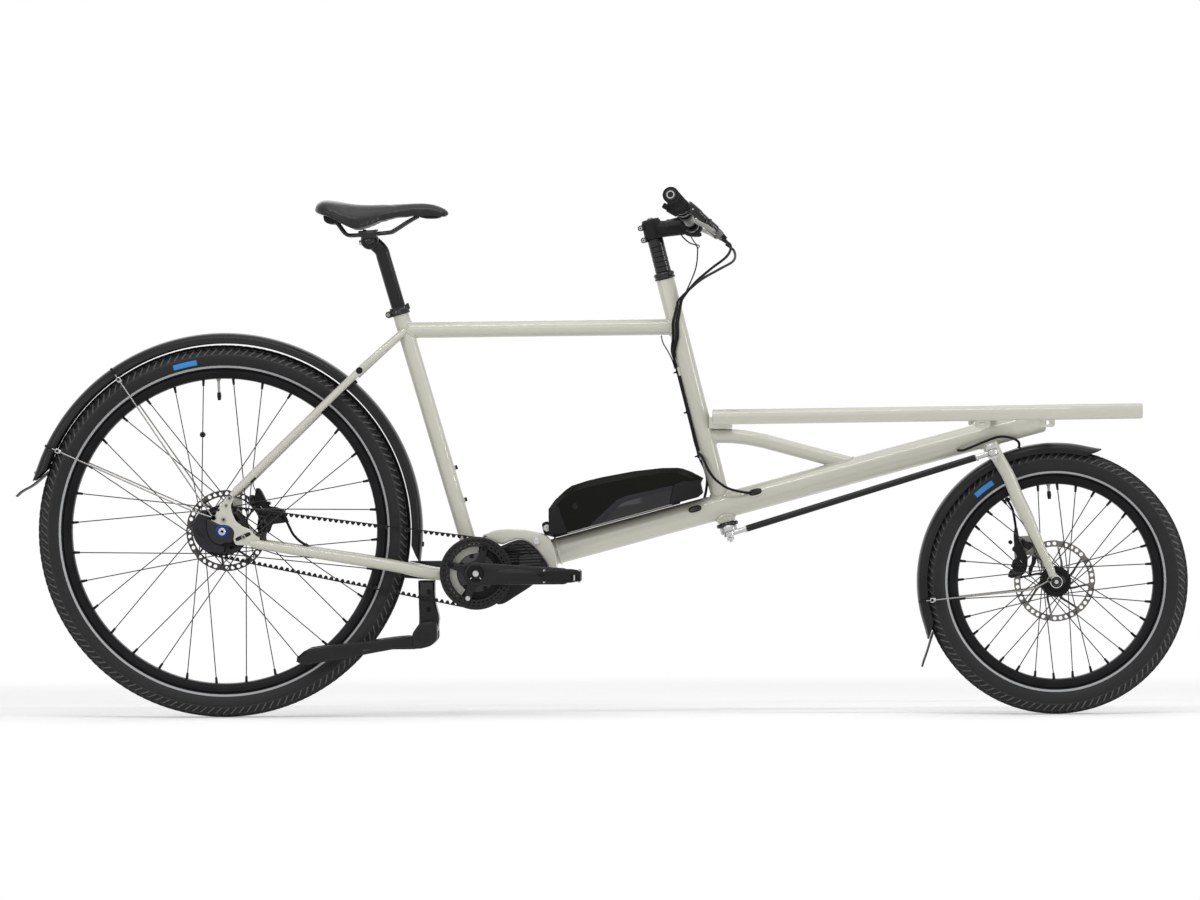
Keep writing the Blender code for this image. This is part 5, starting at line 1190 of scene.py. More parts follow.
def buildRearBolts():
    # What is bolted to the rear ends: eyelets, the sliding bolt and the joint that lets the belt in.
    piece = Piece("rearBolts", "frame", "steel")
    face = -0.0738
    for x, z, size in ((0.0145, 0.4301, 0.004), (0.0078, 0.4157, 0.003), (0.0028, 0.3884, 0.005),
            (0.0413, 0.3544, 0.0044)):
        piece.take(socketBolt((x, face, z), (0.0, -1.0, 0.0), size, 0.003), "wire")
        # A black disc fills each bolt's socket: painted shade in the recess.
        piece.take(disc(size * 0.44, 0.0008, 0.0022, (x, face, z), (0.0, -1.0, 0.0), 0.0002, 12), "plastic")
    piece.take(disc(0.0026, -0.0004, 0.0012, (-0.0076, face, 0.4072), (0.0, -1.0, 0.0)), "plastic")
    slot = []
    lean = math.radians(24.0)
    for centre, first in ((0.0125, -90.0), (-0.0125, 90.0)):
        for step in range(9):
            turn = math.radians(first + 22.5 * step) + lean
            slot.append((0.0406 + centre * math.cos(lean) + 0.0036 * math.cos(turn),
                0.355 + centre * math.sin(lean) + 0.0036 * math.sin(turn)))
    piece.take(plate(slot, face - 0.0006, face + 0.001, 0.0003), "plastic")
    for side in (-1.0, 1.0):
        path = stayPath(side)
        spot = path[23]
        along = (path[25] - path[21]).normalized()
        out = Vector((0.0, side, 0.0))
        out = (out - along * out.dot(along)).normalized()
        if side < 0.0:
            piece.take(lathe([(0.0, 0.001), (0.006, 0.001), (0.0066, 0.0), (0.0066, -0.003), (0.0, -0.003)],
                spot + out * 0.0073, out, 24, closed=False), "plastic")
    low = beside((0.06, 0.4655), -0.064)
    piece.take(tube([low + Vector((-0.0045, 0.0, -0.004)), low + Vector((0.0045, 0.0, 0.004))], 0.0026, 14,
        cap=0.001), "plastic")
    wire = [low, low + Vector((-0.001, 0.02, -0.01)), (0.059, 0.01, 0.445), (0.062, 0.04, 0.44)]
    piece.take(tube(through(wire, 5), 0.001, 8), "hose")
    return piece.done()


def buildCradle():
    piece = Piece("cradle", "frame", "greige_paint", "motor_cradle")
    centre = (crankCentre.x, crankCentre.z)
    outer, inner = 0.0702, 0.0642
    outline = ringOf(centre, outer, 30, 196.0, -112.0)
    upper = [(0.506, 0.355), (0.529, 0.3649), (0.5535, 0.3673), (0.59, 0.3659), (0.627, 0.3581), (0.643, 0.3433),
        (0.65, 0.3211), (0.6535, 0.2917), (0.65, 0.282), (0.6385, 0.283), (0.6355, 0.296), (0.615, 0.326),
        (0.597, 0.3425), (0.5785, 0.3485), (0.56, 0.343), (0.545, 0.336)]
    outline += rounded(upper, [0.003] + [0.015] * 7 + [0.004, 0.004] + [0.01] * 6, 5)
    outline += ringOf(centre, inner, 34, 56.0, 140.0)
    piece.take(plate(outline, -0.042, 0.042, 0.0035, steps=3), "paint")
    piece.take(weld(boomAt(0.03), boomAt(-0.01), boomRadius, boomAt(0.0022), sideways, 0.001, 0.0026), "paint")
    piece.take(weld(seatAt(0.4), seatAt(0.3), seatRadius, crankCentre, sideways, outer), "paint")
    piece.take(disc(0.0095, 0.04, 0.0432, beside((0.6125, 0.3425), 0.0), (0.0, -1.0, 0.0), 0.001), "paint")
    piece.take(socketBolt((0.6125, -0.043, 0.3425), (0.0, -1.0, 0.0), 0.0062, 0.004), "steel")
    return piece.done()


def buildPlatform():
    piece = Piece("platform", "frame", "greige_paint", "cargo_platform")
    # The middle cross tube rests on the boom.
    middleX = (railHeight - railStart * railAlong.z / railAlong.x - boomHeight + boomStart * boomAlong.z / boomAlong.x
        - (boomRadius + crossRadius + 0.0003) / boomAlong.x) / (boomAlong.z / boomAlong.x - railAlong.z / railAlong.x)
    for side in (-railSide, railSide):
        start = railAt(railStart, side)
        end = start + railAlong * railLength
        piece.take(tube([start, start + railAlong * 0.0015, end - railAlong * 0.0015, end],
            [0.0144, railRadius, railRadius, 0.0144], 40), "paint")
    for x in (0.974, middleX, 1.612):
        piece.take(tube([railAt(x, -railSide), railAt(x, railSide)], crossRadius, 36), "paint")
        for side in (-1.0, 1.0):
            near = railAt(x, side * 0.19)
            piece.take(weld(near, railAt(x, side * railSide), crossRadius, railAt(x, side * railSide), railAlong,
                railRadius), "paint")
        top = railAt(x) - Vector((0.0, 0.0, 0.012))
        if x > 1.0:
            piece.take(tube(ellipseOn(top - Vector((0.0, 0.0, 0.001)), boomAlong, sideways, 0.03, 0.008), 0.0024, 8,
                closed=True), "paint")
    shelf = railAt(0.974) - Vector((0.0, 0.0, 0.0115))
    piece.take(block((0.046, 0.044, 0.023), shelf, 0.002), "paint")
    for x in (1.4816, 1.607):
        for side in (-railSide, railSide):
            spot = railAt(x)
            outline = rounded([(x - 0.015, spot.z - 0.01), (x + 0.015, spot.z - 0.01), (x + 0.015, spot.z - 0.029),
                (x - 0.015, spot.z - 0.029)], [0.0, 0.0, 0.008, 0.008], 5)
            piece.take(plate(outline, side - 0.003, side + 0.003, 0.0006, [ringOf((x, spot.z - 0.02), 0.0042, 24)]),
                "paint")
    return piece.done()


def ellipseOn(centre, first, second, wide, tall, count=40):
    return [centre + first * math.cos(math.tau * step / count) * wide + second * math.sin(math.tau * step / count)
        * tall for step in range(count)]


def buildRailPlugs():
    piece = Piece("railPlugs", "frame", "black_plastic")
    for side in (-railSide, railSide):
        start = railAt(railStart, side)
        for spot, out in ((start, -railAlong), (start + railAlong * railLength, railAlong)):
            piece.take(lathe([(0.0, 0.0004), (0.012, 0.0004), (0.0128, -0.0004), (0.0128, -0.006), (0.0, -0.006)],
                spot, out, 32, closed=False), "plastic")
    return piece.done()


buildMainFrame()
buildFrameTrim()
buildRearTriangle()
buildRearBolts()
buildCradle()
buildPlatform()
buildRailPlugs()
print("frame done")


# Drive

def ofArc(centre, radius, start, end, count):
    return [(centre[0] + radius * math.cos(math.radians(start + (end - start) * step / count)),
        centre[-1] + radius * math.sin(math.radians(start + (end - start) * step / count))) for step in range(
        count + 1)]


def shadedRibFinish():
    net = Net("finPlasticPaintedShade")
    x, y, z = net.split(net.position())
    fins = ((z * 0.985 - x * 0.035) * 1080.0).maths("SINE")
    fine = net.noise(900.0, 2.0)
    # The colour follows the fins: lighter on each crest and darker in each groove, a painted highlight and painted
    # shade along the ribs.
    colour = net.blendColour(fins.smooth(-0.6, 0.9), (0.006, 0.006, 0.006), (0.026, 0.026, 0.027))
    return net.finish(base_color=colour, roughness=0.36 + 0.08 * (fine - 0.5), specular_ior_level=0.2,
        normal=net.bump(fins, 0.7, 0.0015))


finishes["shadedRibs"] = shadedRibFinish()
motorSize = {"radius": 0.0632, "right": -0.0418, "left": 0.0498, "lower": [(0.533, 0.219), (0.548, 0.2205),
    (0.604, 0.256), (0.634, 0.286), (0.6335, 0.295), (0.6135, 0.3245), (0.596, 0.3405), (0.578, 0.3465),
    (0.56, 0.3412), (0.545, 0.3345)], "fins": [(0.525, 0.326), (0.544, 0.3345), (0.56, 0.341), (0.578, 0.3462),
    (0.596, 0.34), (0.6135, 0.324), (0.633, 0.295), (0.63, 0.278), (0.62, 0.266), (0.55, 0.264)]}


def buildMotor():
    piece = Piece("motor", "frame", "black_plastic", "motor")
    outline = ofArc(crankCentre, motorSize["radius"], 56.0, 285.0, 48)
    outline += rounded(motorSize["lower"], 0.012, 4)
    right, left = motorSize["right"], motorSize["left"]
    piece.take(plate(outline, right, left, 0.005, [ringOf(crankCentre, 0.016, 32)], 3), "casing")
    piece.take(plate(rounded(motorSize["fins"], 0.01, 4), right - 0.0062, right + 0.002, 0.003), "shadedRibs")
    rim = [(0.544, 0.326), (0.56, 0.334), (0.576, 0.338), (0.589, 0.333), (0.603, 0.319), (0.615, 0.301),
        (0.622, 0.285)]
    piece.take(tube(through([beside(point, right - 0.0058) for point in rim], 5), 0.0012, 8), "casing")
    for number in range(12):
        low = 0.276 + 0.0048 * number
        end = 0.616 - 0.0048 * max(number - 4, 0) ** 1.1
        start = 0.544 + 0.0018 * max(number - 9, 0) ** 1.6
        piece.take(block((end - start, 0.0026, 0.002), ((start + end) / 2, right - 0.0066, low), 0.0005), "shadedRibs")
    piece.take(block((0.046, 0.018, 0.04), (0.6005, right - 0.004, 0.296), 0.006, segments=3), "shadedRibs")
    ring = [(0.016, -0.044), (0.0185, -0.0436), (0.036, -0.0432), (0.038, -0.0424), (0.038, -0.038), (0.016, -0.038)]
    piece.take(lathe(ring, crankCentre, sideways, 48), "gloss")
    for turn in (20.0, 106.0, 150.0, 232.0, 300.0):
        ray = Vector((math.cos(math.radians(turn)), 0.0, math.sin(math.radians(turn))))
        spot = crankCentre + ray * 0.0345 - sideways * 0.043
        piece.take(lathe([(0.0, 0.0), (0.0044, 0.0), (0.0044, 0.0012), (0.0, 0.0012)], spot, -sideways, 16,
            closed=False), "black")
    farDisc = [(0.016, 0.052), (0.04, 0.0516), (0.045, 0.05), (0.045, 0.047), (0.016, 0.047)]
    piece.take(lathe(farDisc, crankCentre, sideways, 48), "satin")
    return piece.done()


def buildCradleFace():
    # The painted ring beside the motor that shows through the chainring.
    piece = Piece("cradleFace", "frame", "greige_paint")
    outline = ofArc(crankCentre, 0.066, 84.0, 236.0, 36) + ofArc(crankCentre, 0.0385, 236.0, 84.0, 30)
    piece.take(plate(outline, -0.0436, -0.041, 0.0008), "paint")
    return piece.done()


chainring = {"outer": 0.0716, "inner": 0.052, "face": -0.0604, "back": -0.0576, "arms": (71.0, 161.5, 251.5, 341.0)}


def buildFrontSprocket():
    piece = Piece("frontSprocket", "crankset", "black_metal", "front_sprocket")
    face, back = chainring["face"], chainring["back"]
    holes = [ringOf(crankCentre, chainring["inner"], 96)]
    for number in range(40):
        turn = 9.0 * number + 4.5
        slot = ofArc(crankCentre, 0.065, turn - 2.3, turn + 2.3, 4) + ofArc(crankCentre, 0.0628, turn + 2.3,
            turn - 2.3, 4)
        holes.append(slot)
        holes.append(ofArc(crankCentre, 0.0588, turn - 1.9, turn + 1.9, 3) + ofArc(crankCentre, 0.0562, turn + 1.9,
            turn - 1.9, 3))
    piece.take(plate(ringOf(crankCentre, chainring["outer"], 120), face, back, 0.0006, holes, 1), "satin")
    teeth = ringOf(crankCentre, 0.0622, 96)
    piece.take(plate(ringOf(crankCentre, 0.066, 120), -0.0562, -0.0444, 0.0005, [teeth], 1), "satin")
    for number in range(4):
        turn = math.radians(chainring["arms"][number])
        ray = Vector((math.cos(turn), 0.0, math.sin(turn)))
        start, end = crankCentre + ray * 0.05, crankCentre + ray * 0.064
        piece.take(block((0.014, 0.01, 0.012), (start + end) / 2 - sideways * 0.0525, 0.001, ray), "satin")
    return piece.done()


def spiderOutline():
    outline = []
    for turn in chainring["arms"]:
        for step, reach in ((-19.0, 0.027), (-13.0, 0.035), (-8.5, 0.048), (-6.5, 0.0556), (6.5, 0.0556),
                (8.5, 0.048), (13.0, 0.035), (19.0, 0.027)):
            angle = math.radians(turn + step)
            outline.append((crankCentre.x + reach * math.cos(angle), crankCentre.z + reach * math.sin(angle)))
        angle = math.radians(turn + 45.0)
        outline.append((crankCentre.x + 0.024 * math.cos(angle), crankCentre.z + 0.024 * math.sin(angle)))
    return rounded(outline, 0.006, 3)


def armOutline(direction, boss, end):
    tip = crankCentre + direction * 0.17
    angle = math.degrees(math.atan2(direction.z, direction.x))
    lean = 90.0 - math.degrees(math.asin((boss - end) / 0.17))
    outline = ofArc(crankCentre, boss, angle + lean, angle + 360.0 - lean, 24)
    return outline + ofArc(tip, end, angle - lean, angle + lean, 16)


def buildCrank(name, side, direction, slot="black_metal"):
    piece = Piece(name, "crankset", slot, "crank_right" if side < 0.0 else "crank_left")
    inner, outer = 0.078, 0.0918
    low, high = (-outer, -inner) if side < 0.0 else (inner, outer)
    tip = crankCentre + direction * 0.17
    out = sideways * side
    bore = [ringOf(crankCentre, 0.0058, 24)]
    piece.take(plate(armOutline(direction, 0.0222, 0.016), low, high, 0.0036, bore, 3), "satin")
    ridge = [crankCentre + direction * 0.04 + Vector((0.0, side * 0.0912, 0.0)),
        crankCentre + direction * 0.15 + Vector((0.0, side * 0.0906, 0.0))]
    piece.take(tube([ridge[0], ridge[0].lerp(ridge[1], 0.06), ridge[0].lerp(ridge[1], 0.94), ridge[1]],
        [0.002, 0.0118, 0.0094, 0.002], 24, flat=0.22, lead=Vector((0.0, 0.0, 1.0))), "satin")
    face = crankCentre + out * outer
    piece.take(lathe([(0.006, 0.0016), (0.012, 0.0024), (0.015, 0.0018), (0.0162, 0.0), (0.0162, -0.003),
        (0.006, -0.003)], face, out, 48), "black")
    for turn in (225.0, 315.0):
        ray = Vector((math.cos(math.radians(turn)), 0.0, math.sin(math.radians(turn))))
        piece.take(block((0.004, 0.0008, 0.0018), face + ray * 0.013 + out * 0.0024, 0.0003, ray), "steel")
    piece.take(lathe([(0.0, -0.0026), (0.005, -0.0022), (0.0056, 0.0004), (0.006, 0.0006), (0.006, -0.006),
        (0.0, -0.006)], face, out, 32, closed=False), "steel")
    piece.take(lathe([(0.0, 0.0002), (0.0085, 0.0002), (0.009, -0.0004), (0.009, -0.001), (0.0, -0.001)],
        tip - out * (inner - 0.0002) * -1.0, -out, 24, closed=False), "black")
    if side < 0.0:
        piece.take(plate(spiderOutline(), -0.0662, -0.0608, 0.0016, [ringOf(crankCentre, 0.012, 32)], 2), "satin")
        piece.take(lathe([(0.012, 0.06), (0.0205, 0.06), (0.0225, 0.064), (0.0215, 0.08), (0.012, 0.08)], crankCentre,
            -sideways, 40), "satin")
        for number, turn in enumerate(chainring["arms"]):
            ray = Vector((math.cos(math.radians(turn)), 0.0, math.sin(math.radians(turn))))
            spot = crankCentre + ray * 0.0516 - sideways * 0.0658
            piece.take(lathe([(0.0022, 0.0022), (0.0046, 0.0022), (0.0052, 0.0014), (0.0052, 0.0), (0.0, 0.0),
                (0.0, 0.0008), (0.0022, 0.0008)], spot, -sideways, 20, closed=False),
                "steel" if number == 2 else "black")
        piece.take(lathe([(0.0072, 0.082), (0.0118, 0.082), (0.0118, -0.0776), (0.0072, -0.0776)], crankCentre,
            -sideways, 32), "black")
    return piece.done()


def buildPedal(name, side, direction):
    hand = "right" if side < 0.0 else "left"
    piece = Piece(name, hand + "_pedal", "black_plastic", "pedal_" + hand)
    spot = crankCentre + direction * 0.17
    out = sideways * side
    inner, middle, outer = 0.098, 0.1455, 0.193
    rise = 0.002
    across = {"front": 0.034, "half": 0.0124}
    for sign in (-1.0, 1.0):
        rail = spot + Vector((sign * across["front"], side * middle, rise))
        piece.take(block((0.008, 0.093, 0.02), rail, 0.003, segments=3), "plastic")
        for step in range(5):
            for up in (-1.0, 1.0):
                pin = rail + Vector((0.0, (step - 2) * 0.0205, up * 0.0098))
                piece.take(lathe([(0.0, 0.0), (0.0018, 0.0), (0.0018, 0.0026), (0.0, 0.0028)], pin, (0.0, 0.0, up), 8,
                    closed=False), "steel")
    for place in (inner + 0.006, outer - 0.006):
        web = rounded([(spot.x - 0.037, spot.z + rise - 0.009), (spot.x - 0.018, spot.z + rise - 0.0125),
            (spot.x + 0.018, spot.z + rise - 0.0125), (spot.x + 0.037, spot.z + rise - 0.009),
            (spot.x + 0.037, spot.z + rise + 0.009), (spot.x + 0.018, spot.z + rise + 0.0125),
            (spot.x - 0.018, spot.z + rise + 0.0125), (spot.x - 0.037, spot.z + rise + 0.009)], 0.004, 3)
        low, high = sorted((side * (place - 0.005), side * (place + 0.005)))
        holes = []
        if place > middle:
            holes = [rounded([(spot.x + 0.018, spot.z - 0.007), (spot.x + 0.032, spot.z - 0.007),
                (spot.x + 0.032, spot.z + 0.005), (spot.x + 0.018, spot.z + 0.005)], 0.002, 2)]
        piece.take(plate(web, low, high, 0.0016, holes), "plastic")
    piece.take(lathe([(0.0, 0.0958), (0.0085, 0.0955), (0.01, 0.094), (0.0105, 0.07), (0.0085, 0.05), (0.0105, 0.03),
        (0.0105, 0.006), (0.0, 0.006)], spot + out * (inner - 0.002), out, 28, closed=False), "satin")
    piece.take(lathe([(0.0, 0.01), (0.0064, 0.01), (0.0064, 0.0012), (0.0085, 0.001), (0.0085, -0.0056),
        (0.0, -0.0056)], spot + out * (inner - 0.0001), out, 20, closed=False), "steel")
    piece.take(block((0.003, 0.022, 0.013), spot + Vector((0.025, side * (outer - 0.018), -0.001)), 0.0008), "steel")
    return piece.done()


def beltLoop(extra):
    back, ahead = (0.0, 0.365), (crankCentre.x, crankCentre.z)
    rear, front = 0.047 + extra, 0.0662 + extra
    span = math.hypot(ahead[0] - back[0], ahead[1] - back[1])
    heading = math.degrees(math.atan2(ahead[1] - back[1], ahead[0] - back[0]))
    tilt = math.degrees(math.asin((front - rear) / span))
    points = ofArc(ahead, front, heading - 90.0 - tilt, heading + 90.0 + tilt, 60)
    points += ofArc(back, rear, heading + 90.0 + tilt, heading + 270.0 - tilt, 40)
    return points


def evenly(points, pitch):
    # Places at an even pitch round a closed line, each with its heading.
    loop = [Vector((point[0], 0.0, point[-1])) for point in points]
    loop.append(loop[0])
    lengths = [(after - before).length for before, after in zip(loop, loop[1:])]
    count = int(sum(lengths) / pitch)
    pitch = sum(lengths) / count
    places, travelled, goal = [], 0.0, 0.0
    for length, before, after in zip(lengths, loop, loop[1:]):
        while goal < travelled + length and len(places) < count:
            places.append((before.lerp(after, (goal - travelled) / length), (after - before).normalized()))
            goal += pitch
        travelled += length
    return places


def buildBelt():
    piece = Piece("belt", "frame", "belt_rubber", "belt", angle=30.0)
    middle, half = -0.05, 0.0057
    piece.take(plate(beltLoop(0.0046), middle - half, middle + half, 0.0005, [beltLoop(0.0026)], 1), "belt")
    for point, ahead in evenly(beltLoop(0.003), 0.011):
        inwards = Vector((-ahead.z, 0.0, ahead.x))
        shape = bmesh.new()
        rows = []
        for side in (middle - half + 0.0003, middle + half - 0.0003):
            row = []
            for along, depth in ((-0.0043, 0.0), (-0.0034, 0.0028), (-0.0017, 0.0056), (0.0017, 0.0056),
                    (0.0034, 0.0028), (0.0043, 0.0)):
                row.append(shape.verts.new(point + ahead * along + inwards * depth + sideways * side))
            rows.append(row)
        for index in range(5):
            shape.faces.new((rows[0][index], rows[0][index + 1], rows[1][index + 1], rows[1][index]))
        shape.faces.new((rows[0][5], rows[0][0], rows[1][0], rows[1][5]))
        shape.faces.new(rows[0])
        shape.faces.new(rows[1])
        bmesh.ops.recalc_face_normals(shape, faces=shape.faces)
        piece.take(shape, "belt")
    return piece.done()


def buildRearSprocket():
    piece = Piece("rearSprocket", "rear_cog", "black_metal", "rear_sprocket")
    middle = rearHub - sideways * 0.05
    outer = ofArc(rearHub, 0.0448, 0.0, 360.0, 96)[:-1]
    holes = []
    for number in range(7):
        turn = 360.0 * number / 7
        holes.append(rounded(ofArc(rearHub, 0.0385, turn - 17.0, turn + 17.0, 6) + ofArc(rearHub, 0.027, turn + 13.0,
            turn - 13.0, 6), 0.001, 1))
    holes.append(ringOf(rearHub, 0.0068, 32))
    piece.take(plate(outer, -0.0545, -0.0455, 0.0008, holes, 1), "satin")
    piece.take(lathe([(0.0448, 0.0058), (0.0478, 0.006), (0.0478, 0.0052), (0.044, 0.0046), (0.044, 0.0058)], middle,
        sideways, 72), "satin")
    piece.take(lathe([(0.0068, 0.0122), (0.021, 0.0122), (0.0214, 0.0112), (0.0214, -0.0062), (0.0205, -0.0068),
        (0.0068, -0.0068)], middle, sideways, 56), "black")
    return piece.done()


droop = math.radians(2.0)
crankAhead = Vector((math.cos(droop), 0.0, -math.sin(droop)))
buildMotor()
buildCradleFace()
buildFrontSprocket()
buildCrank("crankRight", -1.0, crankAhead)
buildCrank("crankLeft", 1.0, -crankAhead)
buildPedal("rightPedal", -1.0, crankAhead)
buildPedal("leftPedal", 1.0, -crankAhead)
buildBelt()
buildRearSprocket()
print("drive done")


# Rear end and battery

podSize = {"inner": -0.0578, "outer": -0.0675, "outline": [(-0.0282, 0.3953), (-0.0307, 0.4052), (-0.0369, 0.4082),
    (-0.0456, 0.4028), (-0.053, 0.3928), (-0.058, 0.3829), (-0.0592, 0.3705), (-0.058, 0.3581), (-0.053, 0.3457),
    (-0.0431, 0.3333), (-0.0332, 0.3259), (-0.0183, 0.3246), (-0.0059, 0.3222), (0.0021, 0.3259), (0.0041, 0.3358),
    (-0.0034, 0.3388), (-0.0158, 0.3432), (-0.0245, 0.3519), (-0.0287, 0.3631), (-0.0307, 0.3755), (-0.0294, 0.3866),
    (-0.025, 0.39)], "slot": [(-0.0525, 0.367), (-0.0498, 0.3692), (-0.036, 0.354), (-0.0386, 0.3515)],
    "recess": [(-0.029, 0.39), (-0.0232, 0.3879), (-0.0046, 0.3785), (0.009, 0.378), (0.0189, 0.373),
    (0.0236, 0.3631), (0.0216, 0.349), (0.017, 0.343), (0.006, 0.344), (-0.0034, 0.3388), (-0.0158, 0.3432),
    (-0.0245, 0.3519), (-0.0287, 0.3631), (-0.0307, 0.3755)]}


def buildShiftUnit():
    piece = Piece("shiftUnit", "frame", "black_plastic", "shift_unit")
    inner, outer = podSize["inner"], podSize["outer"]
    slot = rounded(podSize["slot"], 0.001, 2)
    piece.take(plate(rounded(podSize["outline"], 0.006, 5), outer, inner, 0.003, [slot], 3), "pod")
    piece.take(plate(slot, outer + 0.001, inner, 0.0004), "pod")
    ridge = through([(-0.033, outer + 0.0002, 0.399), (-0.038, outer + 0.0002, 0.37), (-0.033, outer + 0.0002, 0.348),
        (-0.018, outer + 0.0002, 0.3335)], 6)
    piece.take(tube(ridge, 0.0011, 8), "pod")
    piece.take(disc(0.0325, -0.06, -0.0576, rearHub, soft=0.0008, bore=0.0068), "plastic")
    return piece.done()


def buildRearAxle():
    piece = Piece("rearAxle", "frame", "steel", "rear_axle")
    piece.take(plate(rounded(podSize["recess"], 0.003, 3), -0.07, -0.06, 0.0006, [ringOf(rearHub, 0.0064, 24)]),
        "gloss")
    piece.take(lathe([(0.0062, 0.069), (0.0128, 0.069), (0.0128, 0.072), (0.0108, 0.073), (0.0108, 0.0772),
        (0.01, 0.0782), (0.0074, 0.0782), (0.0062, 0.077)], rearHub, -sideways, 40), "blue")
    piece.take(lathe([(0.0032, 0.0821), (0.0062, 0.0821), (0.0072, 0.0812), (0.0072, 0.0745), (0.0058, 0.074),
        (0.0058, -0.074), (0.0025, -0.074), (0.0025, 0.079), (0.0032, 0.0796)], rearHub, -sideways, 32), "steel")
    piece.take(hexNut(rearHub, sideways, 0.0128, 0.0741, 0.0815), "steel")
    piece.take(lathe([(0.0, 0.0821), (0.0052, 0.0821), (0.0058, 0.0812), (0.0058, 0.07), (0.0, 0.07)], rearHub,
        sideways, 20, closed=False), "steel")
    return piece.done()


caliperShapes = {"rear": {"body": [(0.0586, 0.4487), (0.0645, 0.4487), (0.069, 0.443), (0.076, 0.429),
    (0.0834, 0.4127), (0.0983, 0.411), (0.1157, 0.404), (0.115, 0.396), (0.1, 0.3935), (0.08, 0.396),
    (0.0685, 0.3953), (0.06, 0.408), (0.054, 0.42), (0.056, 0.433)],
    "mount": [(0.04, 0.429), (0.048, 0.436), (0.059, 0.433), (0.064, 0.421), (0.076, 0.408), (0.1157, 0.395),
    (0.115, 0.38), (0.09, 0.377), (0.085, 0.362), (0.064, 0.356), (0.0586, 0.37), (0.062, 0.39), (0.056, 0.406),
    (0.044, 0.418)], "bolts": [(0.047, 0.428), (0.083, 0.4185), (0.076, 0.372)],
    "spring": [(0.067, 0.413), (0.077, 0.401)], "hose": (0.1135, 0.39), "way": (0.55, 0.0, -0.83)},
    "front": {"body": [(1.5497, 0.3555), (1.5587, 0.3565), (1.5597, 0.3414), (1.5627, 0.3354), (1.5707, 0.3194),
    (1.5767, 0.3074), (1.5767, 0.2914), (1.5727, 0.2774), (1.5657, 0.2713), (1.5547, 0.2693), (1.5467, 0.2653),
    (1.5377, 0.2683), (1.5407, 0.2794), (1.5487, 0.2854), (1.5457, 0.2954), (1.5487, 0.3014), (1.5567, 0.3074),
    (1.5527, 0.3154), (1.5457, 0.3214), (1.5477, 0.3264), (1.5517, 0.3294), (1.5497, 0.3414)],
    "mount": [(1.5627, 0.341), (1.5807, 0.337), (1.5927, 0.3314), (1.5947, 0.3154), (1.5937, 0.2954),
    (1.5887, 0.2874), (1.5827, 0.2674), (1.5787, 0.2674), (1.5787, 0.2854), (1.5847, 0.2954), (1.5857, 0.3094),
    (1.5807, 0.3194), (1.5687, 0.3274)], "bolts": [(1.543, 0.3365), (1.568, 0.339), (1.548, 0.29)],
    "spring": [(1.566, 0.296), (1.562, 0.301)], "hose": (1.554, 0.352), "way": (0.03, 0.0, 1.0)}}


def buildCaliper(which, body, inner, outer, cadNode):
    # A two part brake body over the rotor's edge, its mount, bolts, pad spring and hose end.
    piece = Piece(which + "Caliper", body, "black_metal", cadNode)
    size = caliperShapes[which]
    rotorSide = inner + 0.016
    middle = (inner + outer) / 2
    for low, high in ((inner, rotorSide - 0.0016), (rotorSide + 0.0016, outer)):
        piece.take(plate(rounded(size["body"], 0.003, 3), low, high, 0.0016), "plastic")
    piece.take(plate(rounded(size["mount"], 0.003, 3), rotorSide + 0.003, rotorSide + 0.009, 0.001), "satin")
    for x, z in size["bolts"]:
        piece.take(socketBolt((x, inner - 0.001, z), -sideways, 0.004, 0.0024), "black")
        piece.take(disc(0.004, 0.0, outer - inner + 0.0006, (x, inner, z), sideways, 0.0006, 16), "black")
    first, last = (beside(point, inner - 0.0004) for point in size["spring"])
    piece.take(tube([first, last], 0.001, 8), "steel")
    piece.take(lathe([(0.0, -0.006), (0.0044, -0.006), (0.0048, 0.001), (0.0044, 0.005), (0.0036, 0.008),
        (0.0033, 0.012), (0.0, 0.012)], beside(size["hose"], middle), Vector(size["way"]), 18, closed=False),
        "plastic")
    return piece.done()


def buildGrommet():
    piece = Piece("stayGrommet", "frame", "black_plastic")
    spot = Vector((0.1653, -0.064, 0.3172))
    piece.take(tube([spot + Vector((-0.0125, 0.0, 0.0012)), spot, spot + Vector((0.0125, 0.0, -0.004))],
        [0.0018, 0.0052, 0.0018], 16, flat=0.7), "plastic")
    wire = [(0.012, -0.064, 0.342), (0.0165, -0.064, 0.3383), (0.04, -0.064, 0.334), (0.0735, -0.064, 0.33),
        (0.1182, -0.064, 0.317), (0.1541, -0.064, 0.315), tuple(spot)]
    piece.take(tube(through(wire, 6), 0.0011, 8), "hose")
    return piece.done()


# Each place on the battery's side outline is followed by where its flat face begins.
batteryEdge = [((0.6365, 0.354), (0.638, 0.3555)), ((0.6362, 0.406), (0.64, 0.4035)),
    ((0.6488, 0.4235), (0.6515, 0.415)), ((0.669, 0.4425), (0.67, 0.43)), ((0.6818, 0.4515), (0.6822, 0.439)),
    ((0.712, 0.4612), (0.712, 0.4485)), ((0.742, 0.4682), (0.743, 0.4555)), ((0.8036, 0.4795), (0.803, 0.4675)),
    ((0.859, 0.4855), (0.86, 0.4762)), ((0.89, 0.4858), (0.89, 0.4755)), ((0.9, 0.484), (0.898, 0.473)),
    ((0.9157, 0.4782), (0.918, 0.464)), ((0.94, 0.4655), (0.937, 0.4625)), ((0.9352, 0.4555), (0.934, 0.455)),
    ((0.9395, 0.4365), (0.937, 0.4375)), ((0.9297, 0.428), (0.9285, 0.4295)), ((0.8875, 0.4168), (0.8875, 0.418)),
    ((0.6745, 0.3595), (0.675, 0.3605))]
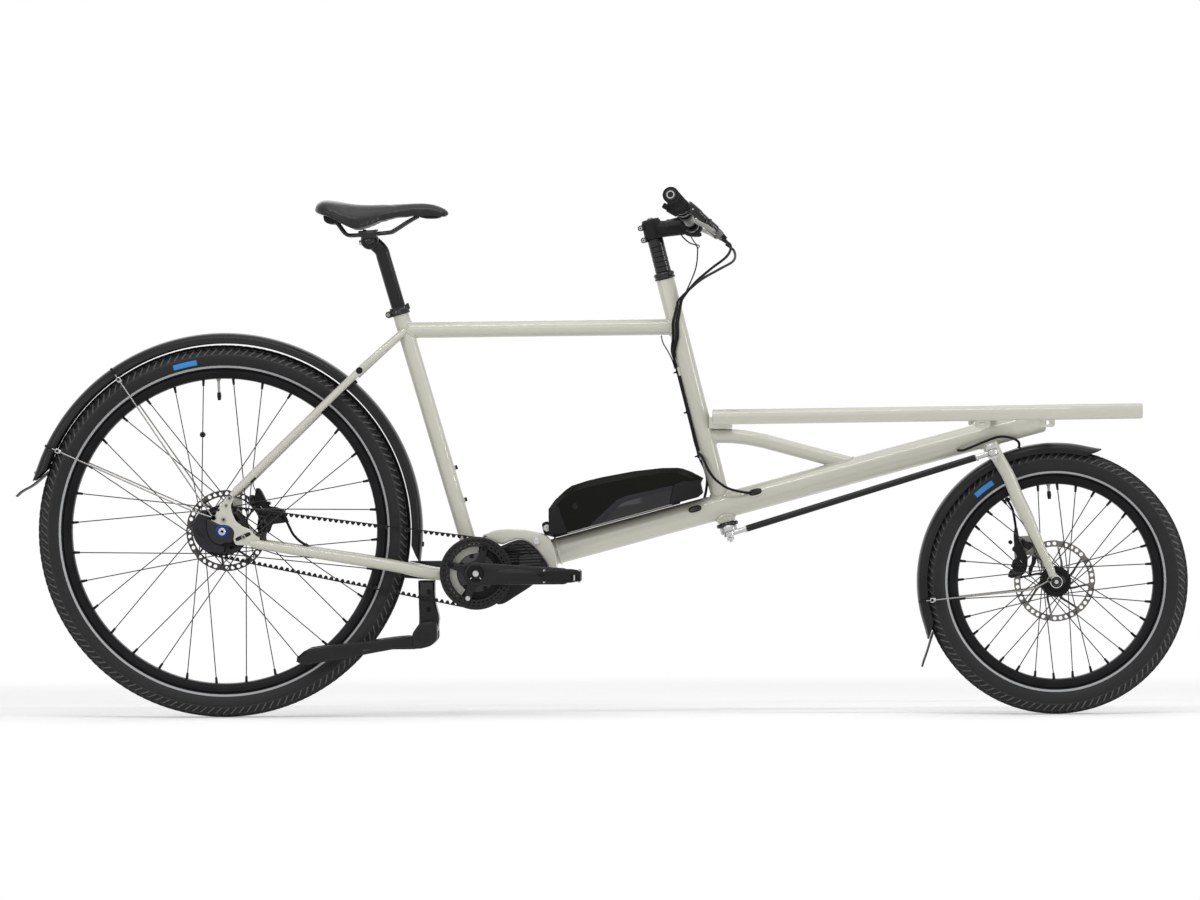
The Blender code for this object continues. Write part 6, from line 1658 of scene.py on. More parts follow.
batteryPanels = [("pod", 0.0004, [(0.715, 0.3715), (0.7707, 0.4235), (0.788, 0.431), (0.881, 0.4515), (0.879, 0.443),
    (0.7935, 0.4222), (0.777, 0.415), (0.744, 0.3795)]), ("gloss", 0.0007,
    [(0.744, 0.3795), (0.777, 0.415), (0.7935, 0.4222), (0.879, 0.443), (0.873, 0.4145)]),
    ("plastic", 0.0012, [(0.8745, 0.416), (0.883, 0.453), (0.901, 0.46), (0.919, 0.459), (0.9385, 0.464),
    (0.9352, 0.4555), (0.9365, 0.442), (0.9385, 0.4365), (0.9295, 0.429)]),
    ("plastic", 0.0012, [(0.6365, 0.356), (0.637, 0.407), (0.648, 0.414), (0.656, 0.411), (0.663, 0.39),
    (0.6715, 0.368), (0.6735, 0.36)])]


def facetShell(pairs, half, depth):
    shape = bmesh.new()
    loops = []
    for side, which in ((-half, 1), (-half + depth, 0), (half - depth, 0), (half, 1)):
        loops.append([shape.verts.new((pair[which][0], side, pair[which][1])) for pair in pairs])
    return skinned(shape, loops)


def buildBattery():
    piece = Piece("battery", "battery_pack", "gloss_black", "battery", angle=24.0)
    half = 0.0452
    piece.take(facetShell(batteryEdge, half, 0.012), "battery")
    for side in (-1.0, 1.0):
        for finish, lift, outline in batteryPanels:
            low, high = sorted((side * (half - 0.0006), side * (half + lift)))
            piece.take(plate(rounded(outline, 0.002, 2), low, high, 0.0002, steps=1), finish)
        piece.take(tube([(0.6735, side * (half + 0.0004), 0.359), (0.878, side * (half + 0.0004), 0.4142)], 0.001, 8),
            "wire")
    return piece.done()


def buildBatteryMount():
    piece = Piece("batteryMount", "frame", "black_plastic", "battery_mount")
    base = boomRadius
    lower = [(-0.016, base + 0.0124), (-0.015, base + 0.0356), (-0.003, base + 0.0366), (-0.0012, base + 0.03),
        (-0.0012, base + 0.0098), (0.258, base + 0.0098), (0.258, base + 0.001), (0.004, base + 0.001)]
    outline = []
    for along, up in lower:
        spot = boomAt(along, up)
        outline.append((spot.x, spot.z))
    piece.take(plate(rounded(outline, [0.006, 0.006, 0.004, 0.002, 0.001, 0.002, 0.002, 0.006], 4), -0.0178, 0.0178,
        0.0012), "plastic")
    return piece.done()


def buildLockAndButton():
    piece = Piece("keyLock", "lock", "steel", "key_lock")
    spot = boomAt(-0.007, boomRadius + 0.0235) - sideways * 0.0183
    piece.take(lathe([(0.0, 0.0042), (0.0052, 0.0042), (0.0056, 0.005), (0.0066, 0.0048), (0.007, 0.004),
        (0.007, 0.0), (0.0, 0.0)], spot, -sideways, 28, closed=False), "steel")
    piece.take(block((0.0012, 0.0014, 0.007), spot - sideways * 0.004, 0.0003, boomAlong, boomUp), "gloss")
    piece.done()
    piece = Piece("batteryButton", "button", "black_plastic", "battery_button")
    spot = boomAt(0.058, boomRadius + 0.05) - sideways * 0.0451
    piece.take(lathe([(0.0, 0.0018), (0.0044, 0.002), (0.0058, 0.0015), (0.006, 0.0009), (0.006, 0.0), (0.0, 0.0)],
        spot, -sideways, 28, closed=False), "plastic")
    return piece.done()


buildShiftUnit()
buildRearAxle()
buildCaliper("rear", "frame", 0.0354, 0.0672, "rear_caliper")
buildGrommet()
buildBattery()
buildBatteryMount()
buildLockAndButton()
print("rear end and battery done")


# Steering and cockpit

armReach = 0.085


def takePin(piece, pin):
    # The bolt and nut that hold an eye of the tie rod on a steering arm.
    piece.take(lathe([(0.0, 0.0068), (0.006, 0.0064), (0.0072, 0.0046), (0.0, 0.0046)], pin, steerUp, 24,
        closed=False), "steel")
    piece.take(tube([pin, pin - steerUp * 0.0226], 0.004, 16), "steel")
    piece.take(hexNut(pin - steerUp * 0.0232, steerUp, 0.0076, 0.0, 0.0062), "steel")


def buildHeadset():
    # Cup, spacers with their seams, the lower ring, the steering arm and its pin.
    piece = Piece("steeringColumn", "steering", "black_metal", "steering_column")
    foot = columnAt(0.8557)
    cup = [(0.0144, 0.0002), (0.019, 0.0002), (0.0204, 0.0016), (0.0206, 0.004), (0.0192, 0.0056), (0.0196, 0.0066),
        (0.0206, 0.009), (0.0202, 0.012), (0.0184, 0.014), (0.016, 0.015), (0.0144, 0.015)]
    piece.take(lathe(cup, foot, steerUp, 48), "gloss")
    top = (columnAt(0.935) - foot).length
    heights = [0.0152, 0.0255, 0.0355, 0.0455, 0.0555, 0.0655, top]
    for low, high in zip(heights, heights[1:]):
        piece.take(lathe([(0.0144, low + 0.0002), (0.015, low + 0.0002), (0.0156, low + 0.0008),
            (0.0156, high - 0.0008), (0.015, high - 0.0002), (0.0144, high - 0.0002)], foot, steerUp, 44), "gloss")
    piece.take(tube([columnAt(0.376), columnAt(0.936)], 0.0143, 32), "black")
    ring = columnAt(0.3782)
    piece.take(lathe([(0.015, 0.0), (0.0196, -0.0002), (0.0216, -0.0024), (0.022, -0.0052), (0.0206, -0.0078),
        (0.0186, -0.0084), (0.015, -0.0084)], ring, steerUp, 44), "gloss")
    piece.take(lathe([(0.0, -0.008), (0.0165, -0.008), (0.017, -0.009), (0.017, -0.02), (0.015, -0.0222),
        (0.008, -0.0226), (0.0, -0.0226)], ring, steerUp, 36, closed=False), "steel")
    arm = columnAt(0.367)
    for start, end, size in ((0.004, 0.07, (0.02, 0.0092)), (0.066, 0.096, (0.017, 0.0092))):
        middle = arm - sideways * (start + end) / 2
        piece.take(block((size[0], end - start, size[1]), middle, 0.0026, steerAhead, steerUp, 3), "steel")
    pin = arm - sideways * armReach
    takePin(piece, pin)
    piece.take(tube([pin - steerUp * 0.0232, pin - steerUp * 0.0262], 0.0034, 14, cap=0.0008), "steel")
    return piece.done()


def buildTieRod():
    piece = Piece("tieRod", "steering_rod", "black_metal", "tie_rod")
    rear = columnAt(0.367) - steerUp * 0.0106 - sideways * 0.085
    front = forkAt(0.52452) - steerUp * 0.0106 - sideways * 0.085
    ahead = (front - rear).normalized()
    piece.take(tube([rear + ahead * 0.036, front - ahead * 0.036], 0.0066, 24, cap=0.001), "satin")
    for eye, way in ((rear, ahead), (front, -ahead)):
        piece.take(lathe([(0.0046, 0.005), (0.0098, 0.005), (0.011, 0.0036), (0.011, -0.0036), (0.0098, -0.005),
            (0.0046, -0.005)], eye, steerUp, 32), "steel")
        piece.take(tube([eye + way * 0.01, eye + way * 0.018, eye + way * 0.04], [0.005, 0.0052, 0.0046], 16),
            "steel")
        piece.take(hexNut(eye + way * 0.03, way, 0.0072, 0.0, 0.005), "steel")
    return piece.done()


def buildStem():
    piece = Piece("stem", "steering", "black_metal", "stem")
    low, high = columnAt(0.9355), columnAt(0.97)
    length = (high - low).length
    piece.take(lathe([(0.0145, 0.0), (0.0186, 0.0), (0.0194, 0.0012), (0.0195, 0.006), (0.019, 0.018),
        (0.0195, length - 0.004), (0.0188, length - 0.0006), (0.018, length), (0.0145, length)], low, steerUp, 44),
        "plastic")
    piece.take(lathe([(0.0, 0.0052), (0.006, 0.0052), (0.0066, 0.004), (0.015, 0.004), (0.0172, 0.003),
        (0.0176, 0.001), (0.0176, 0.0), (0.0, 0.0)], high, steerUp, 40, closed=False), "satin")
    piece.take(socketBolt(high + steerUp * 0.0044, steerUp, 0.0046, 0.003), "steel")
    for z in (0.9375, 0.961):
        spot = columnAt(z) - steerAhead * 0.0195
        piece.take(block((0.01, 0.023, 0.01), spot, 0.003, steerAhead, steerUp, 3), "plastic")
        head = spot - sideways * 0.0113 - steerAhead * 0.003
        piece.take(lathe([(0.0, 0.0), (0.0056, 0.0), (0.0056, 0.0012), (0.0034, 0.0014), (0.0, 0.001)], head,
            -sideways, 20, closed=False), "gloss")
        piece.take(lathe([(0.0018, 0.002), (0.0034, 0.002), (0.0038, 0.001), (0.0018, 0.0008)], head, -sideways, 18),
            "steel")
    middle, clamp = columnAt(0.9525), barAt(0.0)
    piece.take(tube([middle + steerAhead * 0.004, middle.lerp(clamp, 0.3), middle.lerp(clamp, 0.8), clamp],
        [0.0172, 0.0162, 0.0158, 0.0166], 36, flat=1.0), "plastic")
    piece.take(lathe([(0.0162, 0.0225), (0.0206, 0.0225), (0.0215, 0.0214), (0.0215, -0.0214), (0.0206, -0.0225),
        (0.0162, -0.0225)], clamp, sideways, 44), "satin")
    for side in (-0.015, 0.015):
        for lift in (-0.017, 0.0158):
            spot = clamp + Vector((0.013, side, lift))
            piece.take(block((0.015, 0.011, 0.01), spot - Vector((0.004, 0.0, 0.0)), 0.0026), "satin")
            piece.take(socketBolt(spot + Vector((0.003, 0.0, 0.0)), (1.0, 0.0, 0.0), 0.0032, 0.003), "black")
    return piece.done()


def barPoints():
    sides = [0.3315, 0.25, 0.175, 0.143, 0.131, 0.121, 0.105, 0.06, 0.046, 0.032, 0.024]
    return [barAt(side) for side in sides] + [barAt(0.0)] + [barAt(-side) for side in reversed(sides)]


def buildBar():
    piece = Piece("handlebar", "steering", "black_metal", "handlebar")
    points = barPoints()
    shape = tube(points, 0.0111, 32, lead=Vector((0.0, 0.0, 1.0)))
    piece.take(shape, "satin")
    piece.take(tube(points[7:16], [0.0111, 0.0136, 0.0159, 0.0159, 0.0159, 0.0159, 0.0159, 0.0136, 0.0111], 32,
        lead=Vector((0.0, 0.0, 1.0))), "satin")
    # A light grey ring on each side where the bar bends up: a painted reflection of the lamps on the bend.
    for out in (-1.0, 1.0):
        face = beside(barAt(0.056), out * 0.056)
        piece.take(lathe([(0.01, -0.004), (0.0118, -0.0036), (0.0122, -0.001), (0.0116, 0.003), (0.01, 0.0036)], face,
            sideways * out, 40), "greyAndSheen")
    return piece.done()


def buildGrip(name, side, cadNode):
    piece = Piece(name, "steering", "grip_rubber", cadNode)
    first, last = barAt(side * 0.2052), barAt(side * 0.3306)
    along = (last - first).normalized()
    length = (last - first).length
    body = [(0.0114, 0.0), (0.015, 0.0), (0.0158, 0.001), (0.0158, 0.007), (0.015, 0.008), (0.0148, 0.012),
        (0.0153, 0.05), (0.0148, length - 0.014), (0.015, length - 0.009), (0.0158, length - 0.008),
        (0.0158, length - 0.0012), (0.015, length), (0.0114, length)]
    piece.take(lathe(body, first, along, 44), "grip")
    for number in range(22):
        piece.take(lathe([(0.0146, -0.0008), (0.0156, -0.0004), (0.0156, 0.0004), (0.0146, 0.0008)],
            first + along * (0.015 + 0.0047 * number), along, 36), "grip")
    piece.take(lathe([(0.0, 0.0012), (0.0046, 0.001), (0.0052, 0.0002), (0.011, 0.0002), (0.0118, -0.0008),
        (0.0118, -0.003), (0.0, -0.003)], last + along * 0.0002, along, 36, closed=False), "plastic")
    piece.take(lathe([(0.0056, 0.001), (0.008, 0.001), (0.0084, 0.0004), (0.0084, -0.0004), (0.0056, -0.0004)],
        last + along * 0.0004, along, 32), "wire")
    piece.take(lathe([(0.0152, 0.008), (0.016, 0.0078), (0.016, 0.0014), (0.0152, 0.0012)], first, along, 36),
        "black")
    return piece.done()


def buildBrake(name, side, cadNode):
    # The ring on the bar, the cylinder and the ear that carries the lever.
    piece = Piece(name, "steering", "black_metal", cadNode)
    middle = barAt(side * 0.182)
    along = (barAt(side * 0.2) - barAt(side * 0.17)).normalized()
    piece.take(lathe([(0.0114, 0.007), (0.015, 0.007), (0.0158, 0.006), (0.0158, -0.006), (0.015, -0.007),
        (0.0114, -0.007)], middle, along, 36), "black")
    start, end = Vector((0.912, side * 0.195, 0.9975)), Vector((0.98, side * 0.169, 0.9376))
    way = (end - start).normalized()
    length = (end - start).length
    piece.take(lathe([(0.0, -0.001), (0.0076, -0.0006), (0.0096, 0.0026), (0.01, length * 0.3),
        (0.0092, length * 0.34), (0.0085, length * 0.4), (0.0085, length * 0.8), (0.0066, length * 0.84),
        (0.0, length * 0.84)], start, way, 28, closed=False), "gloss")
    piece.take(lathe([(0.0, length * 0.83), (0.0064, length * 0.83), (0.0068, length * 0.9), (0.0058, length * 0.98),
        (0.0, length)], start, way, 24, closed=False), "greyAndSheen")
    piece.take(tube([middle, start.lerp(end, 0.2)], [0.01, 0.0086], 20), "satin")
    for share, height in ((0.16, 0.01), (0.62, 0.0085)):
        spot = start.lerp(end, share) - sideways * height
        piece.take(lathe([(0.0, 0.001), (0.0014, 0.0009), (0.002, 0.0), (0.0, 0.0)], spot, -sideways, 12,
            closed=False), "steel")
    piece.take(lathe([(0.0, -0.006), (0.0044, -0.006), (0.0048, 0.0), (0.004, 0.006), (0.0034, 0.01), (0.0, 0.01)],
        end, Vector((0.62, side * 0.07, -0.58)), 16, closed=False), "plastic")
    hinge = Vector((0.953, side * 0.188, 0.9645))
    ear = start.lerp(end, 0.45)
    piece.take(tube([ear, ear.lerp(hinge, 0.6), hinge - (hinge - ear).normalized() * 0.004], [0.0078, 0.0066, 0.005],
        16, cap=0.001), "gloss")
    for lift in (-1.0, 1.0):
        piece.take(socketBolt(middle + Vector((0.015, side * 0.004 * lift, 0.006 * lift)), (1.0, 0.0, 0.25), 0.0028,
            0.0022), "steel")
    return piece.done()


def buildLever(name, side, body, cadNode):
    piece = Piece(name, body, "black_metal", cadNode)
    hinge = Vector((0.953, side * 0.188, 0.9645))
    root, tip = Vector((0.966, side * 0.18, 0.942)), Vector((0.927, side * 0.303, 0.964))
    pull = Vector((-0.98, 0.0, 0.18))
    axis = (tip - hinge).cross(pull).normalized()
    piece.take(lathe([(0.0022, 0.0058), (0.0056, 0.0058), (0.0064, 0.005), (0.0064, -0.005), (0.0056, -0.0058),
        (0.0022, -0.0058)], hinge, axis, 24), "gloss")
    piece.take(lathe([(0.0, 0.0064), (0.0022, 0.0064), (0.0026, 0.0058), (0.0026, -0.0058), (0.0022, -0.0064),
        (0.0, -0.0064)], hinge, axis, 18, closed=False), "steel")
    piece.take(tube(through([hinge, hinge.lerp(root, 0.6), root], 4), 0.005, 16, flat=0.8, lead=axis, cap=0.001),
        "gloss")
    points = through([root, root.lerp(tip, 0.2) - pull * 0.003, root.lerp(tip, 0.5) - pull * 0.004,
        root.lerp(tip, 0.85), root.lerp(tip, 0.96) - pull * 0.001, tip - pull * 0.003], 6)
    piece.take(tube(points, [0.0044, 0.005, 0.0044, 0.0042, 0.0044, 0.005], 20, flat=0.72, lead=axis, cap=0.0012),
        "wire")
    return piece.done()


def buildDisplay():
    piece = Piece("display", "steering", "gloss_black", "display")
    piece.take(lathe([(0.0114, 0.0064), (0.0146, 0.0064), (0.0154, 0.0056), (0.0154, -0.0056), (0.0146, -0.0064),
        (0.0114, -0.0064)], barAt(-0.066), sideways, 36), "plastic")
    lean = math.radians(16.0)
    ahead = Vector((math.cos(lean), 0.0, math.sin(lean)))
    up = Vector((-ahead.z, 0.0, ahead.x))
    centre = Vector((0.8832, -0.066, 0.9665))
    piece.take(block((0.033, 0.035, 0.0125), centre, 0.004, ahead, up, 3), "gloss")
    piece.take(block((0.027, 0.029, 0.0016), centre + up * 0.006, 0.0006, ahead, up), "gloss")
    piece.take(tube([centre + ahead * 0.013, centre + ahead * 0.028], [0.0058, 0.004], 16, cap=0.001), "plastic")
    for shift in (-0.01, 0.0, 0.01):
        spot = centre - ahead * 0.009 + up * 0.0066 + sideways * shift
        piece.take(lathe([(0.0, 0.0012), (0.0026, 0.001), (0.003, 0.0), (0.0, 0.0)], spot, up, 14, closed=False),
            "grip")
    return piece.done()


def buildShifter():
    clamp = Piece("shiftClamp", "steering", "black_plastic")
    middle = barAt(-0.143)
    way = (barAt(-0.149) - barAt(-0.137)).normalized()
    clamp.take(lathe([(0.0114, 0.0078), (0.014, 0.0078), (0.0148, 0.0068), (0.0148, -0.0068), (0.014, -0.0078),
        (0.0114, -0.0078)], middle, way, 36), "plastic")
    clamp.take(tube([middle, (0.888, -0.158, 0.985)], [0.0086, 0.0074], 20), "plastic")
    clamp.take(block((0.023, 0.03, 0.015), (0.884, -0.168, 0.986), 0.004, (0.86, 0.0, -0.5), (0.5, 0.0, 0.86), 3),
        "plastic")
    clamp.done()
    piece = Piece("shiftSwitch", "shifter", "black_plastic", "shift_switch")
    piece.take(block((0.012, 0.022, 0.011), (0.87, -0.18, 0.994), 0.003, (0.86, 0.0, -0.5), (0.5, 0.0, 0.86), 3),
        "grip")
    return piece.done()


buildHeadset()
buildTieRod()
buildStem()
buildBar()
buildGrip("gripRight", -1.0, "grip_right")
buildGrip("gripLeft", 1.0, "grip_left")
buildBrake("brakeRight", -1.0, "brake_body_right")
buildBrake("brakeLeft", 1.0, "brake_body_left")
buildLever("leverRight", -1.0, "right_lever", "brake_lever_right")
buildLever("leverLeft", 1.0, "left_lever", "brake_lever_left")
buildDisplay()
buildShifter()
print("cockpit done")


# Fork

forkSize = {"side": 0.0505, "crown": 0.51102, "arm": 0.52452, "ends": (0.0503, 0.0563)}


def buildFork():
    piece = Piece("fork", "front_fork", "greige_paint", "fork")
    crown = forkAt(forkSize["crown"])
    top = forkAt(0.5615)
    piece.take(tube([crown, top], 0.0143, 36), "paint")
    piece.take(tube([beside(crown, -0.05), beside(crown, -0.025), beside(crown, 0.025), beside(crown, 0.05)],
        [0.0112, 0.0105, 0.0105, 0.0112], 32, cap=0.002), "paint")
    armSpot = forkAt(forkSize["arm"])
    for side in (-1.0, 1.0):
        height = forkAt(forkSize["arm"] + 0.0015)
        points = through([(height.x + 0.001, side * forkSize["side"], height.z + 0.006),
            (crown.x + 0.006, side * forkSize["side"], crown.z), (1.5364, side * forkSize["side"], 0.4689),
            (1.5531, side * 0.0512, 0.4291), (1.5728, side * 0.0525, 0.3891), (1.5987, side * 0.0533, 0.3292),
            (1.6168, side * 0.0533, 0.2893), (1.623, side * 0.0533, 0.271)], 6)
        piece.take(tube(points, [0.0128, 0.013, 0.0128, 0.0127, 0.0122, 0.009, 0.008, 0.0074], 36, lead=steerAhead,
            cap=0.0018), "paint")
        bore = [ringOf(frontHub, 0.0064, 24)]
        low, high = sorted(side * end for end in forkSize["ends"])
        outline = ofArc(frontHub, 0.0118, -150.0, 50.0, 20)
        if side < 0.0:
            outline += [(1.626, 0.28), (1.613, 0.28)]
        else:
            outline += [(1.624, 0.3), (1.6, 0.35), (1.562, 0.348), (1.55, 0.338), (1.552, 0.29), (1.564, 0.288),
                (1.572, 0.31), (1.588, 0.312), (1.604, 0.288)]
        piece.take(plate(rounded(outline, 0.004, 3), low, high, 0.0012, bore), "paint")
    arm = armSpot - sideways * 0.069
    piece.take(block((0.02, 0.05, 0.0094), arm, 0.0026, steerAhead, steerUp, 3), "steel")
    pin = armSpot - sideways * armReach
    takePin(piece, pin)
    for lift in (-0.012, 0.008):
        piece.take(socketBolt(beside(crown + steerUp * lift + steerAhead * 0.001, -0.064), -sideways, 0.0044, 0.003),
            "steel")
    return piece.done()


def buildFrontAxle():
    piece = Piece("frontAxle", "front_fork", "steel", "front_axle")
    for out in (-1.0, 1.0):
        piece.take(lathe([(0.006, 0.0566), (0.0118, 0.0566), (0.0124, 0.0574), (0.0124, 0.0604), (0.0118, 0.061),
            (0.0106, 0.061), (0.0104, 0.0596), (0.006, 0.0594)], frontHub, sideways * out, 40), "steel")
        piece.take(lathe([(0.005, 0.059), (0.0103, 0.0596), (0.0096, 0.0618), (0.008, 0.063), (0.005, 0.062)],
            frontHub, sideways * out, 40), "gloss")
        piece.take(lathe([(0.0, 0.0646), (0.0036, 0.0644), (0.0046, 0.0634), (0.0052, 0.06), (0.0052, 0.05),
            (0.0, 0.05)], frontHub, sideways * out, 24, closed=False), "steel")
    piece.take(tube([frontHub - sideways * 0.056, frontHub + sideways * 0.056], 0.0058, 20), "steel")
    return piece.done()


buildFork()
buildFrontAxle()
buildCaliper("front", "front_fork", 0.0245, 0.0497, "front_caliper")
print("fork done")


# Mudguards

guardSizes = {"rear": {"hub": rearHub, "radius": 0.3878, "start": -9.0, "end": 165.0, "steps": 116, "slant": 4.5},
    "front": {"hub": frontHub, "radius": 0.2712, "start": 70.8, "end": 204.0, "steps": 90, "slant": 6.5},
    "half": 0.0312, "wall": 0.0022}


def guardProfile(radius):
    half, wall = guardSizes["half"], guardSizes["wall"]
    knots = [(radius - 0.0176, -half), (radius - 0.011, -half + 0.001), (radius - 0.005, -half + 0.0042),
        (radius - 0.0012, -half + 0.011), (radius + 0.0008, -0.01), (radius + 0.0012, 0.0)]
    half = [tuple(point) for point in through([(r, side, 0.0) for r, side in knots], 3)]
    outside = [(point[0], point[1]) for point in half]
    outside += [(r, -side) for r, side in reversed(outside[:-1])]
    inside = [(r - wall, side * 0.93) for r, side in outside]
    lip = [(outside[-1][0] - 0.0012, outside[-1][1]), (inside[-1][0], inside[-1][1])]
    start = [(inside[0][0], inside[0][1]), (outside[0][0] - 0.0012, outside[0][1])]
    return outside + lip[:1] + list(reversed(inside)) + start[1:]


def sweptArc(profile, size):
    # The profile swept round the hub; its side walls fade into the crown towards both ends.
    hub, start, end, steps, slant = size["hub"], size["start"], size["end"], size["steps"], size["slant"]
    crown = size["radius"] + 0.0012
    shape = bmesh.new()
    rings = []
    for step in range(steps + 1):
        at = start + (end - start) * step / steps
        near = min(at - start, end - at) / slant
        depth = 0.14 + 0.86 * min(near, 1.0) ** 0.8
        lift = 0.003 * max(1.0 - near, 0.0) ** 2 if size is guardSizes["front"] else 0.0
        turn = math.radians(at)
        ring = []
        for r, side in profile:
            reach = crown + (r - crown) * depth + lift
            ring.append(shape.verts.new((hub.x + reach * math.cos(turn), side, hub.z + reach * math.sin(turn))))
        rings.append(ring)
    return skinned(shape, rings)


def flap(points, halfWidth, thick):
    # A rubber sheet bent along points, narrower and rounder at its tip.
    shape = bmesh.new()
    rings = []
    for index, point in enumerate(points):
        before, after = points[max(index - 1, 0)], points[min(index + 1, len(points) - 1)]
        along = (after - before).normalized()
        off = Vector((-along.z, 0.0, along.x)) * thick / 2
        share = index / (len(points) - 1)
        wide = halfWidth * (1.0 - 0.3 * max(share - 0.75, 0.0) / 0.25)
        ring = []
        for across in (-1.0, -0.5, 0.0, 0.5, 1.0):
            ring.append(point + off + sideways * across * wide)
        for across in (1.0, 0.5, 0.0, -0.5, -1.0):
            ring.append(point - off + sideways * across * wide)
        rings.append([shape.verts.new(spot) for spot in ring])
    return skinned(shape, rings)


def polar(hub, radius, turn, side=0.0):
    turn = math.radians(turn)
    return Vector((hub.x + radius * math.cos(turn), side, hub.z + radius * math.sin(turn)))


def buildGuard(name, which, body, tip, cadNode):
    size = guardSizes[which]
    hub, radius = size["hub"], size["radius"]
    piece = Piece(name, body, "black_plastic", cadNode, angle=50.0)
    piece.take(sweptArc(guardProfile(radius), size), "guard")
    points = [Vector((x, 0.0, z)) for x, z in tip]
    piece.take(flap(through(points, 6), 0.0245, 0.0034), "flap")
    for side in (-0.014, 0.014):
        spot = polar(hub, radius + 0.0012, size["end"] - 2.4, side)
        ray = (spot - beside(hub, side)).normalized()
        piece.take(lathe([(0.0, 0.0012), (0.0022, 0.001), (0.0032, 0.0), (0.0, -0.0004)], spot, ray, 14,
            closed=False), "black")
    return piece.done()


def buildGuardMounts():
    # Bolts that hold the guards under the frame and over the crown.
    piece = Piece("guardBolts", "frame", "black_metal")
    for turn, size in ((49.5, 0.0062), (-4.0, 0.005)):
        spot = polar(rearHub, guardSizes["rear"]["radius"] + 0.001, turn)
        ray = (spot - rearHub).normalized()
        if turn > 0.0:
            piece.take(block((0.004, 0.02, 0.016), spot + ray * 0.001, 0.0012, ray, sideways), "plastic")
        else:
            piece.take(socketBolt(spot, ray, size, 0.003), "black")
    piece.done()
    piece = Piece("crownBracket", "front_fork", "black_metal")
    crown = forkAt(0.51102)
    foot = polar(frontHub, guardSizes["front"]["radius"], 117.5)
    piece.take(tube([crown + Vector((0.006, 0.0, -0.004)), foot + (crown - foot) * 0.45, foot], 0.005, 14, flat=0.4),
        "black")
    return piece.done()


def stayRoute(size, turn, eyelet, bend, outside, inside):
    hub, radius = size["hub"], size["radius"]
    edge = polar(hub, radius - 0.025, turn)
    return [beside(eyelet, outside), beside(bend, outside - 0.002), beside(edge, 0.037), beside(edge, inside),
        polar(hub, radius - 0.0155, turn, inside - 0.0015), polar(hub, radius - 0.0062, turn, inside - 0.0065),
        polar(hub, radius - 0.0042, turn, 0.011)]


def buildStays(name, body, size, stays, outside, cadNode, inside):
    # Bent rods from the eyelets to clamps at the guard's edge, with a capped end beyond each clamp.
    piece = Piece(name, body, "steel", cadNode)
    for eyelet, bend, turn in stays:
        for side in (-1.0, 1.0):
            half = [Vector((point.x, point.y * side, point.z)) for point in stayRoute(size, turn, eyelet, bend,
                outside, inside)]
            start = [half[0], half[0].lerp(half[1], 0.85), half[1].lerp(half[2], 0.05), half[1].lerp(half[2], 0.93),
                half[2].lerp(half[3], 0.2)]
            piece.take(tube(start + through(half[3:], 3), 0.0015, 12), "wire")
            foot = half[0]
            piece.take(disc(0.005, -0.0018, 0.0022, foot, sideways * side, 0.0006, 20), "wire")
            piece.take(socketBolt(foot + sideways * side * 0.002, sideways * side, 0.0036, 0.0022), "black")
            edge = half[2]
            out = Vector((edge.x - half[1].x, 0.0, edge.z - half[1].z)).normalized()
            up = Vector((-out.z, 0.0, out.x))
            clamp = Vector((edge.x, side * 0.0372, edge.z))
            piece.take(block((0.0078, 0.0062, 0.0092), clamp - out * 0.0012, 0.0012, out, up), "steel")
            piece.take(hexNut(clamp - out * 0.0064, out, 0.004, -0.0012, 0.0018), "steel")
            piece.take(lathe([(0.0, 0.0022), (0.0024, 0.0018), (0.003, 0.0006), (0.003, -0.001), (0.0, -0.001)],
                clamp + sideways * side * 0.0036 - out * 0.001, sideways * side, 14, closed=False), "black")
            piece.take(tube([clamp + out * 0.001, clamp + out * 0.013], 0.0015, 10), "wire")
            piece.take(tube([clamp + out * 0.011, clamp + out * 0.025], 0.0024, 12, cap=0.001), "plastic")
    return piece.done()


buildGuard("rearGuard", "rear", "frame", [(-0.344, 0.4825), (-0.356, 0.4725), (-0.376, 0.456), (-0.396, 0.445),
    (-0.408, 0.4345)], "rear_fender")
buildGuard("frontGuard", "front", "front_fork", [(1.39, 0.162), (1.3845, 0.146), (1.378, 0.125), (1.372, 0.108),
    (1.3675, 0.0935)], "front_fender")
buildGuardMounts()
rearEye = Vector((-0.017, 0.0, 0.392))
frontEye = frontHub + Vector((-0.0132, 0.0, 0.004))
buildStays("rearStays", "frame", guardSizes["rear"], [(rearEye, Vector((-0.04, 0.0, 0.423)), 124.5),
    (rearEye, Vector((-0.06, 0.0, 0.406)), 154.0)], 0.0758, "rear_fender_stays", 0.027)
buildStays("frontStays", "front_fork", guardSizes["front"], [(frontEye, frontHub + Vector((-0.0461, 0.0, -0.015)),
    188.3)], 0.0582, "front_fender_stay", 0.0275)
print("mudguards done")


# Seat

seatPivot = Vector((0.2916, 0.0, 0.9308))


